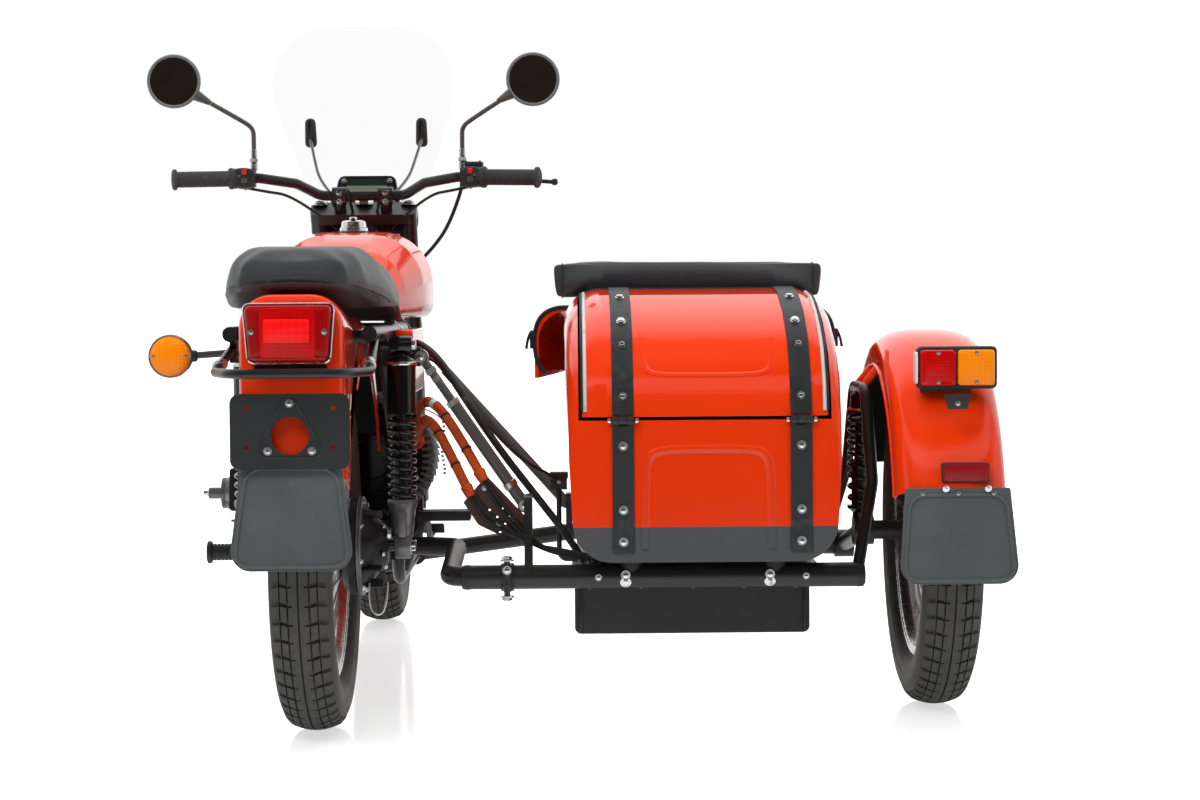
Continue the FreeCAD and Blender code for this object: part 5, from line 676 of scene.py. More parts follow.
def dial_glass():
    """The dark display behind its clear face, with a faint grid of cells."""
    f = Finish("dial_glass")
    grid = f.maths("PINGPONG", f.axis(0), 0.0012) / 0.0012
    cloud = f.noise(60, 2.0)
    colour = f.mixed(f.between(grid, 0.85, 1.0) * 0.4, (0.010, 0.016, 0.015), (0.03, 0.045, 0.04))
    return f.set(base_color=colour, roughness=0.06 + cloud * 0.05, coat_weight=1.0 - cloud * 0.1)


# More ways to make a shape

CONDUIT_R = 8.8
RIB_PITCH = 3.4
RIB_SHARE = 0.07
STITCH_PITCH = 5.0
THREAD_R = 0.55
PAD_PRESSURE = 4.0
PAD_MASS = 0.3
PAD_STIFFNESS = 12
PAD_FRAMES = 20
PAD_VOXEL = 6


def lofted(rings, closed=False):
    """Rings of as many places each, joined in turn; a closed one's last ring meets its first."""
    count = len(rings[0])
    faces = []
    for k in range(len(rings) if closed else len(rings) - 1):
        low = k * count
        top = (k + 1) % len(rings) * count
        for i in range(count):
            j = (i + 1) % count
            faces.append([low + i, low + j, top + j, top + i])
    if not closed:
        faces.append(list(range(count)))
        faces.append([(len(rings) - 1) * count + i for i in range(count)])
    mesh = mesh_from([place for ring in rings for place in ring], faces)
    outward(mesh)
    return mesh


def stacked(loops, origin, across=RIGHT, up=UP, ring=False):
    """Outlines of equal length at rising depths, joined; a ring's last meets its first."""
    across = Vector(across).normalized()
    up = Vector(up).normalized()
    ahead = across.cross(up)
    base = Vector(origin)
    rings = [[at(*(base + across * u + up * v + ahead * depth)) for u, v in outline]
             for outline, depth in loops]
    return lofted(rings, ring)


def lathed(profile, place, axis="Y", steps=64, closed=False):
    """Spin (along, radius) pairs about a line through a millimetre place."""
    return turned(profile, at(*place), axis, steps, closed)


class Skin:
    """A surface that rays can find, to set pieces on it."""

    def __init__(self, mesh):
        points = [vertex.co for vertex in mesh.vertices]
        self.tree = BVHTree.FromPolygons(points, [face.vertices for face in mesh.polygons])

    def hit(self, start, way, lift=0.0):
        """Where a ray lands, in millimetres, and the surface's direction there."""
        place, normal, _, _ = self.tree.ray_cast(at(*start), Vector(way))
        if place is None:
            return None
        if normal.dot(Vector(way)) > 0:
            normal = -normal
        return (place - ORIGIN) / MM + normal * lift, normal

    def hits(self, starts, way, lift=0.0):
        found = [self.hit(start, way, lift) for start in starts]
        return [place for place, _ in filter(None, found)]


def spread(low, high, count):
    return [low + (high - low) * i / (count - 1) for i in range(count)]


def coil_spring(name, foot, rise, turns, reach, wire):
    """A round-wire spring standing on a millimetre place."""
    seed = mesh_from([at(*foot)], [])
    mesh = COIL.grow(seed, rise=rise * MM, turns=float(turns), reach=reach * MM, reach_up=reach * MM,
                     wire=wire * MM, foot=at(*foot), finish=GLOSS_BLACK)
    return show(name, mesh, slot="spring_steel")


def conduit(name, route, replaces=()):
    """A corrugated orange hose along a smooth line of millimetre places."""
    mesh = RIBBED.grow(path_mesh(route), radius=CONDUIT_R * MM, pitch=RIB_PITCH * MM, depth=RIB_SHARE,
                       finish=CONDUIT)
    return show(name, mesh, slot="orange_conduit", replaces=replaces)


def stitched(name, places):
    """A row of short threads along a smooth line."""
    mesh = STITCHES.grow(path_mesh(places), pitch=STITCH_PITCH * MM, thread=THREAD_R * MM,
                         finish=THREAD)
    return show(name, mesh, slot="black_vinyl")


def stuffed(name, mesh, body, node, shrink, cap, pinned, rounds=7):
    """Swell a closed shape as a stuffed pad, and hold how far each point may move."""
    pad = bpy.data.objects.new(name, mesh)
    bpy.context.scene.collection.objects.link(pad)
    remesh = pad.modifiers.new("remesh", "REMESH")
    remesh.mode = "VOXEL"
    remesh.voxel_size = PAD_VOXEL * MM
    settled(pad)
    work = bmesh.new()
    work.from_mesh(pad.data)
    work.normal_update()
    for vertex in work.verts:
        vertex.co -= vertex.normal * shrink * MM
    work.to_mesh(pad.data)
    work.free()
    rest = [vertex.co.copy() for vertex in pad.data.vertices]
    swell(pad, pinned)
    for vertex, start in zip(pad.data.vertices, rest):
        moved = vertex.co - start
        if moved.length > cap * MM:
            vertex.co = start + moved.normalized() * cap * MM
    even = pad.modifiers.new("even", "SMOOTH")
    even.factor = 0.5
    even.iterations = rounds
    smoother = pad.modifiers.new("smoother", "SUBSURF")
    smoother.levels = smoother.render_levels = 1
    settled(pad)
    finished_in(pad.data, VINYL)
    pad.data.shade_smooth()
    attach(pad, body)
    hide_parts(node)
    return pad


def settled(piece):
    """Take what the modifiers make as the piece's own mesh."""
    depsgraph = bpy.context.evaluated_depsgraph_get()
    made = bpy.data.meshes.new_from_object(piece.evaluated_get(depsgraph), depsgraph=depsgraph)
    piece.modifiers.clear()
    piece.data = made


def swell(pad, pinned):
    scene = bpy.context.scene
    cloth = pad.modifiers.new("swell", "CLOTH")
    cloth.settings.use_pressure = True
    cloth.settings.uniform_pressure_force = PAD_PRESSURE
    cloth.settings.quality = 4
    cloth.settings.mass = PAD_MASS
    cloth.settings.tension_stiffness = PAD_STIFFNESS
    cloth.settings.compression_stiffness = PAD_STIFFNESS
    cloth.settings.effector_weights.gravity = 0
    cloth.collision_settings.use_collision = False
    cloth.point_cache.frame_start = 1
    cloth.point_cache.frame_end = PAD_FRAMES
    group = pad.vertex_groups.new(name="pinned")
    held = [v.index for v in pad.data.vertices if pinned((v.co - ORIGIN) / MM, v.normal)]
    group.add(held, 1.0, "REPLACE")
    cloth.settings.vertex_group_mass = "pinned"
    for step in range(1, PAD_FRAMES + 1):
        scene.frame_set(step)
    settled(pad)
    scene.frame_set(1)


# Trees that repeat a shape


def ring_tree():
    """Copies of a shape round the x axis, then turned and moved."""
    tree = Growth("ring_of_copies")
    count = tree.wanted("Count", "Int")
    start = tree.wanted("Start")
    spots = tree.node("GeometryNodePoints", None, {"Count": count})
    turn = tree.node("GeometryNodeInputIndex") * FULL_TURN / count + start
    copies = tree.node(
        "GeometryNodeInstanceOnPoints", None,
        {"Points": spots, "Instance": tree.shape, "Rotation": tree.xyz(turn, 0.0, 0.0)},
    )
    inputs = {0: copies, "Translation": tree.wanted("Centre", "Vector"),
              "Rotation": tree.wanted("Turn", "Vector")}
    tree.close(tree.node("GeometryNodeTransform", None, inputs))
    return tree


def fastener_tree():
    """A washer, a head and a raised centre at every point, facing along its aim."""
    tree = Growth("fasteners")
    sides = tree.wanted("Sides", "Int")
    washer = tree.node("GeometryNodeMeshCylinder", None,
                       {"Vertices": 20, "Radius": 1.35, "Depth": 0.36})
    washer = tree.node("GeometryNodeTransform", None, {0: washer, "Translation": (0, 0, 0.18)})
    head = tree.node("GeometryNodeMeshCylinder", None,
                     {"Vertices": sides, "Radius": 1.0, "Depth": 0.62})
    head = tree.node("GeometryNodeTransform", None, {0: head, "Translation": (0, 0, 0.62)})
    dome = tree.node("GeometryNodeMeshUVSphere", None, {"Segments": 16, "Rings": 8, "Radius": 0.86})
    dome = tree.node("GeometryNodeTransform", None,
                     {0: dome, "Translation": (0, 0, 0.84), "Scale": (1, 1, 0.30)})
    whole = tree.nodes.new("GeometryNodeJoinGeometry")
    for shape in (washer, head, dome):
        tree.links.new(shape.socket, whole.inputs[0])
    spots = tree.node("GeometryNodeMeshToPoints", None, {"Mesh": tree.shape})
    aim = tree.attribute("aim", "FLOAT_VECTOR")
    turn = tree.node("FunctionNodeAlignRotationToVector", {"axis": "Z"}, {"Vector": aim})
    size = tree.attribute("size", "FLOAT")
    copies = tree.node(
        "GeometryNodeInstanceOnPoints", None,
        {"Points": spots, "Instance": Link(tree, whole.outputs[0]), "Rotation": turn, "Scale": size},
    )
    tree.close(copies)
    return tree


def ribbed_tube_tree():
    """A tube along a line, its radius rising and falling once a pitch."""
    tree = Growth("ribbed_tube")
    radius = tree.wanted("Radius")
    pitch = tree.wanted("Pitch")
    depth = tree.wanted("Depth")
    line = tree.node("GeometryNodeMeshToCurve", None, {0: tree.shape})
    line = tree.node("GeometryNodeResampleCurve", {"mode": "LENGTH"},
                     {"Curve": line, "Length": pitch / 4})
    far = tree.node("GeometryNodeSplineParameter", output="Length")
    wave = tree.maths("SINE", far * FULL_TURN / pitch)
    line = tree.node("GeometryNodeSetCurveRadius", None,
                     {0: line, "Radius": radius * (1 + wave * depth)})
    ring = tree.node("GeometryNodeCurvePrimitiveCircle", {"mode": "RADIUS"},
                     {"Resolution": 18, "Radius": 1.0})
    inputs = {"Curve": line, "Profile Curve": ring, "Fill Caps": True}
    carried = tree.node("GeometryNodeCurveToMesh", None, inputs)
    sockets = carried.socket.node.inputs
    if "Scale" in sockets:
        tree.links.new(tree.node("GeometryNodeInputRadius").socket, sockets["Scale"])
    tree.close(carried)
    return tree


def coil_tree():
    """A round-wire spring standing on z, then moved."""
    tree = Growth("coil_spring")
    rise = tree.wanted("Rise")
    coil = tree.node(
        "GeometryNodeCurveSpiral", None,
        {"Resolution": 40, "Rotations": tree.wanted("Turns"), "Start Radius": tree.wanted("Reach"),
         "End Radius": tree.wanted("Reach Up"), "Height": rise},
    )
    wire = tree.node("GeometryNodeCurvePrimitiveCircle", {"mode": "RADIUS"},
                     {"Resolution": 12, "Radius": tree.wanted("Wire")})
    wound = tree.node("GeometryNodeCurveToMesh", None,
                      {"Curve": coil, "Profile Curve": wire, "Fill Caps": True})
    tree.close(tree.node("GeometryNodeTransform", None,
                         {0: wound, "Translation": tree.wanted("Foot", "Vector")}))
    return tree


def stitch_tree():
    """Short raised threads along a line, one every pitch."""
    tree = Growth("stitches")
    line = tree.node("GeometryNodeMeshToCurve", None, {0: tree.shape})
    line = tree.node("GeometryNodeResampleCurve", {"mode": "LENGTH"},
                     {"Curve": line, "Length": tree.wanted("Pitch")})
    along = tree.node("GeometryNodeInputTangent")
    turn = tree.node("FunctionNodeAlignRotationToVector", {"axis": "Z"}, {"Vector": along})
    thread = tree.node("GeometryNodeMeshUVSphere", None,
                       {"Segments": 8, "Rings": 6, "Radius": tree.wanted("Thread")})
    thread = tree.node("GeometryNodeTransform", None, {0: thread, "Scale": (1, 1, 3.2)})
    spots = tree.node("GeometryNodeInstanceOnPoints", None,
                      {"Points": line, "Instance": thread, "Rotation": turn})
    tree.close(spots)
    return tree


def screws(name, spots, material, body="chassis", slot="bright_steel", sides=6):
    """Fasteners at (place, aim, radius) rows, in millimetres."""
    mesh = mesh_from([at(*place) for place, aim, radius in spots], [])
    aims = mesh.attributes.new("aim", "FLOAT_VECTOR", "POINT")
    aims.data.foreach_set("vector", [v for place, aim, radius in spots
                                     for v in Vector(aim).normalized()])
    sizes = mesh.attributes.new("size", "FLOAT", "POINT")
    sizes.data.foreach_set("value", [radius * MM for place, aim, radius in spots])
    return show(name, FASTENERS.grow(mesh, sides=sides, finish=material), body=body, slot=slot)


RING = ring_tree()
FASTENERS = fastener_tree()
RIBBED = ribbed_tube_tree()
COIL = coil_tree()
STITCHES = stitch_tree()


# Wheels

TYRE_R = 329.0
CROWN_DROP = 10.0
CROWN_HALF_W = 41.0
SHOULDER_HALF_W = 54.0
SHOULDER_DROP = 17.0
TREAD_DEPTH = 6.5
PITCHES = 60
SPOKE_GROUPS = 9
FLANGE_R = 57.0
RIM_BED_R = 206.5
HUB_BOLTS_R = 35.0


def crown_radius(x):
    """The tyre's outer radius across its crown and shoulders."""
    if abs(x) <= CROWN_HALF_W:
        return TYRE_R - CROWN_DROP * (x / CROWN_HALF_W) ** 2
    share = (abs(x) - CROWN_HALF_W) / (SHOULDER_HALF_W - CROWN_HALF_W)
    return TYRE_R - CROWN_DROP - SHOULDER_DROP * share ** 1.3


def tread_block(outline, pitch_angle, drop=0.0):
    """A raised block from (x, share of the pitch) corners, bent over the tyre's crown."""
    low = []
    top = []
    for x, share in outline:
        angle = share * pitch_angle
        for ring, radius in ((top, crown_radius(x) - drop), (low, crown_radius(x) - TREAD_DEPTH - 2.0)):
            ring.append(Vector((x, radius * math.cos(angle), radius * math.sin(angle))) * MM)
    count = len(outline)
    faces = [list(range(count)), list(range(2 * count - 1, count - 1, -1))]
    for i in range(count):
        j = (i + 1) % count
        faces.append([j, i, count + i, count + j])
    mesh = mesh_from(top + low, faces)
    outward(mesh)
    return mesh


def rib_run(x0, x1, notch, side):
    """One pitch of a rib with a small notch cut into its outer edge."""
    outer = x1 if side > 0 else x0
    inner = x0 if side > 0 else x1
    deep = outer - side * notch
    return [
        [(inner, 0), (deep, 0), (deep, 0.5), (inner, 0.5)],
        [(deep, 0.10), (outer, 0.10), (outer, 0.5), (deep, 0.5)],
        [(inner, 0.5), (outer, 0.5), (outer, 1.0), (inner, 1.0)],
    ]


def tyre_tread():
    """One pitch of the whole tread: two middle ribs, notched, and split shoulder blocks."""
    pitch = FULL_TURN / PITCHES
    pieces = []
    for side in (1, -1):
        for outline in rib_run(*sorted((side * 1.6, side * 17.0)), 6.5, side):
            pieces.append(tread_block(outline, pitch))
        block = [(side * 19.8, 0.13), (side * 31.0, 0.06), (side * 31.0, 0.86), (side * 19.8, 0.93)]
        pieces.append(tread_block(block, pitch))
        outer = [(side * 33.2, 0.06), (side * 41.0, 0.16), (side * 47.5, 0.22), (side * 47.5, 0.94),
                 (side * 41.0, 0.90), (side * 33.2, 0.82)]
        pieces.append(tread_block(outer, pitch))
        wall = [(side * 33.2, 0.0), (side * 34.6, 0.0), (side * 34.6, 1.0), (side * 33.2, 1.0)]
        pieces.append(tread_block(wall, pitch, 2.4))
    return joined(*pieces)


def tyre_body():
    """The carcass under the tread, with moulded rings on the walls."""
    half = [(0.0, TYRE_R - TREAD_DEPTH), (14.0, crown_radius(14) - TREAD_DEPTH),
            (28.0, crown_radius(28) - TREAD_DEPTH), (40.0, crown_radius(40) - TREAD_DEPTH),
            (47.0, crown_radius(47) - TREAD_DEPTH), (50.5, 304.0), (52.6, 300.0), (52.6, 298.6),
            (53.5, 297.2), (54.3, 288.0), (54.4, 280.0), (53.6, 272.6), (52.9, 271.6), (53.1, 270.2),
            (51.6, 262.0), (49.0, 255.0), (48.2, 254.4), (47.4, 252.0), (43.6, 246.0), (39.5, 242.0),
            (38.4, 240.6), (37.6, 238.6), (33.6, 238.3), (31.2, 236.5), (30.8, 226.2), (0.0, 226.2)]
    return half + [(-x, r) for x, r in reversed(half[1:-1])]


def rim_outline():
    """A rolled-edge alloy rim with a drop centre."""
    outer = [(0.0, 213.0), (17.0, 213.0), (20.5, 214.5), (26.0, 222.5), (30.6, 225.6), (31.2, 226.8),
             (31.4, 234.6), (32.4, 237.2), (34.4, 238.0), (36.2, 237.2), (36.9, 235.0), (36.4, 232.0),
             (34.6, 229.6), (34.0, 220.8), (31.6, 218.8), (27.4, 216.0), (22.2, 208.4), (18.4, 206.2),
             (0.0, 206.0)]
    return outer + [(-x, r) for x, r in reversed(outer[1:-1])]


def hub_outline():
    """A full-width drum hub with cooling ridges and two spoke flanges."""
    half = [(0.0, 40.0), (4.0, 40.0)]
    for i in range(3):
        x = 6.0 + i * 7.0
        half += [(x, 40.0), (x + 0.8, 48.0), (x + 2.4, 48.0), (x + 3.2, 40.0)]
    half += [(30.5, 42.0), (34.0, 54.0), (36.6, 60.8), (38.0, 62.0), (42.6, 62.0), (43.9, 60.4),
             (43.9, 46.0), (42.4, 44.2), (42.4, 28.0), (44.0, 26.0), (44.0, 15.0), (42.0, 13.6),
             (42.0, 10.1), (0.0, 10.1)]
    return half + [(-x, r) for x, r in reversed(half[1:-1])]


def spoke_set():
    """Two crossing spokes from each flange, each with a hooked head and a nipple."""
    pitch = FULL_TURN / SPOKE_GROUPS
    pieces = []
    laces = ((1, 0.66, 0.04), (1, -0.66, 0.29), (-1, 0.66, 0.54), (-1, -0.66, 0.79))
    for k, (side, lean, at_turn) in enumerate(laces):
        tip_turn = at_turn * pitch
        root_turn = tip_turn - lean
        reach = side * (41.4 if k % 2 else 37.2)
        root = Vector((reach, FLANGE_R * math.cos(root_turn), FLANGE_R * math.sin(root_turn)))
        tip = Vector((side * 5.0, RIM_BED_R * math.cos(tip_turn), RIM_BED_R * math.sin(tip_turn)))
        run = (tip - root).normalized()
        away = Vector((side * 3.0, 0, 0))
        for first, last, radius, steps in (
            (root, tip, 1.7, 8), (tip - run * 17.0, tip, 3.0, 6), (root - away, root + away, 1.9, 8),
        ):
            rod_mesh = rod(first, last, radius, steps, 0.3)
            rod_mesh.transform(Matrix.Translation(-ORIGIN))
            pieces.append(rod_mesh)
    return joined(*pieces)


def make_wheel(name, hub, body):
    """Tyre, tread, rim, spokes and hub of one wheel."""
    x, y, z = hub
    centre = at(*hub)
    carcass = turned(tyre_body(), centre, "X", 180, closed=True)
    show(name + "_tyre_body", carcass, WALL_RUBBER, body, replaces=(name + "_tyre",), crease=30)
    tread = RING.grow(TREAD_PITCH, count=PITCHES, centre=centre, finish=TREAD_RUBBER)
    show(name + "_tread", tread, body=body, slot="tyre_rubber", crease=20)
    rim = turned(rim_outline(), centre, "X", 144, closed=True)
    show(name + "_rim", rim, POLISHED_RIM, body, replaces=(name + "_wheel",), crease=28)
    drum = turned(hub_outline(), centre, "X", 72, closed=True)
    show(name + "_hub", drum, CAST_SILVER, body, crease=28)
    laced = RING.grow(SPOKE_SET, count=SPOKE_GROUPS, centre=centre, finish=SPOKE_WIRE)
    show(name + "_spokes", laced, body=body, slot="wheel_metal", crease=40)
    bolts = []
    for i in range(6):
        turn = FULL_TURN * i / 6
        for side in (1, -1):
            place = (x + side * 41.9, y + HUB_BOLTS_R * math.cos(turn),
                     z + HUB_BOLTS_R * math.sin(turn))
            bolts.append((place, (side, 0, 0), 2.6))
    screws(name + "_hub_bolts", bolts, ZINC, body, slot="wheel_metal")
    valve = rod((x, y, z + RIM_BED_R), (x, y, z + 178.0), 3.2, 12)
    show(name + "_valve", valve, SOFT_BLACK, body)


TREAD_PITCH = tyre_tread()
SPOKE_SET = spoke_set()


# Materials in use

BLACK_FRAME = black_coat("frame_black")
POWDER = black_coat("powder_black", (0.014, 0.0155, 0.0165), 0.46, 640, 0.0003)
GLOSS_BLACK = black_coat("gloss_black", (0.004, 0.004, 0.0045), 0.10, 1100, 0.00003, 0.05)
GREY_TUBE = black_coat("grey_tube", (0.060, 0.058, 0.055), 0.34, 900, 0.0001)
CHROME = bright_metal("chrome")
ZINC = bright_metal("zinc", (0.66, 0.66, 0.67), 0.24, 0.16)
SATIN = bright_metal("satin_steel", (0.40, 0.40, 0.40), 0.30, 0.14)
POLISHED_RIM = bright_metal("polished_rim", (0.72, 0.72, 0.73), 0.20, 0.14, (1, 6, 6))
SPOKE_WIRE = bright_metal("spoke_wire", (0.60, 0.60, 0.61), 0.26, 0.14)
CAST_SILVER = cast_metal("cast_silver", (0.42, 0.42, 0.43), 0.42)
CAST_GREY = cast_metal("cast_grey", (0.20, 0.20, 0.205), 0.36, 0.7)
CAST_DARK = cast_metal("cast_dark", (0.022, 0.022, 0.024), 0.46, 0.5)
TREAD_RUBBER = tread_rubber()
WALL_RUBBER = wall_rubber()
FLAP_RUBBER = soft_rubber("flap_rubber", (0.060, 0.068, 0.071), 0.50)
SOFT_BLACK = soft_rubber("soft_black", (0.012, 0.0125, 0.013), 0.5, 700, 0.0002)
GRIP_RUBBER = soft_rubber("grip_rubber", (0.030, 0.031, 0.033), 0.62, 800, 0.0004)
VINYL = grained_vinyl()
THREAD = coloured_plastic("seat_thread", (0.030, 0.030, 0.031), 0.7)
PILE = hook_pile()
# Each lens gives off a faint painted glow, strongest on the tail lamp's bright middle.
RED_LENS = lens("red_lens", (0.30, 0.001, 0.001), (0.62, 0.002, 0.002), 0.0030, 0.16)
RIBBED_LENS = lens("ribbed_red_lens", (0.14, 0.001, 0.001), (0.46, 0.002, 0.003), 0.0017, 0.10, True)
BRIGHT_LENS = lens("bright_red_lens", (0.62, 0.002, 0.003), (0.95, 0.012, 0.010), 0.0060, 0.30)
AMBER_LENS = lens("amber_lens", (0.80, 0.17, 0.002), (1.0, 0.30, 0.004), 0.0030, 0.14)
REFLECTOR_RED = lens("reflector_red", (0.16, 0.002, 0.006), (0.42, 0.010, 0.016), 0.0022, 0.02)
SHIELD = clear_shield()
CLEAR_GLASS = clear_glass("lamp_glass")
MIRROR = mirror_glass()
RIM_GREY = black_coat("rim_grey", (0.13, 0.14, 0.14), 0.28, 900, 0.0001)
PLASTIC = moulded("black_plastic", (0.012, 0.0125, 0.013))
WHITE_PLASTIC = moulded("white_plastic", (0.62, 0.62, 0.60), 0.3)
BUTTON_RED = coloured_plastic("button_red", (0.80, 0.020, 0.012), 0.28)
BRONZE = black_coat("bronze_plate", (0.045, 0.019, 0.012), 0.50, 900, 0.0003, 0.3)
CONDUIT = coloured_plastic("conduit_orange", (0.66, 0.085, 0.006), 0.40)
DIAL = dial_glass()
DISPLAY = coloured_plastic("display_green", (0.16, 0.17, 0.10), 0.2)
# Pale grey seal rubber: its paleness is a painted highlight along the lid's side edges.
HIGHLIGHT_SEAL = soft_rubber("pale_seal", (0.42, 0.41, 0.40), 0.35, 900, 0.0001)

PAINT = gloss_orange("enamel_orange")
HOLLOW = tuple(zip(at(472, -102, 314), at(918, 900, 900)))
TUB_PAINT = gloss_orange("tub_orange", 0.3675, at(695, 720, 520), hollow=HOLLOW)
LID_PAINT = gloss_orange("lid_orange", inner_middle=at(695, 200, 540))
FENDER_PAINT = gloss_orange("fender_orange", hub=at(*SIDECAR_AXLE))
REAR_FENDER_PAINT = gloss_orange("rear_fender_orange", hub=at(*REAR_AXLE))

# The slot each finish stands for, unless a piece names another

USUAL_SLOTS = {
    "black_paint": (BLACK_FRAME, GREY_TUBE, POWDER),
    "black_plastic": (BUTTON_RED, DIAL, DISPLAY, GLOSS_BLACK, GRIP_RUBBER, PLASTIC),
    "black_rubber": (FLAP_RUBBER, HIGHLIGHT_SEAL, SOFT_BLACK),
    "black_vinyl": (PILE,),
    "bright_steel": (CHROME, SATIN, WHITE_PLASTIC, ZINC),
    "bronze_plate": (BRONZE,),
    "cast_aluminium": (CAST_DARK, CAST_GREY),
    "clear_screen": (CLEAR_GLASS, SHIELD),
    "lamp_plastic": (AMBER_LENS,),
    "mirror_case": (MIRROR, RIM_GREY),
    "orange_conduit": (CONDUIT,),
    "orange_paint": (FENDER_PAINT, LID_PAINT, PAINT, REAR_FENDER_PAINT, TUB_PAINT),
    "red_lens": (BRIGHT_LENS, RED_LENS, REFLECTOR_RED, RIBBED_LENS),
    "tyre_rubber": (WALL_RUBBER,),
    "wheel_metal": (CAST_SILVER, POLISHED_RIM),
}
SLOT_OF = {material.name: slot for slot, used in USUAL_SLOTS.items() for material in used}


# Bodywork

STRAPS = (("left", 550), ("right", 864))
HINGE_Y = -117.9
BLUNT_FROM = 14
BLUNT_TO = 75


def outline_tube(name, skin, outline, y, radius, material, lift=0.4):
    """A raised line on a face seen from behind, along x and z pairs."""
    route = skin.hits([(x, y, z) for x, z in outline + outline[:1]], AHEAD, lift)
    return show(name, tube(route, radius, 8, order=4), material)


def patch(skin, x0, x1, z0, z1, y, lift, columns=24, rows=6):
    """A thin sheet laid on a face seen from behind, its edges let into it."""
    points = []
    for k, z in enumerate(spread(z0, z1, rows)):
        for i, x in enumerate(spread(x0, x1, columns)):
            rim = i in (0, columns - 1) or k in (0, rows - 1)
            place, _ = skin.hit((x, y, z), AHEAD, -0.6 if rim else lift)
            points.append(at(*place))
    faces = []
    for k in range(rows - 1):
        for i in range(columns - 1):
            a = k * columns + i
            faces.append([a, a + 1, a + columns + 1, a + columns])
    return mesh_from(points, faces)


def softened(mesh, radius, steps, wanted):
    """Round off the blunt outer edges of a form where wanted() says so."""
    work = bmesh.new()
    work.from_mesh(mesh)
    blunt = []
    for edge in work.edges:
        places = [(vertex.co - ORIGIN) / MM for vertex in edge.verts]
        turn = math.degrees(edge.calc_face_angle(0))
        if all(wanted(place) for place in places) and BLUNT_FROM < turn < BLUNT_TO and edge.is_convex:
            blunt.append(edge)
    bmesh.ops.bevel(work, geom=blunt, offset=radius * MM, segments=steps, profile=0.5, affect="EDGES",
                    clamp_overlap=True)
    work.to_mesh(mesh)
    work.free()
    return mesh


def pressed_bead(name, skin, outline, radius, proud, body, material):
    """A long rounded ridge pressed out of a face seen from behind."""
    route = skin.hits([(x, FAR_BEHIND, z) for x, z in outline], AHEAD, proud - radius)
    return show(name, tube(route, radius, 20, order=4), material, body)


def strap_end(name, skin, x):
    """A strap's lower end, down over the grey coating to the body's lower edge."""
    half, thick, ease, sunk = 19, 3.9, 0.8, -3
    section = [(-half, sunk), (-half, thick - ease), (ease - half, thick), (half - ease, thick),
               (half, thick - ease), (half, sunk)]
    rings = []
    for z in spread(325, 381, 9):
        rings.append([at(*skin.hit((x + u, FAR_BEHIND, z), AHEAD, lift)[0]) for u, lift in section])
    show(name, lofted(rings), POWDER)


def make_tub():
    """The sidecar's body, its cowl, lid and strap hinges."""
    tub = softened(merged_copy("sidecar_tub"), 26, 4, lambda p: p.y > 900)
    show("sidecar_tub_shell", tub, TUB_PAINT, replaces=("sidecar_tub",), crease=50)
    dressed("trunk_lid", LID_PAINT, "lid", ease=1.2)
    dressed("tub_cowl", PAINT)
    dressed("tub_straps", POWDER, ease=0.8)
    dressed("lid_straps", POWDER, "lid", ease=0.8)
    body = Skin(merged_copy("sidecar_tub"))
    arch = [(588, 330), (588, 400), (589, 462), (592, 486), (604, 501), (624, 506), (700, 507),
            (776, 506), (796, 501), (808, 486), (811, 462), (812, 400), (812, 330)]
    pressed_bead("tub_arch_bead", body, arch, 13, 3.4, "chassis", TUB_PAINT)
    lid = Skin(merged_copy("trunk_lid"))
    crease = [(584, 700), (584, 668), (588, 646), (604, 637), (640, 635), (764, 635), (798, 637),
              (814, 646), (818, 668), (818, 700)]
    pressed_bead("lid_crease_bead", lid, crease, 9, 2.4, "lid", LID_PAINT)
    for side, x in STRAPS:
        strap_end("strap_end_" + side, body, x)
    low = Skin(merged_copy("tub_straps"))
    top = Skin(merged_copy("lid_straps"))
    for side, x in STRAPS:
        spots = [low.hit((x, -400, z), AHEAD)
                 for z in (512, 399)] + [body.hit((x, -400, 343), AHEAD, 3)]
        screws("tub_strap_bolts_" + side, [(p, n, 6.2) for p, n in spots], CHROME, sides=20)
        spots = [top.hit((x, -400, z), AHEAD) for z in (599, 688, 728)]
        spots += [top.hit((x, y, 900), DOWN) for y in (10, 120)]
        screws("lid_strap_bolts_" + side, [(p, n, 6.2) for p, n in spots], CHROME, "lid", sides=20)
        for end in (-1, 1):
            cap = rod((x + end * 21, HINGE_Y, 557), (x + end * 27, HINGE_Y, 557), 4.6, 16)
            show(f"hinge_pin_cap_{side}_{'outer' if end > 0 else 'inner'}", cap, CHROME)


def make_lid_trim():
    """A seal down each side of the lid, drawn pale grey as a painted highlight along the lid's edge,
    beside a black strip.
    """
    skin = Skin(merged_copy("trunk_lid"))
    for side, x in (("left", 484), ("right", 906)):
        starts = [(x, -400, z) for z in spread(572, 745, 9)]
        route = skin.hits(starts, AHEAD, 1.5) + skin.hits([(x, y, 950) for y in spread(60, 255, 6)],
                                                          DOWN, 1.5)
        # The pale seal is a painted highlight along the lid's edge.
        show("lid_seal_" + side, tube(route, 3.4, 12, order=4), HIGHLIGHT_SEAL, "lid")
        inner = [(px + (-6 if x < 600 else 6), py, pz) for px, py, pz in route]
        show("lid_strip_" + side, tube(inner, 2.0, 10, order=4), SOFT_BLACK, "lid")


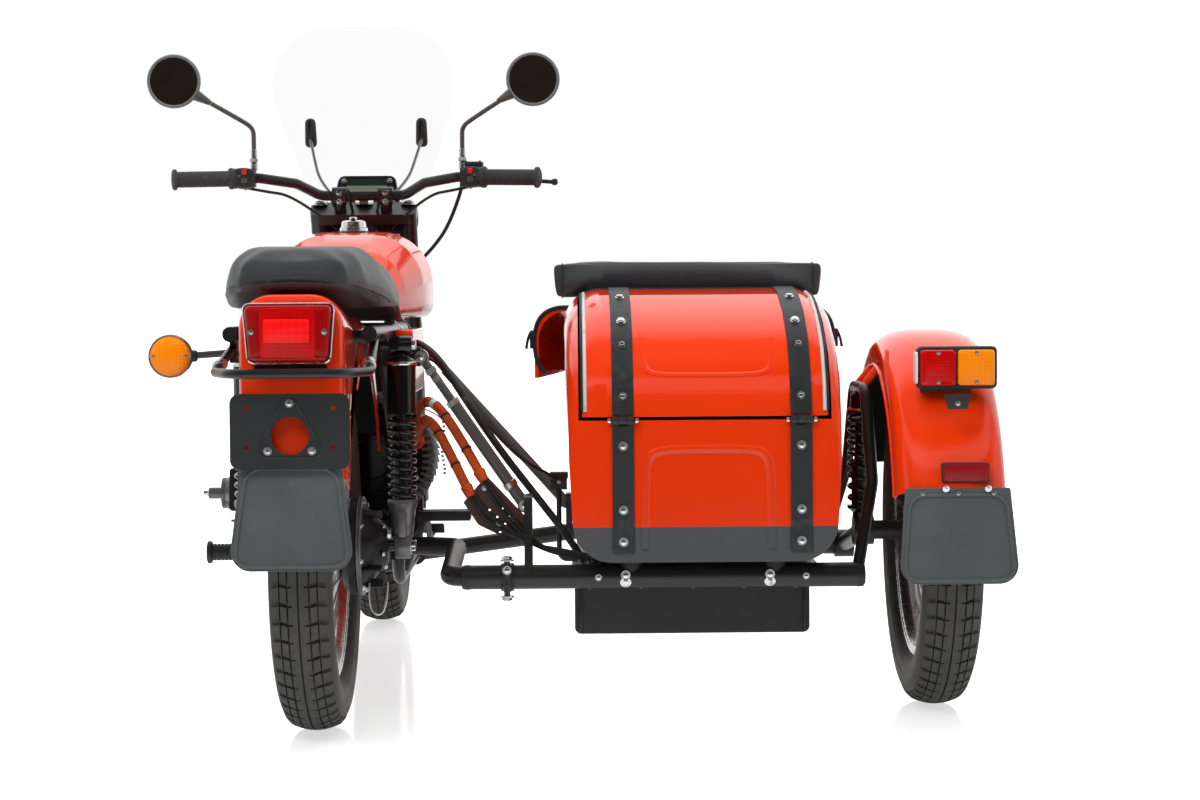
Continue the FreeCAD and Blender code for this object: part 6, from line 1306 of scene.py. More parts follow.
def make_cowl_edge():
    """Rubber round the cowl's rear edge and a rubber catch on each side."""
    rim = rounded(312, 74, 66, centre=(695, 681))
    route = [(x, 690, z) for x, z in rim if z > 612]
    show("cowl_edge_rubber", tube(route, 4.5, 12, order=3), SOFT_BLACK)
    for side, x in (("left", 386), ("right", 1004)):
        out = -1 if x < 600 else 1
        body = box(min(x, x + out * 13), max(x, x + out * 13), 694, 716, 668, 706, 3)
        hook = tube([(x + out * 10, 700, 704), (x + out * 18, 694, 690), (x + out * 20, 690, 668)],
                    3.2, 10)
        show("cowl_catch_" + side, joined(body, hook), SOFT_BLACK)


def domed(half, top, dome, skirt, steps=18, power=2.5):
    """Half a fender's section after another: (x, radius) pairs over a smooth dome."""
    points = [(-half, skirt)]
    for k in range(steps + 1):
        turn = math.pi * (1 - k / steps)
        reach = math.copysign(abs(math.cos(turn)) ** (2 / power), math.cos(turn)) * half
        points.append((reach, top - dome + dome * abs(math.sin(turn)) ** (2 / power)))
    return points + [(half, skirt)]


def swept(section, hub, first, last, steps=44):
    """Turn a closed (x, radius) section about an axle, from one angle to another."""
    rings = []
    for degrees in spread(first, last, steps):
        turn = math.radians(degrees)
        rings.append([at(hub[0] + x, hub[1] + r * math.cos(turn), hub[2] + r * math.sin(turn))
                      for x, r in section])
    return lofted(rings)


def fender_skin(half, top, dome, skirt):
    inner = domed(half - 3, top - 3, dome - 3, skirt)
    return domed(half, top, dome, skirt) + inner[::-1]


def wired_edge(name, hub, half, radius, first, last, body):
    """A rolled wire edge along both sides of a fender."""
    for side, x in (("left", -half), ("right", half)):
        ring = swept([(x + 3.2 * math.cos(a), radius + 3.2 * math.sin(a))
                      for a in spread(0, FULL_TURN * 9 / 10, 10)], hub, first, last)
        show(f"{name}_edge_{side}", ring, PAINT, body)


def carved(mesh, cutter):
    """A closed shape less another."""
    whole = bpy.data.objects.new("whole", mesh)
    blade = bpy.data.objects.new("blade", cutter)
    for piece in (whole, blade):
        bpy.context.scene.collection.objects.link(piece)
    cut = whole.modifiers.new("cut", "BOOLEAN")
    cut.operation = "DIFFERENCE"
    cut.solver = "EXACT"
    cut.object = blade
    settled(whole)
    made = whole.data
    bpy.data.objects.remove(whole)
    bpy.data.objects.remove(blade)
    return made


def hood(half, low, top, corner, steps=9):
    """An upright outline with a flat foot, large round shoulders and a slightly raised top."""
    points = [(-half, low), (half, low)]
    for side in (1, -1):
        arc = []
        for k in range(steps + 1):
            turn = math.pi / 2 * k / steps
            arc.append((side * (half - corner + corner * math.cos(turn)),
                        top - corner + corner * math.sin(turn)))
        points += arc if side > 0 else arc[::-1]
    return points


def make_fenders():
    """Domed fenders with wired edges, and the round-shouldered lamp housing."""
    side_hub = (1129, 225, AXLE_Z)
    shell = swept(fender_skin(97, 382, 46, 312), side_hub, 16, 164.5)
    lugs = [rod((1036, y, 637), (1006, y, 600), 9) for y in (180, 270)]
    show("sidecar_fender_shell", joined(shell, *lugs), FENDER_PAINT, replaces=("sidecar_fender",),
         crease=40, ease=1.0)
    wired_edge("sidecar_fender", side_hub, 97, 314, 16.5, 164, "chassis")
    arc = swept(fender_skin(88, 425, 44, 333), REAR_AXLE, 26, 158)
    block = stacked([(hood(88, 492, 748, 50), 0), (hood(88, 492, 774, 52), 130),
                     (hood(87, 492, 782, 54), 190), (hood(86, 492, 782, 54), 222),
                     (hood(84, 493, 779, 52), 229), (hood(80, 496, 774, 50), 233)], (0, -150, 0))
    space = domed(84, 421, 44, 0)
    block = carved(block, lathed(space, REAR_AXLE, "X", 96))
    block = carved(block, lathed([(-200, 0), (-200, 333), (200, 333), (200, 0)], REAR_AXLE, "X", 96))
    show("rear_fender_shell", joined(arc, block), REAR_FENDER_PAINT, replaces=("rear_fender",),
         crease=40, ease=1.0)
    wired_edge("rear_fender", REAR_AXLE, 88, 335, 27, 120, "chassis")
    shell = swept(fender_skin(70, 363, 34, 317), FRONT_AXLE, 12, 172)
    turn = math.radians(136)
    lug_y, lug_z = FRONT_AXLE[1] + 340 * math.cos(turn), AXLE_Z + 340 * math.sin(turn)
    lugs = [rod((s * 67, lug_y, lug_z), (s * 96, lug_y, lug_z), 10) for s in (-1, 1)]
    show("front_fender_shell", joined(shell, *lugs), PAINT, "steering", replaces=("front_fender",),
         crease=40, ease=1.0)
    wired_edge("front_fender", FRONT_AXLE, 70, 319, 12.5, 171.5, "steering")


def make_flaps():
    """Moulded rubber flaps with a raised border and their bolts."""
    for node, x, y, top, low, top_half, low_half in (
        ("rear_flap", 0, -700, 497, 336, 74, 95), ("sidecar_flap", 1134, -500, 424, 276, 84, 97),
    ):
        dressed(node, FLAP_RUBBER, ease=1.6)
        skin = Skin(merged_copy(node))
        border = rounded(low_half, (top - low) / 2, 30, top_half, 6, (x, (top + low) / 2))
        outline_tube(node + "_border", skin, border, y, 3.6, FLAP_RUBBER)
    skin = Skin(merged_copy("sidecar_flap"))
    spots = [skin.hit((x, -500, 427), AHEAD) for x in (1072, 1134, 1196)]
    screws("sidecar_flap_bolts", [(p, n, 4.5) for p, n in spots], ZINC, sides=16)


def make_tank():
    dressed("tank", PAINT, ease=1.0)
    dressed("side_panels", PAINT, ease=3.0)
    skirt = [(0, 29), (6, 30), (9, 29.4), (10, 27), (22, 25.5), (24, 23), (25.5, 16), (26, 0)]
    cap = lathed([(z - 2, r) for z, r in [(0, 0)] + skirt], (0, 800, 918), "Z", 48)
    lever = slab(rounded(7, 20, 6), (0, 806, 944), RIGHT, AHEAD, 4, 1.2)
    barrel = lathed([(0, 0), (0, 8), (4, 8), (5, 6.6), (5, 0)], (0, 786, 942.5), "Z", 28)
    show("filler_cap", joined(cap, lever, barrel), CHROME, replaces=("tank_cap",), crease=30)
    collar = lathed([(0, 30), (0, 36), (3, 35), (4.5, 31)], (0, 800, 913.5), "Z", 48, True)
    show("filler_collar", collar, SOFT_BLACK)


# Lamps and plate bracket


def make_tail_lamp():
    """A bright bezel, a domed prism lens, a black gasket and two screws."""
    zm = 718.5
    case = stacked([(rounded(67, 48.5, 14, 75), -2), (rounded(68, 49.4, 14, 76), 4),
                    (rounded(68, 49.4, 14, 76), 20), (rounded(66, 47.5, 13, 74), 24)], (0, -384, zm))
    show("tail_lamp_case", case, PLASTIC, replaces=("tail_lamp",))
    bezel = stacked([(rounded(68.5, 50, 14, 76.5), 18), (rounded(68.5, 50, 14, 76.5), 25),
                     (rounded(67, 48.5, 13, 75), 27), (rounded(65, 46.5, 12, 73), 26),
                     (rounded(65, 46.5, 12, 73), 18)], (0, -384, zm), ring=True)
    show("tail_lamp_bezel", bezel, CHROME)
    glass = stacked([(rounded(64, 45.5, 12, 72), 16), (rounded(64, 45.5, 12, 72), 32),
                     (rounded(62.5, 44, 11, 70.5), 36.5), (rounded(58, 40, 10, 66), 39.5),
                     (rounded(40, 26, 10, 46), 41.5)], (0, -384, zm))
    show("tail_lamp_lens", glass, RIBBED_LENS, crease=40)
    step = stacked([(rounded(45, 41, 5), 36), (rounded(45, 41, 5), 41.4),
                    (rounded(43.6, 39.6, 5), 42.2)], (0, -384, zm))
    show("tail_lamp_window", step, RED_LENS)
    eye = stacked([(rounded(37, 19, 3), 40), (rounded(37, 19, 3), 43), (rounded(36, 18, 3), 43.5)],
                  (-2, -384, zm + 4))
    show("tail_lamp_eye", eye, BRIGHT_LENS)
    screws("tail_lamp_screws", [((x, -422.5, zm + 2), BACK, 4.2) for x in (-59, 59)], CHROME, sides=16)
    slot = slab(rounded(60, 4.2, 4), (0, -383, 662), RIGHT, UP, 4, 1)
    show("plate_light_slot", slot, GLOSS_BLACK)


def make_plate_bracket():
    dressed("plate_bracket", POWDER, ease=1.2)
    skin = Skin(merged_copy("plate_bracket"))
    corners = [(0, 617), (16, 600), (56, 526), (52, 514), (-52, 514), (-56, 526), (-16, 600)]
    outline_tube("bracket_pressing", skin, corners, FAR_BEHIND, 1.8, POWDER, 0.2)
    spots = [((0, -410.2, 604), BACK, 5.4)]
    spots += [((x, -410.2, 526), BACK, 5.4) for x in (-36, 36)]
    screws("bracket_bolts", spots, CHROME, sides=20)


def make_turn_signal():
    """Amber dome in a bright rim on a black shell and stalk."""
    place = (-226, -200, 678)
    shell = lathed([(-6, 0), (-6, 36), (-3, 37.6), (3, 37.4), (12, 32), (19, 22), (22.6, 10), (23, 0)],
                   place)
    stalk = rod((-198, -194, 678), (-112, -200, 684), 6, 20)
    boot = lathed([(-16, 7), (-14, 9.5), (0, 10.5), (4, 9)], (-186, -196, 678), "X", 24)
    show("turn_signal_shell", joined(shell, stalk, boot), PLASTIC, replaces=("turn_signal",))
    rim = lathed([(-5, 38), (-11, 38), (-13, 36.5), (-13, 34.5), (-9, 34), (-5, 34)], place,
                 closed=True)
    show("turn_signal_rim", rim, CHROME)
    dome = lathed([(-6, 0), (-6, 34.3), (-12, 34.3), (-16, 31), (-19.5, 24), (-21.8, 14), (-22.6, 5),
                   (-22.8, 0)], place)
    show("turn_signal_lens", dome, AMBER_LENS, crease=50)
    screws("turn_signal_screws", [((-226 + s * 27, -217, 678), BACK, 2.6) for s in (-1, 1)],
           ZINC, sides=12)


def make_sidecar_lamp():
    """Red and amber lenses side by side on a black housing, with a bright end."""
    xm, zm = 1143.5, 645
    house = stacked([(rounded(60, 30, 8), -54), (rounded(69, 36, 10), -40),
                     (rounded(71.4, 37.8, 10), -28), (rounded(71.4, 37.8, 10), -14),
                     (rounded(69.5, 36, 9), -10)], (xm, -92, zm))
    foot = box(1083, 1175, -42, -4, 588, 618, 4)
    show("sidecar_lamp_house", joined(house, foot), PLASTIC, replaces=("sidecar_lamp",))
    for name, low, high, material in (("red", 1077, 1140, RED_LENS), ("amber", 1144, 1209, AMBER_LENS)):
        mid, half = (low + high) / 2, (high - low) / 2
        glass = stacked([(rounded(half, 31.5, 7), -12), (rounded(half, 31.5, 7), -4),
                         (rounded(half - 1.6, 30, 7), -1), (rounded(half - 6, 26, 6), 0.6)],
                        (mid, -92, zm))
        show("sidecar_lamp_" + name, glass, material, crease=40)
        screws(f"sidecar_lamp_screws_{name}", [((mid, -92, zm + s * 26), BACK, 2.8) for s in (-1, 1)],
               ZINC, sides=12)
    end = stacked([(rounded(17, 28, 6), 0), (rounded(17, 28, 6), 2.5), (rounded(14, 25, 5), 3.6)],
                  (1072.5, -71, zm), BACK, UP)
    show("sidecar_lamp_end", end, WHITE_PLASTIC)
    tab = slab([(-17, 0), (17, 0), (24, 26), (-24, 26)], (1134, -143, 574), RIGHT, UP, 4, 1)
    show("sidecar_lamp_tab", tab, PLASTIC)
    screws("sidecar_lamp_bolt", [((1134, -147, 584), BACK, 4)], CHROME, sides=16)


def make_reflector():
    case = stacked([(rounded(42, 17.5, 4), -12), (rounded(42, 17.5, 4), 0), (rounded(40.6, 16, 4), 2)],
                   (1149, -141, 462.5))
    show("reflector_case", case, PLASTIC, replaces=("reflector",))
    glass = stacked([(rounded(39, 14.5, 3), -1), (rounded(39, 14.5, 3), 2.6),
                     (rounded(37.6, 13, 3), 3.6)], (1149, -141, 462.5))
    show("reflector_lens", glass, REFLECTOR_RED)
    screws("reflector_bolts", [((x, -154.5, 436), (0, -1, -0.3), 4.4) for x in (1112, 1186)],
           CHROME, sides=16)


# Seats


def stuffed_seat():
    """The dual seat: a swollen cover with a piped seam above its skirt."""
    pad = stuffed("seat_pad", merged_copy("seat"), "chassis", "seat", 4, 8, lambda p, n: n.z < -0.5, 24)
    skin = Skin(pad.data)
    slope = [(480, 741), (300, 741), (150, 743), (40, 752), (-60, 768), (-150, 779), (-240, 787),
             (-296, 793)]
    rear = [(-98, 797), (-70, 801), (-35, 805), (0, 806), (35, 805), (70, 801), (98, 797)]

    def seam(rise):
        route = skin.hits([(-400, y, z + rise) for y, z in slope], RIGHT, 0.4)
        route += skin.hits([(x, FAR_BEHIND, z + rise) for x, z in rear], AHEAD, 0.4)
        return route + skin.hits([(400, y, z + rise) for y, z in reversed(slope)], LEFT, 0.4)

    show("seat_piping", tube(seam(0), 2.1, 10, order=3), SOFT_BLACK, slot="black_vinyl")
    stitched("seat_stitches", seam(9))
    stitched("seat_stitches_low", seam(-7))
    over = skin.hits([(x, 250 + abs(x) * 0.04, 1100) for x in spread(-150, 150, 9)], DOWN, 1.0)
    show("seat_welt", tube(over, 2.4, 10, order=4), SOFT_BLACK, slot="black_vinyl")


def stuffed_backrest():
    """The sidecar's backrest with its wide roll, end seams and fastening patch."""
    pad_face = slab(rounded(200, 196, 14), (695, 380, 632), RIGHT, UP, 66, 10)
    roll = slab(rounded(265, 36, 13), (686, 385, 816.5), RIGHT, UP, 76, 7)
    pad = stuffed("backrest_pad", joined(pad_face, roll), "chassis", "seat_back", 5, 14,
                  lambda p, n: n.y < -0.7 and p.z < 785)
    skin = Skin(pad.data)
    for side, x in (("left", 444), ("right", 928)):
        loop = []
        for turn in spread(0, FULL_TURN, 19):
            way = Vector((0, -math.cos(turn), -math.sin(turn)))
            found = skin.hit(Vector((x, 347, 816.5)) - way * 90, way, 0.3)
            loop.append(found[0])
        show("roll_piping_" + side, tube(loop, 2.0, 10, order=4), SOFT_BLACK, slot="black_vinyl")
    row = skin.hits([(x, 100, 839) for x in spread(452, 920, 20)], AHEAD, 0.4)
    stitched("roll_stitches", row)
    pile = patch(skin, 516, 858, 790, 834, 100, 1.6)
    show("fastening_patch", pile, PILE)
    for k, z in enumerate((560, 680)):
        across = skin.hits([(x, 700, z) for x in spread(505, 885, 16)], BACK, 0.3)
        show(f"backrest_channel_{k}", tube(across, 2.0, 8, order=4), SOFT_BLACK, slot="black_vinyl")


def stuffed_cushion():
    """The sidecar's seat cushion with two sewn channels and piping."""
    pad = stuffed("cushion_pad", merged_copy("seat_cushion"), "chassis", "seat_cushion", 9, 14,
                  lambda p, n: n.z < -0.5)
    skin = Skin(pad.data)
    for k, y in enumerate((430, 550)):
        across = skin.hits([(x, y, 700) for x in spread(480, 910, 18)], DOWN, 0.3)
        show(f"cushion_channel_{k}", tube(across, 2.0, 8, order=4), SOFT_BLACK, slot="black_vinyl")
    front = skin.hits([(x, 900, 410) for x in spread(480, 910, 18)], BACK, 0.3)
    show("cushion_piping", tube(front, 2.2, 8, order=4), SOFT_BLACK, slot="black_vinyl")
    stitched("cushion_stitches", [(x, y, z - 7) for x, y, z in front])


make_tub()
make_lid_trim()
make_cowl_edge()
make_fenders()
make_flaps()
make_tank()
make_tail_lamp()
make_plate_bracket()
make_turn_signal()
make_sidecar_lamp()
make_reflector()
stuffed_seat()
stuffed_backrest()
stuffed_cushion()


# Frames and running gear

FINS = 54


def make_shock(side, x, eye_half):
    """Can with a bright ring, black coil over a black rod, cast clevis and two eyes."""
    node = "rear_shock_" + side
    can = lathed([(0, 0), (0, 24), (2, 27), (10, 27), (12, 26), (92, 26), (96, 25), (100, 22),
                  (104, 12), (104, 0)], (x, 0, 566), "Z", 56)
    eye = lathed([(-eye_half, 9), (-eye_half, 15), (-eye_half + 3, 17), (eye_half - 3, 17),
                  (eye_half, 15), (eye_half, 9)], (x, 0, 690), "X", 40, True)
    neck = rod((x, 0, 664), (x, 0, 682), 9, 20)
    show(node + "_can", joined(can, eye, neck), GLOSS_BLACK, slot="spring_steel", replaces=(node,))
    ring = lathed([(0, 25), (0, 27.3), (1, 27.9), (5, 27.9), (6, 27.3), (6, 25)], (x, 0, 655),
                  "Z", 56, True)
    show(node + "_ring", ring, CHROME)
    coil_spring(node + "_spring", (x, 0, 417), 146, 9, 22.4, 4.2)
    damper = lathed([(0, 0), (0, 17), (80, 17), (84, 15), (86, 10), (160, 9), (160, 0)],
                    (x, 0, 408), "Z", 40)
    show(node + "_damper", damper, BLACK_FRAME, slot="spring_steel")
    seat = [(0, 0), (0, 14), (6, 19), (30, 21), (50, 23), (60, 26.5), (66, 27.5), (70, 26), (71, 0)]
    clevis = lathed(seat, (x, 0, 343), "Z", 40)
    low = lathed([(-14, 0), (-14, 22), (-11, 24), (11, 24), (14, 22), (14, 0)], (x, 0, AXLE_Z), "X", 40)
    web = box(x - 8, x + 8, -26, 26, 345, 395, 5)
    show(node + "_clevis", joined(clevis, low, web), CAST_GREY)
    out = 1 if x > 0 else -1
    bolt = rod((x + out * 13, 0, AXLE_Z), (x + out * 24, 0, AXLE_Z), 11, 6, 1.5)
    washer = rod((x + out * 12, 0, AXLE_Z), (x + out * 16, 0, AXLE_Z), 16, 28)
    top = rod((x + out * (eye_half - 2), 0, 690), (x + out * (eye_half + 7), 0, 690), 9, 6, 1.2)
    show(node + "_nuts", joined(bolt, washer, top), CHROME, crease=25)


def make_sidecar_shock():
    x, y = 1006, 225
    body = lathed([(-28, 0), (-28, 12), (-18, 13), (0, 14), (8, 24), (14, 24), (14, 16), (96, 16),
                   (98, 10), (170, 8), (170, 0)], (x, y, 363), "Z", 40)
    can = lathed([(0, 0), (0, 24), (8, 24), (10, 18), (34, 17), (40, 11), (40, 0)],
                 (x, y, 552), "Z", 40)
    show("sidecar_shock_body", joined(body, can), GLOSS_BLACK, slot="spring_steel",
         replaces=("sidecar_shock",))
    coil_spring("sidecar_shock_spring", (x, y, 380), 172, 8, 20, 4)
    ring = lathed([(0, 22), (0, 24.6), (5, 24.6), (5, 22)], (x, y, 556), "Z", 48, True)
    show("sidecar_shock_ring", ring, CHROME)


def motor_fin():
    """One thin blade that leans round the drum as it runs forward."""
    rows = []
    for x in spread(-96, 96, 9):
        turn = 0.16 * x / 96
        for radius in (109, 125.5):
            for half in (-1.1, 1.1):
                angle = turn + half / radius
                rows.append(Vector((x, radius * math.cos(angle), radius * math.sin(angle))) * MM)
    faces = []
    for k in range(8):
        a = k * 4
        faces += [[a, a + 4, a + 6, a + 2], [a + 1, a + 3, a + 7, a + 5], [a + 2, a + 6, a + 7, a + 3],
                  [a, a + 1, a + 5, a + 4]]
    faces += [[0, 2, 3, 1], [32, 33, 35, 34]]
    mesh = mesh_from(rows, faces)
    outward(mesh)
    return mesh


def make_motor():
    """A finned drum, a toothed rear rim and a round black cover with its screws."""
    x, z = 65, 460
    place = (x, 493, z)
    drum = lathed([(-93, 0), (-93, 108), (-88, 112), (94, 112), (98.6, 108), (98.6, 0)], place, "Y", 96)
    show("motor_drum", drum, CAST_DARK, replaces=("drive_motor",))
    fins = RING.grow(motor_fin(), count=FINS, centre=at(*place), turn=(0, 0, math.pi / 2),
                     finish=CAST_GREY)
    show("motor_fins", fins, slot="cast_aluminium")
    tooth = box(-2.6, 2.6, -2.6, 2.6, 100, 124, 0.8)
    tooth.transform(Matrix.Translation(-ORIGIN))
    rim = RING.grow(tooth, count=FINS, centre=at(x, 398, z), turn=(0, 0, math.pi / 2), finish=CAST_GREY)
    show("motor_rear_teeth", rim, slot="cast_aluminium")
    steps = [(12, 0), (12, 104), (4, 104), (1, 100), (1, 92), (3, 90), (3, 66), (0.5, 63), (0.5, 40),
             (4, 38), (4, 0)]
    cover = lathed(steps, (x, 393.5, z), "Y", 96)
    show("motor_cover", cover, GLOSS_BLACK, slot="cast_aluminium")
    spots = []
    for i in range(8):
        turn = FULL_TURN * (i + 0.5) / 8
        spots.append(((x + 96 * math.cos(turn), 394.2, z + 96 * math.sin(turn)), BACK, 3.6))
    screws("motor_cover_screws", spots, ZINC)
    glands = []
    for x, z in ((152, 536), (156, 494)):
        glands.append(lathed([(-34, 0), (-34, 11), (-20, 12.5), (-18, 15), (2, 15), (4, 13), (4, 0)],
                             (x, 396, z), "Y", 28))
    show("motor_cable_glands", joined(*glands), CONDUIT)


def make_final_drive():
    """Bevel case with its bright joint ring, bolts, level plug and a wire bail below."""
    dressed("final_drive", CAST_DARK, slot="black_paint", ease=1.6)
    ring = lathed([(0, 70), (0, 88.5), (1.5, 89.6), (7, 89.6), (8.5, 88.5), (8.5, 70)], (76, 0, AXLE_Z),
                  "X", 96, True)
    show("final_drive_ring", ring, CAST_GREY)
    spots = []
    for i in range(8):
        turn = FULL_TURN * (i + 0.3) / 8
        spots.append(((84, 82 * math.cos(turn), AXLE_Z + 82 * math.sin(turn)), RIGHT, 5.2))
    spots += [((120, 40 * math.cos(t), AXLE_Z + 40 * math.sin(t)), RIGHT, 4.6) for t in (2.0, 3.4, 5.0)]
    screws("final_drive_bolts", spots, CHROME)
    ribs = []
    for turn in (0.5, 1.3, 2.1, 2.9, 3.7, 4.5):
        rib = box(-6, 30, -2.5, 2.5, 60, 76, 2)
        rib.transform(Matrix.Rotation(turn, 4, "X") @ Matrix.Translation(-ORIGIN))
        rib.transform(Matrix.Translation(at(90, 0, AXLE_Z)))
        ribs.append(rib)
    show("final_drive_ribs", joined(*ribs), CAST_DARK)
    bail = tube([(98, -62, 268), (98, -76, 240), (106, -80, 214), (122, -78, 214), (130, -72, 240),
                 (130, -60, 270)], 1.8, 8)
    show("axle_bail", bail, ZINC)
    plug = lathed([(0, 0), (0, 9), (5, 9), (7, 7), (7, 0)], (128, -20, 352), "X", 6)
    show("level_plug", plug, CHROME, crease=20)


def make_gear_case():
    """Ribbed case, and on its left boss a cap, round cup, forked lever and nut."""
    dressed("gear_case", CAST_GREY, ease=2.0)
    z, y = 376, 640
    cap = lathed([(0, 0), (0, 33), (-4, 34.5), (-22, 33), (-26, 28), (-30, 22), (-31, 0)],
                 (-230, y, z), "X", 48)
    show("boss_cup", cap, CAST_SILVER, slot="cast_aluminium")
    nut = rod((-258, y, z), (-292, y, z), 12, 6, 2)
    stud = rod((-288, y, z), (-302, y, z), 6, 20)
    show("boss_nut", joined(nut, stud), CHROME, crease=25)
    fork = [slab(rounded(9, 44, 8), (-206 - k * 26, y - 48, z + 10), RIGHT, (0, 0.2, 1), 9, 2)
            for k in (0, 1)]
    arm = rod((-219, y - 52, z + 48), (-219, y - 20, z + 78), 7, 16)
    show("boss_lever", joined(*fork, arm), BLACK_FRAME)
    plate = slab([(0, 0), (52, 0), (60, 40), (30, 66), (0, 60)], (-205, y - 44, z - 28),
                 RIGHT, UP, 5, 1.2)
    show("boss_plate", plate, CAST_GREY)
    spots = [((-190, y - 49.5, z + 24), BACK, 6), ((-160, y - 49.5, z - 16), BACK, 5),
             ((-176, y, z + 43), UP, 6.5)]
    screws("boss_bolts", spots, CHROME)
    levers = [tube([(-150, y - 30, z - 40), (-176, y - 60, z - 66), (-206, y - 64, z - 72)], 4, 10),
              tube([(-190, y - 20, z - 40), (-214, y - 40, z - 58), (-240, y - 40, z - 54)], 3.4, 10)]
    show("boss_small_levers", joined(*levers), ZINC)


def make_foot_controls():
    """Ribbed rubber rest on the left, toothed rest and brake pedal on the right."""
    dressed("foot_controls", BLACK_FRAME, slot="spring_steel", ease=0.8)
    profile = [(0, 0), (0, 20.5), (2, 22.6), (6, 22.6), (8, 20)]
    for i in range(13):
        at_x = 12 + i * 7.6
        profile += [(at_x, 15.6), (at_x + 1, 17.2), (at_x + 4.6, 17.2), (at_x + 5.6, 15.6)]
    profile += [(112, 15), (113, 0)]
    rubber = lathed(profile, (-273.5, 500, 268), "X", 40)
    show("left_rest_rubber", rubber, SOFT_BLACK)
    bars = [box(150.5, 255.5, 475, 479, 329, 349, 1), box(150.5, 255.5, 521, 525, 329, 349, 1)]
    show("right_rest_edges", joined(*bars), POWDER, slot="spring_steel")
    pad = [box(146, 190, 678 + k * 6, 681 + k * 6, 301, 304.5, 0.8) for k in range(4)]
    show("pedal_ribs", joined(*pad), SOFT_BLACK)


def make_frames():
    """Tubes with soft shading, and the bolts, collars and caps that hold them."""
    for node in ("bike_frame", "swing_arm", "sidecar_frame", "sidecar_swing_arm", "grab_rail"):
        dressed(node, BLACK_FRAME, ease=0.6)
    dressed("sidecar_struts", GREY_TUBE, ease=0.6)
    spots = []
    for x in (565, 825):
        spots += [((x, 0, 291.6), UP, 8.5), ((x - 10, -21.6, 274), BACK, 6.5),
                  ((x - 10, -18, 262), (0, -1, -0.6), 7.5)]
    spots += [((x, -21.5, 270), BACK, 4.5) for x in (506, 880)]
    screws("cross_tube_bolts", spots, CHROME)
    clamp = rod((330, 0, 270), (354, 0, 270), 25.5, 32, 1.5)
    lugs = [box(335, 350, -34, -18, 246, 296, 3), rod((342, -30, 238), (342, -30, 304), 5.5, 20)]
    show("tube_clamp", joined(clamp, *lugs), BLACK_FRAME)
    ends = [((342, -30, 302), UP, 9), ((342, -30, 240), DOWN, 9), ((342, -35, 286), BACK, 6)]
    screws("tube_clamp_bolts", ends, CHROME)
    cap = lathed([(-2, 0), (-3, 17), (-1.5, 20.5), (0, 21.6), (6, 22.6), (12, 22.6), (12, 0)],
                 (262, 0, 270), "X", 40)
    show("cross_tube_cap", cap, SOFT_BLACK, slot="black_plastic")
    cap = lathed([(2, 0), (3, 17), (1.5, 20.5), (0, 21.6), (-6, 22.6), (-12, 22.6), (-12, 0)],
                 (985, 0, 270), "X", 40)
    show("cross_tube_right_cap", cap, SOFT_BLACK, slot="black_plastic")
    top, foot = Vector((186, 60, 668)), Vector((373, 60, 395))
    run = (foot - top).normalized()
    rings = [rod(top + run * s, top + run * (s + 11), r, n, 1)
             for s, r, n in ((26, 11.5, 6), (96, 12.6, 24), (44, 9.6, 6))]
    rings.append(rod(foot - run * 52, foot - run * 40, 13.4, 24, 1))
    show("strut_collars", joined(*rings), ZINC, crease=25)
    balls = [lathed([(-9, 0), (-9, 9), (-6, 13.6), (6, 13.6), (9, 9), (9, 0)], p, "Y", 32)
             for p in (top, foot)]
    show("strut_eyes", joined(*balls), CHROME)
    screws("strut_eye_bolts", [((p[0], 50, p[2]), BACK, 8) for p in (top, foot)], CHROME)
    rail_ends = [rod((s * 122, -318, 668), (s * 126, -338, 662), 11, 24, 1) for s in (-1, 1)]
    show("grab_rail_collars", joined(*rail_ends), ZINC)
    side = [((s * 126, 330, 715), (s, 0, 0), 7) for s in (-1, 1)]
    side += [((84 + s * 22, 165, AXLE_Z), UP, 6) for s in (-1, 1)]
    screws("frame_side_bolts", side, ZINC)


def along(line, share):
    """A place at a share of a line's points, and the line's direction there."""
    i = int(share * (len(line) - 1))
    return line[i], (line[i + 1] - line[i]).normalized()


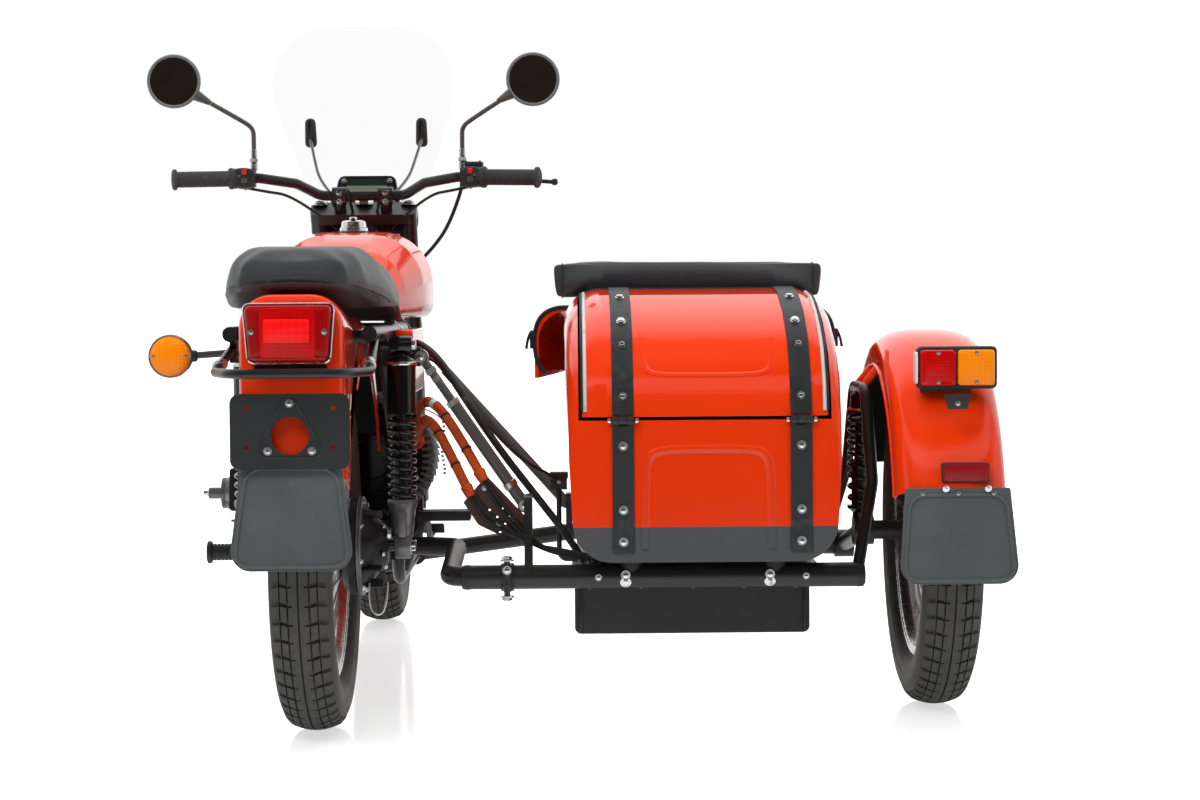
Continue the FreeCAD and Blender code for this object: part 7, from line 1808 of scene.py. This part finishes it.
def make_harness():
    """Corrugated conduits with ties and tag, their boots, plain tails and the brown plate."""
    upper = [(152, 394, 536), (164, 262, 566), (202, 132, 590), (258, 74, 516), (300, 44, 440)]
    lower = [(156, 394, 494), (166, 262, 528), (196, 128, 556), (238, 72, 488), (276, 44, 412)]
    conduit("conduit_upper", upper, ("conduits",))
    conduit("conduit_lower", lower)
    for name, route in (("upper", upper), ("lower", lower)):
        line = [(vertex.co - ORIGIN) / MM for vertex in path_mesh(route).vertices]
        for k, share in enumerate((0.42, 0.66, 0.86)):
            first, run = along(line, share)
            show(f"tie_{name}_{k}", rod(first - run * 2.2, first + run * 2.2, 10.2, 20, 0.6),
                 SOFT_BLACK)
        if name == "upper":
            first, run = along(line, 0.50)
            show("conduit_tag", rod(first, first + run * 15, 9.8, 20, 0.4), WHITE_PLASTIC)
        last = Vector(route[-1])
        run = (last - Vector(route[-2])).normalized()
        boot = rod(last - run * 24, last - run * 2, 11.5, 24, 2, 9.5)
        show("conduit_boot_" + name, boot, CONDUIT)
    tails = []
    for x, z, shift in ((276, 412, 0), (284, 416, 8), (300, 440, 4), (308, 436, 12)):
        tails.append(tube([(x, 42, z), (x + 18, 40, z - 44 + shift), (372 + shift * 2, 34, 334 - shift),
                           (430, 30, 306 + shift), (492, 24, 298 + shift * 0.6)], 3.4, 10))
    show("harness_tails", joined(*tails), SOFT_BLACK)
    dressed("harness_plate", BRONZE, ease=0.5)
    spots = [((x, 43.6, z), BACK, 4) for x, z in ((300, 428), (352, 372), (324, 360))]
    screws("harness_plate_screws", spots, ZINC)
    thick = [(158, 300, 690), (196, 214, 684), (262, 112, 590), (330, 100, 490), (402, 96, 398),
             (462, 90, 320), (490, 90, 270)]
    thin = [(158, 330, 664), (214, 244, 662), (290, 150, 552), (366, 150, 470), (420, 220, 438),
            (430, 300, 421)]
    show("hose_thick", tube(thick, 7, 16), SOFT_BLACK, replaces=("hoses",))
    show("hose_thin", tube(thin, 3.5, 12), SOFT_BLACK)


def make_bead_chain():
    """A small ball chain that hangs beside the motor."""
    links = []
    for i in range(13):
        drop = i * 8.2
        links.append(lathed([(-3.2, 0), (-2.2, 2.4), (0, 3.2), (2.2, 2.4), (3.2, 0)],
                            (212 + math.sin(i * 0.7) * 2.5, 300, 536 - drop), "Z", 10))
    hook = tube([(178, 280, 562), (196, 292, 556), (212, 300, 540)], 1.6, 8)
    show("bead_chain", joined(hook, *links), ZINC)


def make_boxes():
    """Locker, relay box, battery pack, mounts and drive shaft."""
    dressed("underfloor_locker", PLASTIC, ease=2.0)
    seams = [box(x - 1.2, x + 1.2, 52, 60.6, 160, 246, 0.6) for x in (474, 884)]
    show("locker_seams", joined(*seams), BLACK_FRAME, slot="black_plastic")
    screws("locker_screws", [((x, 54.5, 245.2), BACK, 3.4) for x in spread(490, 868, 5)], ZINC)
    dressed("relay_box", PLASTIC, ease=1.6)
    lid = stacked([(rounded(18, 6, 3), -1), (rounded(18, 6, 3), 36), (rounded(17, 5, 3), 37)],
                  (434, 318, 432))
    show("relay_lid", lid, SOFT_BLACK, slot="black_plastic")
    screws("relay_screw", [((434, 283.8, 420), BACK, 2.6)], CHROME)
    dressed("battery_pack", PLASTIC, ease=2.0)
    dressed("tub_mounts", SOFT_BLACK, ease=1.0)
    dressed("drive_shaft", ZINC, ease=0.6)
    gaiter = [(0, 0), (0, 10)]
    for i in range(5):
        gaiter += [(4 + i * 9, 19 - i * 1.2), (8.5 + i * 9, 14 - i)]
    gaiter += [(50, 10), (50, 0)]
    show("shaft_gaiter", lathed(gaiter, (83, 540, 320), "Y", 36), SOFT_BLACK)


make_shock("left", -122, 20)
make_shock("right", 154, 20)
make_sidecar_shock()
make_motor()
make_final_drive()
make_gear_case()
make_foot_controls()
make_frames()
make_harness()
make_bead_chain()
make_boxes()
make_wheel("rear", REAR_AXLE, "rear_wheel_spinning")
make_wheel("front", FRONT_AXLE, "front_wheel_spinning")
make_wheel("sidecar", SIDECAR_AXLE, "sidecar_wheel_spinning")


# Steering, controls and screen

PANEL_TILT = -32


def make_hand_controls():
    """Ribbed grips with end flanges, switch blocks with red keys, lever and reservoir."""
    for name, side in (("left", -1), ("right", 1)):
        end = Vector((side * 386, 869, 1033))
        inner = Vector((side * 215, 925, 1038))
        out = (end - inner).normalized()
        turn = Vector(RIGHT).rotation_difference(-out).to_matrix().to_4x4()
        profile = [(-8, 0), (-8, 19), (-6, 22.4), (-1, 22.8), (1, 20), (3, 17.4)]
        for i in range(17):
            x = 6 + i * 6.2
            profile += [(x, 16.4), (x + 0.9, 17.3), (x + 4.4, 17.3), (x + 5.3, 16.4)]
        profile += [(112, 17), (114, 21), (116, 23.2), (122, 23.2), (124, 21), (125, 0)]
        grip = turned(profile, Vector(), "X", 40)
        grip.transform(Matrix.Translation(at(*end)) @ turn)
        replaced = ("hand_controls",) if side < 0 else ()
        show("grip_" + name, grip, GRIP_RUBBER, "steering", replaces=replaced)
        ring = turned([(122, 15), (122, 21), (126, 22), (130, 22), (131, 15)], Vector(), "X", 40, True)
        ring.transform(Matrix.Translation(at(*end)) @ turn)
        show("grip_ring_" + name, ring, PLASTIC, "steering")
        case = stacked([(rounded(17, 18, 6), 0), (rounded(20.5, 21.5, 7), 3),
                        (rounded(21.5, 22.5, 8), 12), (rounded(21, 22, 8), 26),
                        (rounded(17, 18, 7), 40)], end - out * 131, (0, -side, 0), UP)
        show("switch_case_" + name, case, PLASTIC, "steering")
        middle = end - out * 150
        key = stacked([(rounded(6, 6, 2), 0), (rounded(6, 6, 2), 5), (rounded(5, 5, 2), 7)],
                      (middle.x, middle.y - 21, middle.z + 12), RIGHT, UP)
        show("switch_red_key_" + name, key, BUTTON_RED, "steering")
        rocker = stacked([(rounded(8, 7, 3), 0), (rounded(8, 7, 3), 4), (rounded(6, 5, 2), 7)],
                         (middle.x, middle.y - 21, middle.z - 6), RIGHT, UP)
        thumb = rod((middle.x + side * 10, middle.y - 20, middle.z + 3),
                    (middle.x + side * 10, middle.y - 30, middle.z + 3), 3.6, 16)
        show("switch_rockers_" + name, joined(rocker, thumb), GREY_TUBE, "steering",
             slot="black_plastic")
        spots = [((middle.x - side * 9, middle.y - 21.6, middle.z - 15), BACK, 2.6),
                 ((middle.x, middle.y, middle.z - 22.4), DOWN, 3)]
        screws("switch_screws_" + name, spots, ZINC, "steering", sides=12)
        wiring = tube([(middle.x, middle.y + 6, middle.z - 20), (side * 196, 934, 1008),
                       (side * 160, 962, 1004), (side * 104, 1010, 968), (side * 60, 1070, 930)],
                      3.2, 10)
        show("switch_wiring_" + name, wiring, SOFT_BLACK, "steering")
    make_brake_lever()


def make_brake_lever():
    lever = tube([(252, 940, 1030), (268, 948, 1031), (330, 936, 1031), (392, 918, 1028),
                  (421, 910, 1025)], 4.6, 14)
    ball = lathed([(-8, 0), (-6, 5.4), (0, 8), (6, 5.4), (8, 0)], (426, 909, 1025), "X", 24)
    perch = box(236, 262, 925, 952, 1020, 1042, 4)
    show("brake_lever", joined(lever, ball, perch), BLACK_FRAME, "steering")
    cup = stacked([(rounded(18, 18, 6), 0), (rounded(20, 20, 7), 4), (rounded(21, 21, 7), 22),
                   (rounded(22, 22, 6), 23), (rounded(22, 22, 6), 29), (rounded(20, 20, 6), 31)],
                  (249, 940, 1040), RIGHT, AHEAD)
    show("brake_reservoir", cup, PLASTIC, "steering")
    spots = [((249 + sx * 15, 940 + sy * 15, 1071), UP, 2.8) for sx in (-1, 1) for sy in (-1, 1)]
    spots += [((249, 924.5, 1031), BACK, 4)]
    screws("reservoir_screws", spots, CHROME, "steering", sides=12)
    bolt = rod((262, 944, 1020), (262, 944, 1044), 5, 16)
    show("lever_pivot", bolt, CHROME, "steering")


def make_mirrors():
    """Glass let into a rimmed shell, a tapered neck, a bent stem and its lock nuts."""
    for name, side in (("left", -1), ("right", 1)):
        place = (side * 382, 827, 1240)
        shell = lathed([(5, 50), (1, 50.6), (-0.6, 52.4), (-0.8, 54.6), (0.6, 56.6), (4, 57.4),
                        (10, 55.5), (16, 49), (20.5, 40), (22, 26), (22, 0), (5, 0)], place, "Y", 72)
        replaced = ("mirrors",) if side < 0 else ()
        show("mirror_shell_" + name, shell, RIM_GREY, "steering", replaces=replaced)
        glass = lathed([(4.2, 0), (3.4, 20), (2.6, 40), (2.0, 50.4), (4.6, 51)], place, "Y", 72)
        show("mirror_glass_" + name, glass, MIRROR, "steering")
        neck = rod((side * 338, 836, 1212), (side * 306, 842, 1194), 12.5, 28, 1.5, 5.6)
        stem = tube([(side * 226, 925, 1040), (side * 226, 925, 1118), (side * 226, 921, 1146),
                     (side * 250, 896, 1162), (side * 308, 858, 1195)], 5, 14)
        show("mirror_stem_" + name, joined(neck, stem), GREY_TUBE, "steering", slot="mirror_case")
        nuts = [rod((side * 226, 925, z), (side * 226, 925, z + h), r, n, 1)
                for z, h, r, n in ((1056, 14, 8, 20), (1072, 9, 9.5, 6), (1084, 16, 7, 20))]
        show("mirror_nuts_" + name, joined(*nuts), ZINC, "steering", crease=25)


def tipped(mesh, place, degrees):
    """Turn a mesh about a line along x through a millimetre place."""
    turn = Matrix.Rotation(math.radians(degrees), 4, "X")
    mesh.transform(Matrix.Translation(at(*place)) @ turn @ Matrix.Translation(-at(*place)))
    return mesh


def make_instruments():
    """A trapezoid case with a sunken display, its clear face, lamps and bolts."""
    place = (0, 1126, 1010)
    case = stacked([(rounded(78, 48, 12, 60), -34), (rounded(82, 52, 12, 64), -26),
                    (rounded(82, 52, 12, 64), -6), (rounded(79, 49, 12, 61), 0)], place)
    post = rod((0, 1120, 968), (0, 1160, 1004), 12, 24)
    show("panel_case", joined(tipped(case, place, PANEL_TILT), post), PLASTIC, "steering",
         replaces=("instrument_panel",))
    rim = stacked([(rounded(79.5, 49.5, 12, 61.5), -1), (rounded(79.5, 49.5, 12, 61.5), 2),
                   (rounded(74, 44, 10, 56), 3), (rounded(72, 42, 10, 54), -1)], place, ring=True)
    show("panel_rim", tipped(rim, place, PANEL_TILT), GLOSS_BLACK, "steering")
    glass = stacked([(rounded(73, 43, 10, 55), -1), (rounded(73, 43, 10, 55), 0.6),
                     (rounded(71, 41, 10, 53), 1.2)], place)
    show("panel_face", tipped(glass, place, PANEL_TILT), DIAL, "steering")
    window = stacked([(rounded(46, 11, 3), 0), (rounded(46, 11, 3), 1.8)], (0, 1126, 1022))
    show("panel_display", tipped(window, place, PANEL_TILT), DISPLAY, "steering")
    keys = [lathed([(0, 0), (0, 4), (-3.2, 3.6), (-3.8, 0)], (x, 1126, 986), "Y", 20)
            for x in (-44, -15, 15, 44)]
    show("panel_keys", tipped(joined(*keys), place, PANEL_TILT), SOFT_BLACK, "steering",
         slot="black_plastic")
    turn = Matrix.Rotation(math.radians(PANEL_TILT), 3, "X")
    spots = []
    for x in (-56, 56):
        for z in (-20, 34):
            local = Vector((x * (1.06 if z < 0 else 0.92), -3, z))
            spots.append((Vector(place) + turn @ local, turn @ Vector(BACK), 5.5))
    screws("panel_bolts", spots, CHROME, "steering", sides=20)


def screen_sheet():
    """A bowed sheet with round shoulders, leaned back about its lower edge."""
    bow, lean, foot = 330, math.radians(17), (1225, 985)
    height = 399 / math.cos(lean)
    shares = [0, 0.10, 0.22, 0.36, 0.50, 0.62, 0.72, 0.80, 0.86, 0.91, 0.95, 0.98, 1.0]
    halves = [120, 131, 147, 166, 185, 196, 200, 197, 188, 173, 152, 124, 92]
    columns = spread(-1, 1, 29)
    points = []
    for inside in (0, 4):
        for share, half in zip(shares, halves):
            for u in columns:
                x = half * u
                depth = math.sqrt((bow - inside) ** 2 - x * x) - bow
                rise = height * share
                y = foot[0] + depth * math.cos(lean) - rise * math.sin(lean)
                points.append(at(x, y, foot[1] + rise * math.cos(lean) + depth * math.sin(lean)))
    wide, rows = len(columns), len(shares)
    sheet = wide * rows
    faces = []
    for k in range(rows - 1):
        for i in range(wide - 1):
            a = k * wide + i
            faces.append([a, a + 1, a + wide + 1, a + wide])
            faces.append([sheet + a, sheet + a + wide, sheet + a + wide + 1, sheet + a + 1])
    border = list(range(wide))
    border += [k * wide + wide - 1 for k in range(1, rows)]
    border += [(rows - 1) * wide + i for i in range(wide - 2, -1, -1)]
    border += [k * wide for k in range(rows - 2, 0, -1)]
    for a, b in zip(border, border[1:] + border[:1]):
        faces.append([a, b, sheet + b, sheet + a])
    mesh = mesh_from(points, faces)
    outward(mesh)
    return mesh


def make_screen():
    """Clear sheet, bright stays and oval pads with screws in each."""
    show("shield_sheet", screen_sheet(), SHIELD, "steering", replaces=("windscreen",))
    skin = Skin(merged_copy("screen_stays"))
    for name, side in (("left", -1), ("right", 1)):
        place = (skin.hit((side * 125, 700, 1148), AHEAD) or [(side * 125, 1120, 1148)])[0]
        pad = stacked([(rounded(11, 30, 10, 9), -14), (rounded(13.5, 33, 12, 11.5), -9),
                       (rounded(13.5, 33, 12, 11.5), -3), (rounded(10, 29, 10, 8), 1)], tuple(place))
        replaced = ("screen_stays",) if side < 0 else ()
        show("stay_pad_" + name, tipped(pad, place, 15), PLASTIC, "steering", replaces=replaced)
        start = Vector((side * 66, 1027.8, 1003.2))
        end = Vector(place) + Vector((0, 2, -14))
        low = start.lerp(end, 0.30) + Vector((side * 13, 0, -6))
        middle = start.lerp(end, 0.62) + Vector((side * 9, 0, -4))
        stay = tube([start, low, middle, end], 3.5, 12)
        show("stay_" + name, stay, SATIN, "steering")
        screws("stay_screws_" + name, [(Vector(place) + Vector((0, -2, z)), (0, -1, 0.2), 2.8)
                                       for z in (-22, 18)], ZINC, "steering", sides=12)


def make_headlamp():
    """Black bowl, bright rim, glass and the two painted ears."""
    place = (0, 1178, 880)
    bowl = lathed([(0, 0), (0, 40), (6, 52), (30, 70), (70, 82), (112, 87), (122, 88), (122, 0)],
                  place, "Y", 80)
    show("headlamp_bowl", bowl, GLOSS_BLACK, "steering", slot="black_paint", replaces=("headlamp",))
    rim = lathed([(118, 84), (118, 88.6), (124, 90), (132, 88), (135, 82), (132, 79), (124, 80)], place,
                 "Y", 80, True)
    show("headlamp_rim", rim, CHROME, "steering")
    reflector = lathed([(60, 0), (62, 30), (80, 56), (110, 76), (126, 80), (126, 78), (112, 74),
                        (82, 54), (64, 29), (62, 0)], place, "Y", 64)
    show("headlamp_reflector", reflector, CHROME, "steering")
    bulb = lathed([(64, 0), (64, 10), (84, 12), (92, 9), (96, 0)], place, "Y", 28)
    show("headlamp_bulb", bulb, WHITE_PLASTIC, "steering")
    glass = lathed([(127, 0), (126.5, 40), (124, 80), (127, 80), (130.5, 40), (131.5, 0)],
                   place, "Y", 64)
    show("headlamp_glass", glass, CLEAR_GLASS, "steering")
    dressed("headlamp_ears", PAINT, "steering", ease=1.0)
    screws("headlamp_ear_bolts", [((s * 106, 1230, 880), (s, 0, 0), 8) for s in (-1, 1)],
           CHROME, "steering")


def make_shroud():
    """The dark case of wiring across the fork legs, under the instruments, and its cables."""
    case = stacked([(rounded(108, 30, 22), -30), (rounded(114, 34, 26), -24),
                    (rounded(118, 34, 26), 22), (rounded(110, 28, 22), 30)], (0, 1122, 955))
    show("wiring_case", case, PLASTIC, "steering")
    for k, (x, rise) in enumerate(((-48, 0), (-34, 5), (-20, 2), (26, 4), (42, 1))):
        route = [(x * 1.5, 1000, 1012 + rise), (x * 1.4, 1030, 985), (x, 1046, 958),
                 (x * 0.9, 1054, 930)]
        show(f"wiring_{k}", tube(route, 3.4, 10), SOFT_BLACK, "steering")


def make_front():
    """Fork, links, dampers, bar, hose and the details that sit on them."""
    for node in ("fork", "front_links", "handlebar"):
        dressed(node, BLACK_FRAME, "steering", ease=0.8)
    dressed("front_dampers", GLOSS_BLACK, "steering", slot="black_paint", ease=0.6)
    skin = Skin(merged_copy("handlebar"))
    spots = []
    for x in (-51, 51):
        for y in (966, 984):
            found = skin.hit((x, y, 1150), DOWN)
            if found:
                spots.append((found[0], UP, 4.6))
        for z in (990, 1009):
            found = skin.hit((x, 800, z), AHEAD)
            if found:
                spots.append((found[0], BACK, 6.6))
    screws("bar_clamp_bolts", spots, CHROME, "steering", sides=16)
    hose = [(225, 945, 1022), (205, 985, 962), (160, 1050, 890), (98, 1112, 838)]
    show("bar_hose_smooth", tube(hose, 4, 12), SOFT_BLACK, "steering", replaces=("bar_hose",))
    unions = [rod((225, 944, 1024), (222, 950, 1012), 5.6, 6, 1),
              rod((104, 1104, 843), (96, 1114, 836), 5.6, 6, 1)]
    show("hose_unions", joined(*unions), ZINC, "steering", crease=25)
    nut = lathed([(0, 0), (0, 20), (10, 20), (13, 17), (13, 9), (18, 8), (18, 0)],
                 tuple(yoke_top()), "Z", 6)
    show("steering_nut", nut, CHROME, "steering", crease=20)
    caps = []
    for x in (-98, 98):
        found = Skin(merged_copy("fork")).hit((x, yoke_top().y, 1200), DOWN)
        if found:
            dome = [(-1, 0), (-1, 17), (3, 17.5), (6, 16.5), (10, 12), (12, 6), (12.5, 0)]
            caps.append(lathed(dome, tuple(found[0]), "Z", 36))
    show("fork_caps", joined(*caps), CHROME, "steering")


def yoke_top():
    """The middle of the top yoke's upper face, found from above."""
    yoke = Skin(merged_copy("fork"))
    best = None
    for y in range(880, 1080, 10):
        found = yoke.hit((0, y, 1300), DOWN)
        if found and (best is None or found[0].z > best.z):
            best = found[0]
    return best


make_hand_controls()
make_mirrors()
make_instruments()
make_screen()
make_headlamp()
make_shroud()
make_front()


# Camera, light and floor

LENS = 72.9
CAMERA_PLACE = (464, -4375, 771)
FLOOR_Z = -0.0006
BACKDROP_GLOW = 1.25
STRIP_GLOW = 0.75
WALL_GLOW = 0.8
ROOM_GLOW = 0.045
FILL_GLOW = 0.30


def make_camera():
    """The photograph's own view, solved from the wheels and the frame."""
    data = bpy.data.cameras.new("camera")
    data.sensor_width = 36.0
    data.lens = LENS
    data.clip_end = 60.0
    yaw, pitch, roll = 0.0108, -0.0416, -0.0072
    forward = Vector((math.sin(yaw) * math.cos(pitch), math.cos(yaw) * math.cos(pitch),
                      math.sin(pitch)))
    level = Vector((math.cos(yaw), -math.sin(yaw), 0))
    upright = level.cross(forward)
    right = level * math.cos(roll) + upright * math.sin(roll)
    up = upright * math.cos(roll) - level * math.sin(roll)
    camera = bpy.data.objects.new("camera", data)
    axes = Matrix((right, up, -forward)).transposed().to_4x4()
    camera.matrix_world = Matrix.Translation(at(*CAMERA_PLACE)) @ axes
    bpy.context.scene.collection.objects.link(camera)
    bpy.context.scene.camera = camera


def make_lamp(name, place, target, size, power):
    data = bpy.data.lights.new(name, "AREA")
    data.shape = "RECTANGLE"
    data.size, data.size_y = size
    data.energy = power
    lamp = bpy.data.objects.new(name, data)
    lamp.location = place
    lamp.rotation_euler = (Vector(target) - Vector(place)).to_track_quat("-Z", "Y").to_euler()
    lamp.visible_glossy = False
    bpy.context.scene.collection.objects.link(lamp)


def make_world():
    """White where the camera and glass look, softer where it lights, banded for reflections."""
    world = bpy.data.worlds.new("studio")
    world.use_nodes = True
    bpy.context.scene.world = world
    tree = Tree()
    tree.nodes = world.node_tree.nodes
    tree.links = world.node_tree.links
    tree.nodes.clear()
    paths = tree.nodes.new("ShaderNodeLightPath")
    seen = Link(tree, paths.outputs["Is Camera Ray"])
    glass = Link(tree, paths.outputs["Is Transmission Ray"])
    glossy = Link(tree, paths.outputs["Is Glossy Ray"])
    way = tree.node("ShaderNodeTexCoord", output="Generated")
    split = tree.nodes.new("ShaderNodeSeparateXYZ")
    tree.links.new(way.socket, split.inputs[0])
    height = Link(tree, split.outputs[2])
    sideways = tree.maths("ABSOLUTE", Link(tree, split.outputs[0]))
    backdrop = tree.between(Link(tree, split.outputs[1]), 0.05, 0.40) * BACKDROP_GLOW
    strip = (tree.between(height, 0.60, 0.66) - tree.between(height, 0.74, 0.80)) * STRIP_GLOW
    walls = tree.between(sideways, 0.72, 0.90) * WALL_GLOW
    band = tree.maths("MAXIMUM", tree.maths("MAXIMUM", backdrop, strip), walls) + ROOM_GLOW
    white = tree.maths("MAXIMUM", seen, glass)
    level = tree.maths("MAXIMUM", white, glossy * band)
    level = tree.maths("MAXIMUM", level, (1 - glossy) * FILL_GLOW)
    shader = tree.node("ShaderNodeBackground", None, {"Color": (1, 1, 1), "Strength": level})
    leaving = tree.nodes.new("ShaderNodeOutputWorld")
    tree.links.new(shader.socket, leaving.inputs[0])


def make_floor():
    """A pale, slightly polished floor that keeps the shadow and a faint reflection."""
    mesh = mesh_from([(x, y, FLOOR_Z) for x, y in ((-30, -30), (30, -30), (30, 60), (-30, 60))],
                     [[0, 1, 2, 3]])
    floor = bpy.data.objects.new("studio_floor", mesh)
    bpy.context.scene.collection.objects.link(floor)
    f = Finish("studio_floor")
    paths = f.nodes.new("ShaderNodeLightPath")
    seen = Link(f, paths.outputs["Is Camera Ray"])
    glossy = Link(f, paths.outputs["Is Glossy Ray"])
    glass = Link(f, paths.outputs["Is Transmission Ray"])
    reach = f.maths("SQRT", f.axis(0) * f.axis(0) + f.axis(1) * f.axis(1))
    white = f.maths("MAXIMUM", seen, glass) * (0.62 + f.between(reach, 0.9, 2.6) * 0.40)
    near = glossy * (1 - f.between(reach, 1.0, 2.8)) * 0.45
    f.set(base_color=(0.86, 0.86, 0.86), roughness=0.09, specular_ior_level=0.55,
          emission_color=(1, 1, 1), emission_strength=f.maths("MAXIMUM", white, near))
    mesh.materials.append(f.material)


def make_studio():
    bpy.context.scene.view_settings.view_transform = "Standard"
    make_camera()
    make_world()
    make_floor()
    make_lamp("key", (-1.2, -3.6, 3.4), (0.2, -0.6, 0.5), (2.4, 1.6), 88)
    make_lamp("side", (3.6, -3.2, 2.0), (0, -0.2, 0.5), (1.6, 2.6), 20)
    make_lamp("top", (0.2, -0.4, 4.2), (0, 0, 0.4), (3.6, 3.6), 110)
    make_lamp("front", (-1.0, 4.6, 2.6), (0, 0.5, 0.6), (3.0, 2.0), 40)


make_studio()
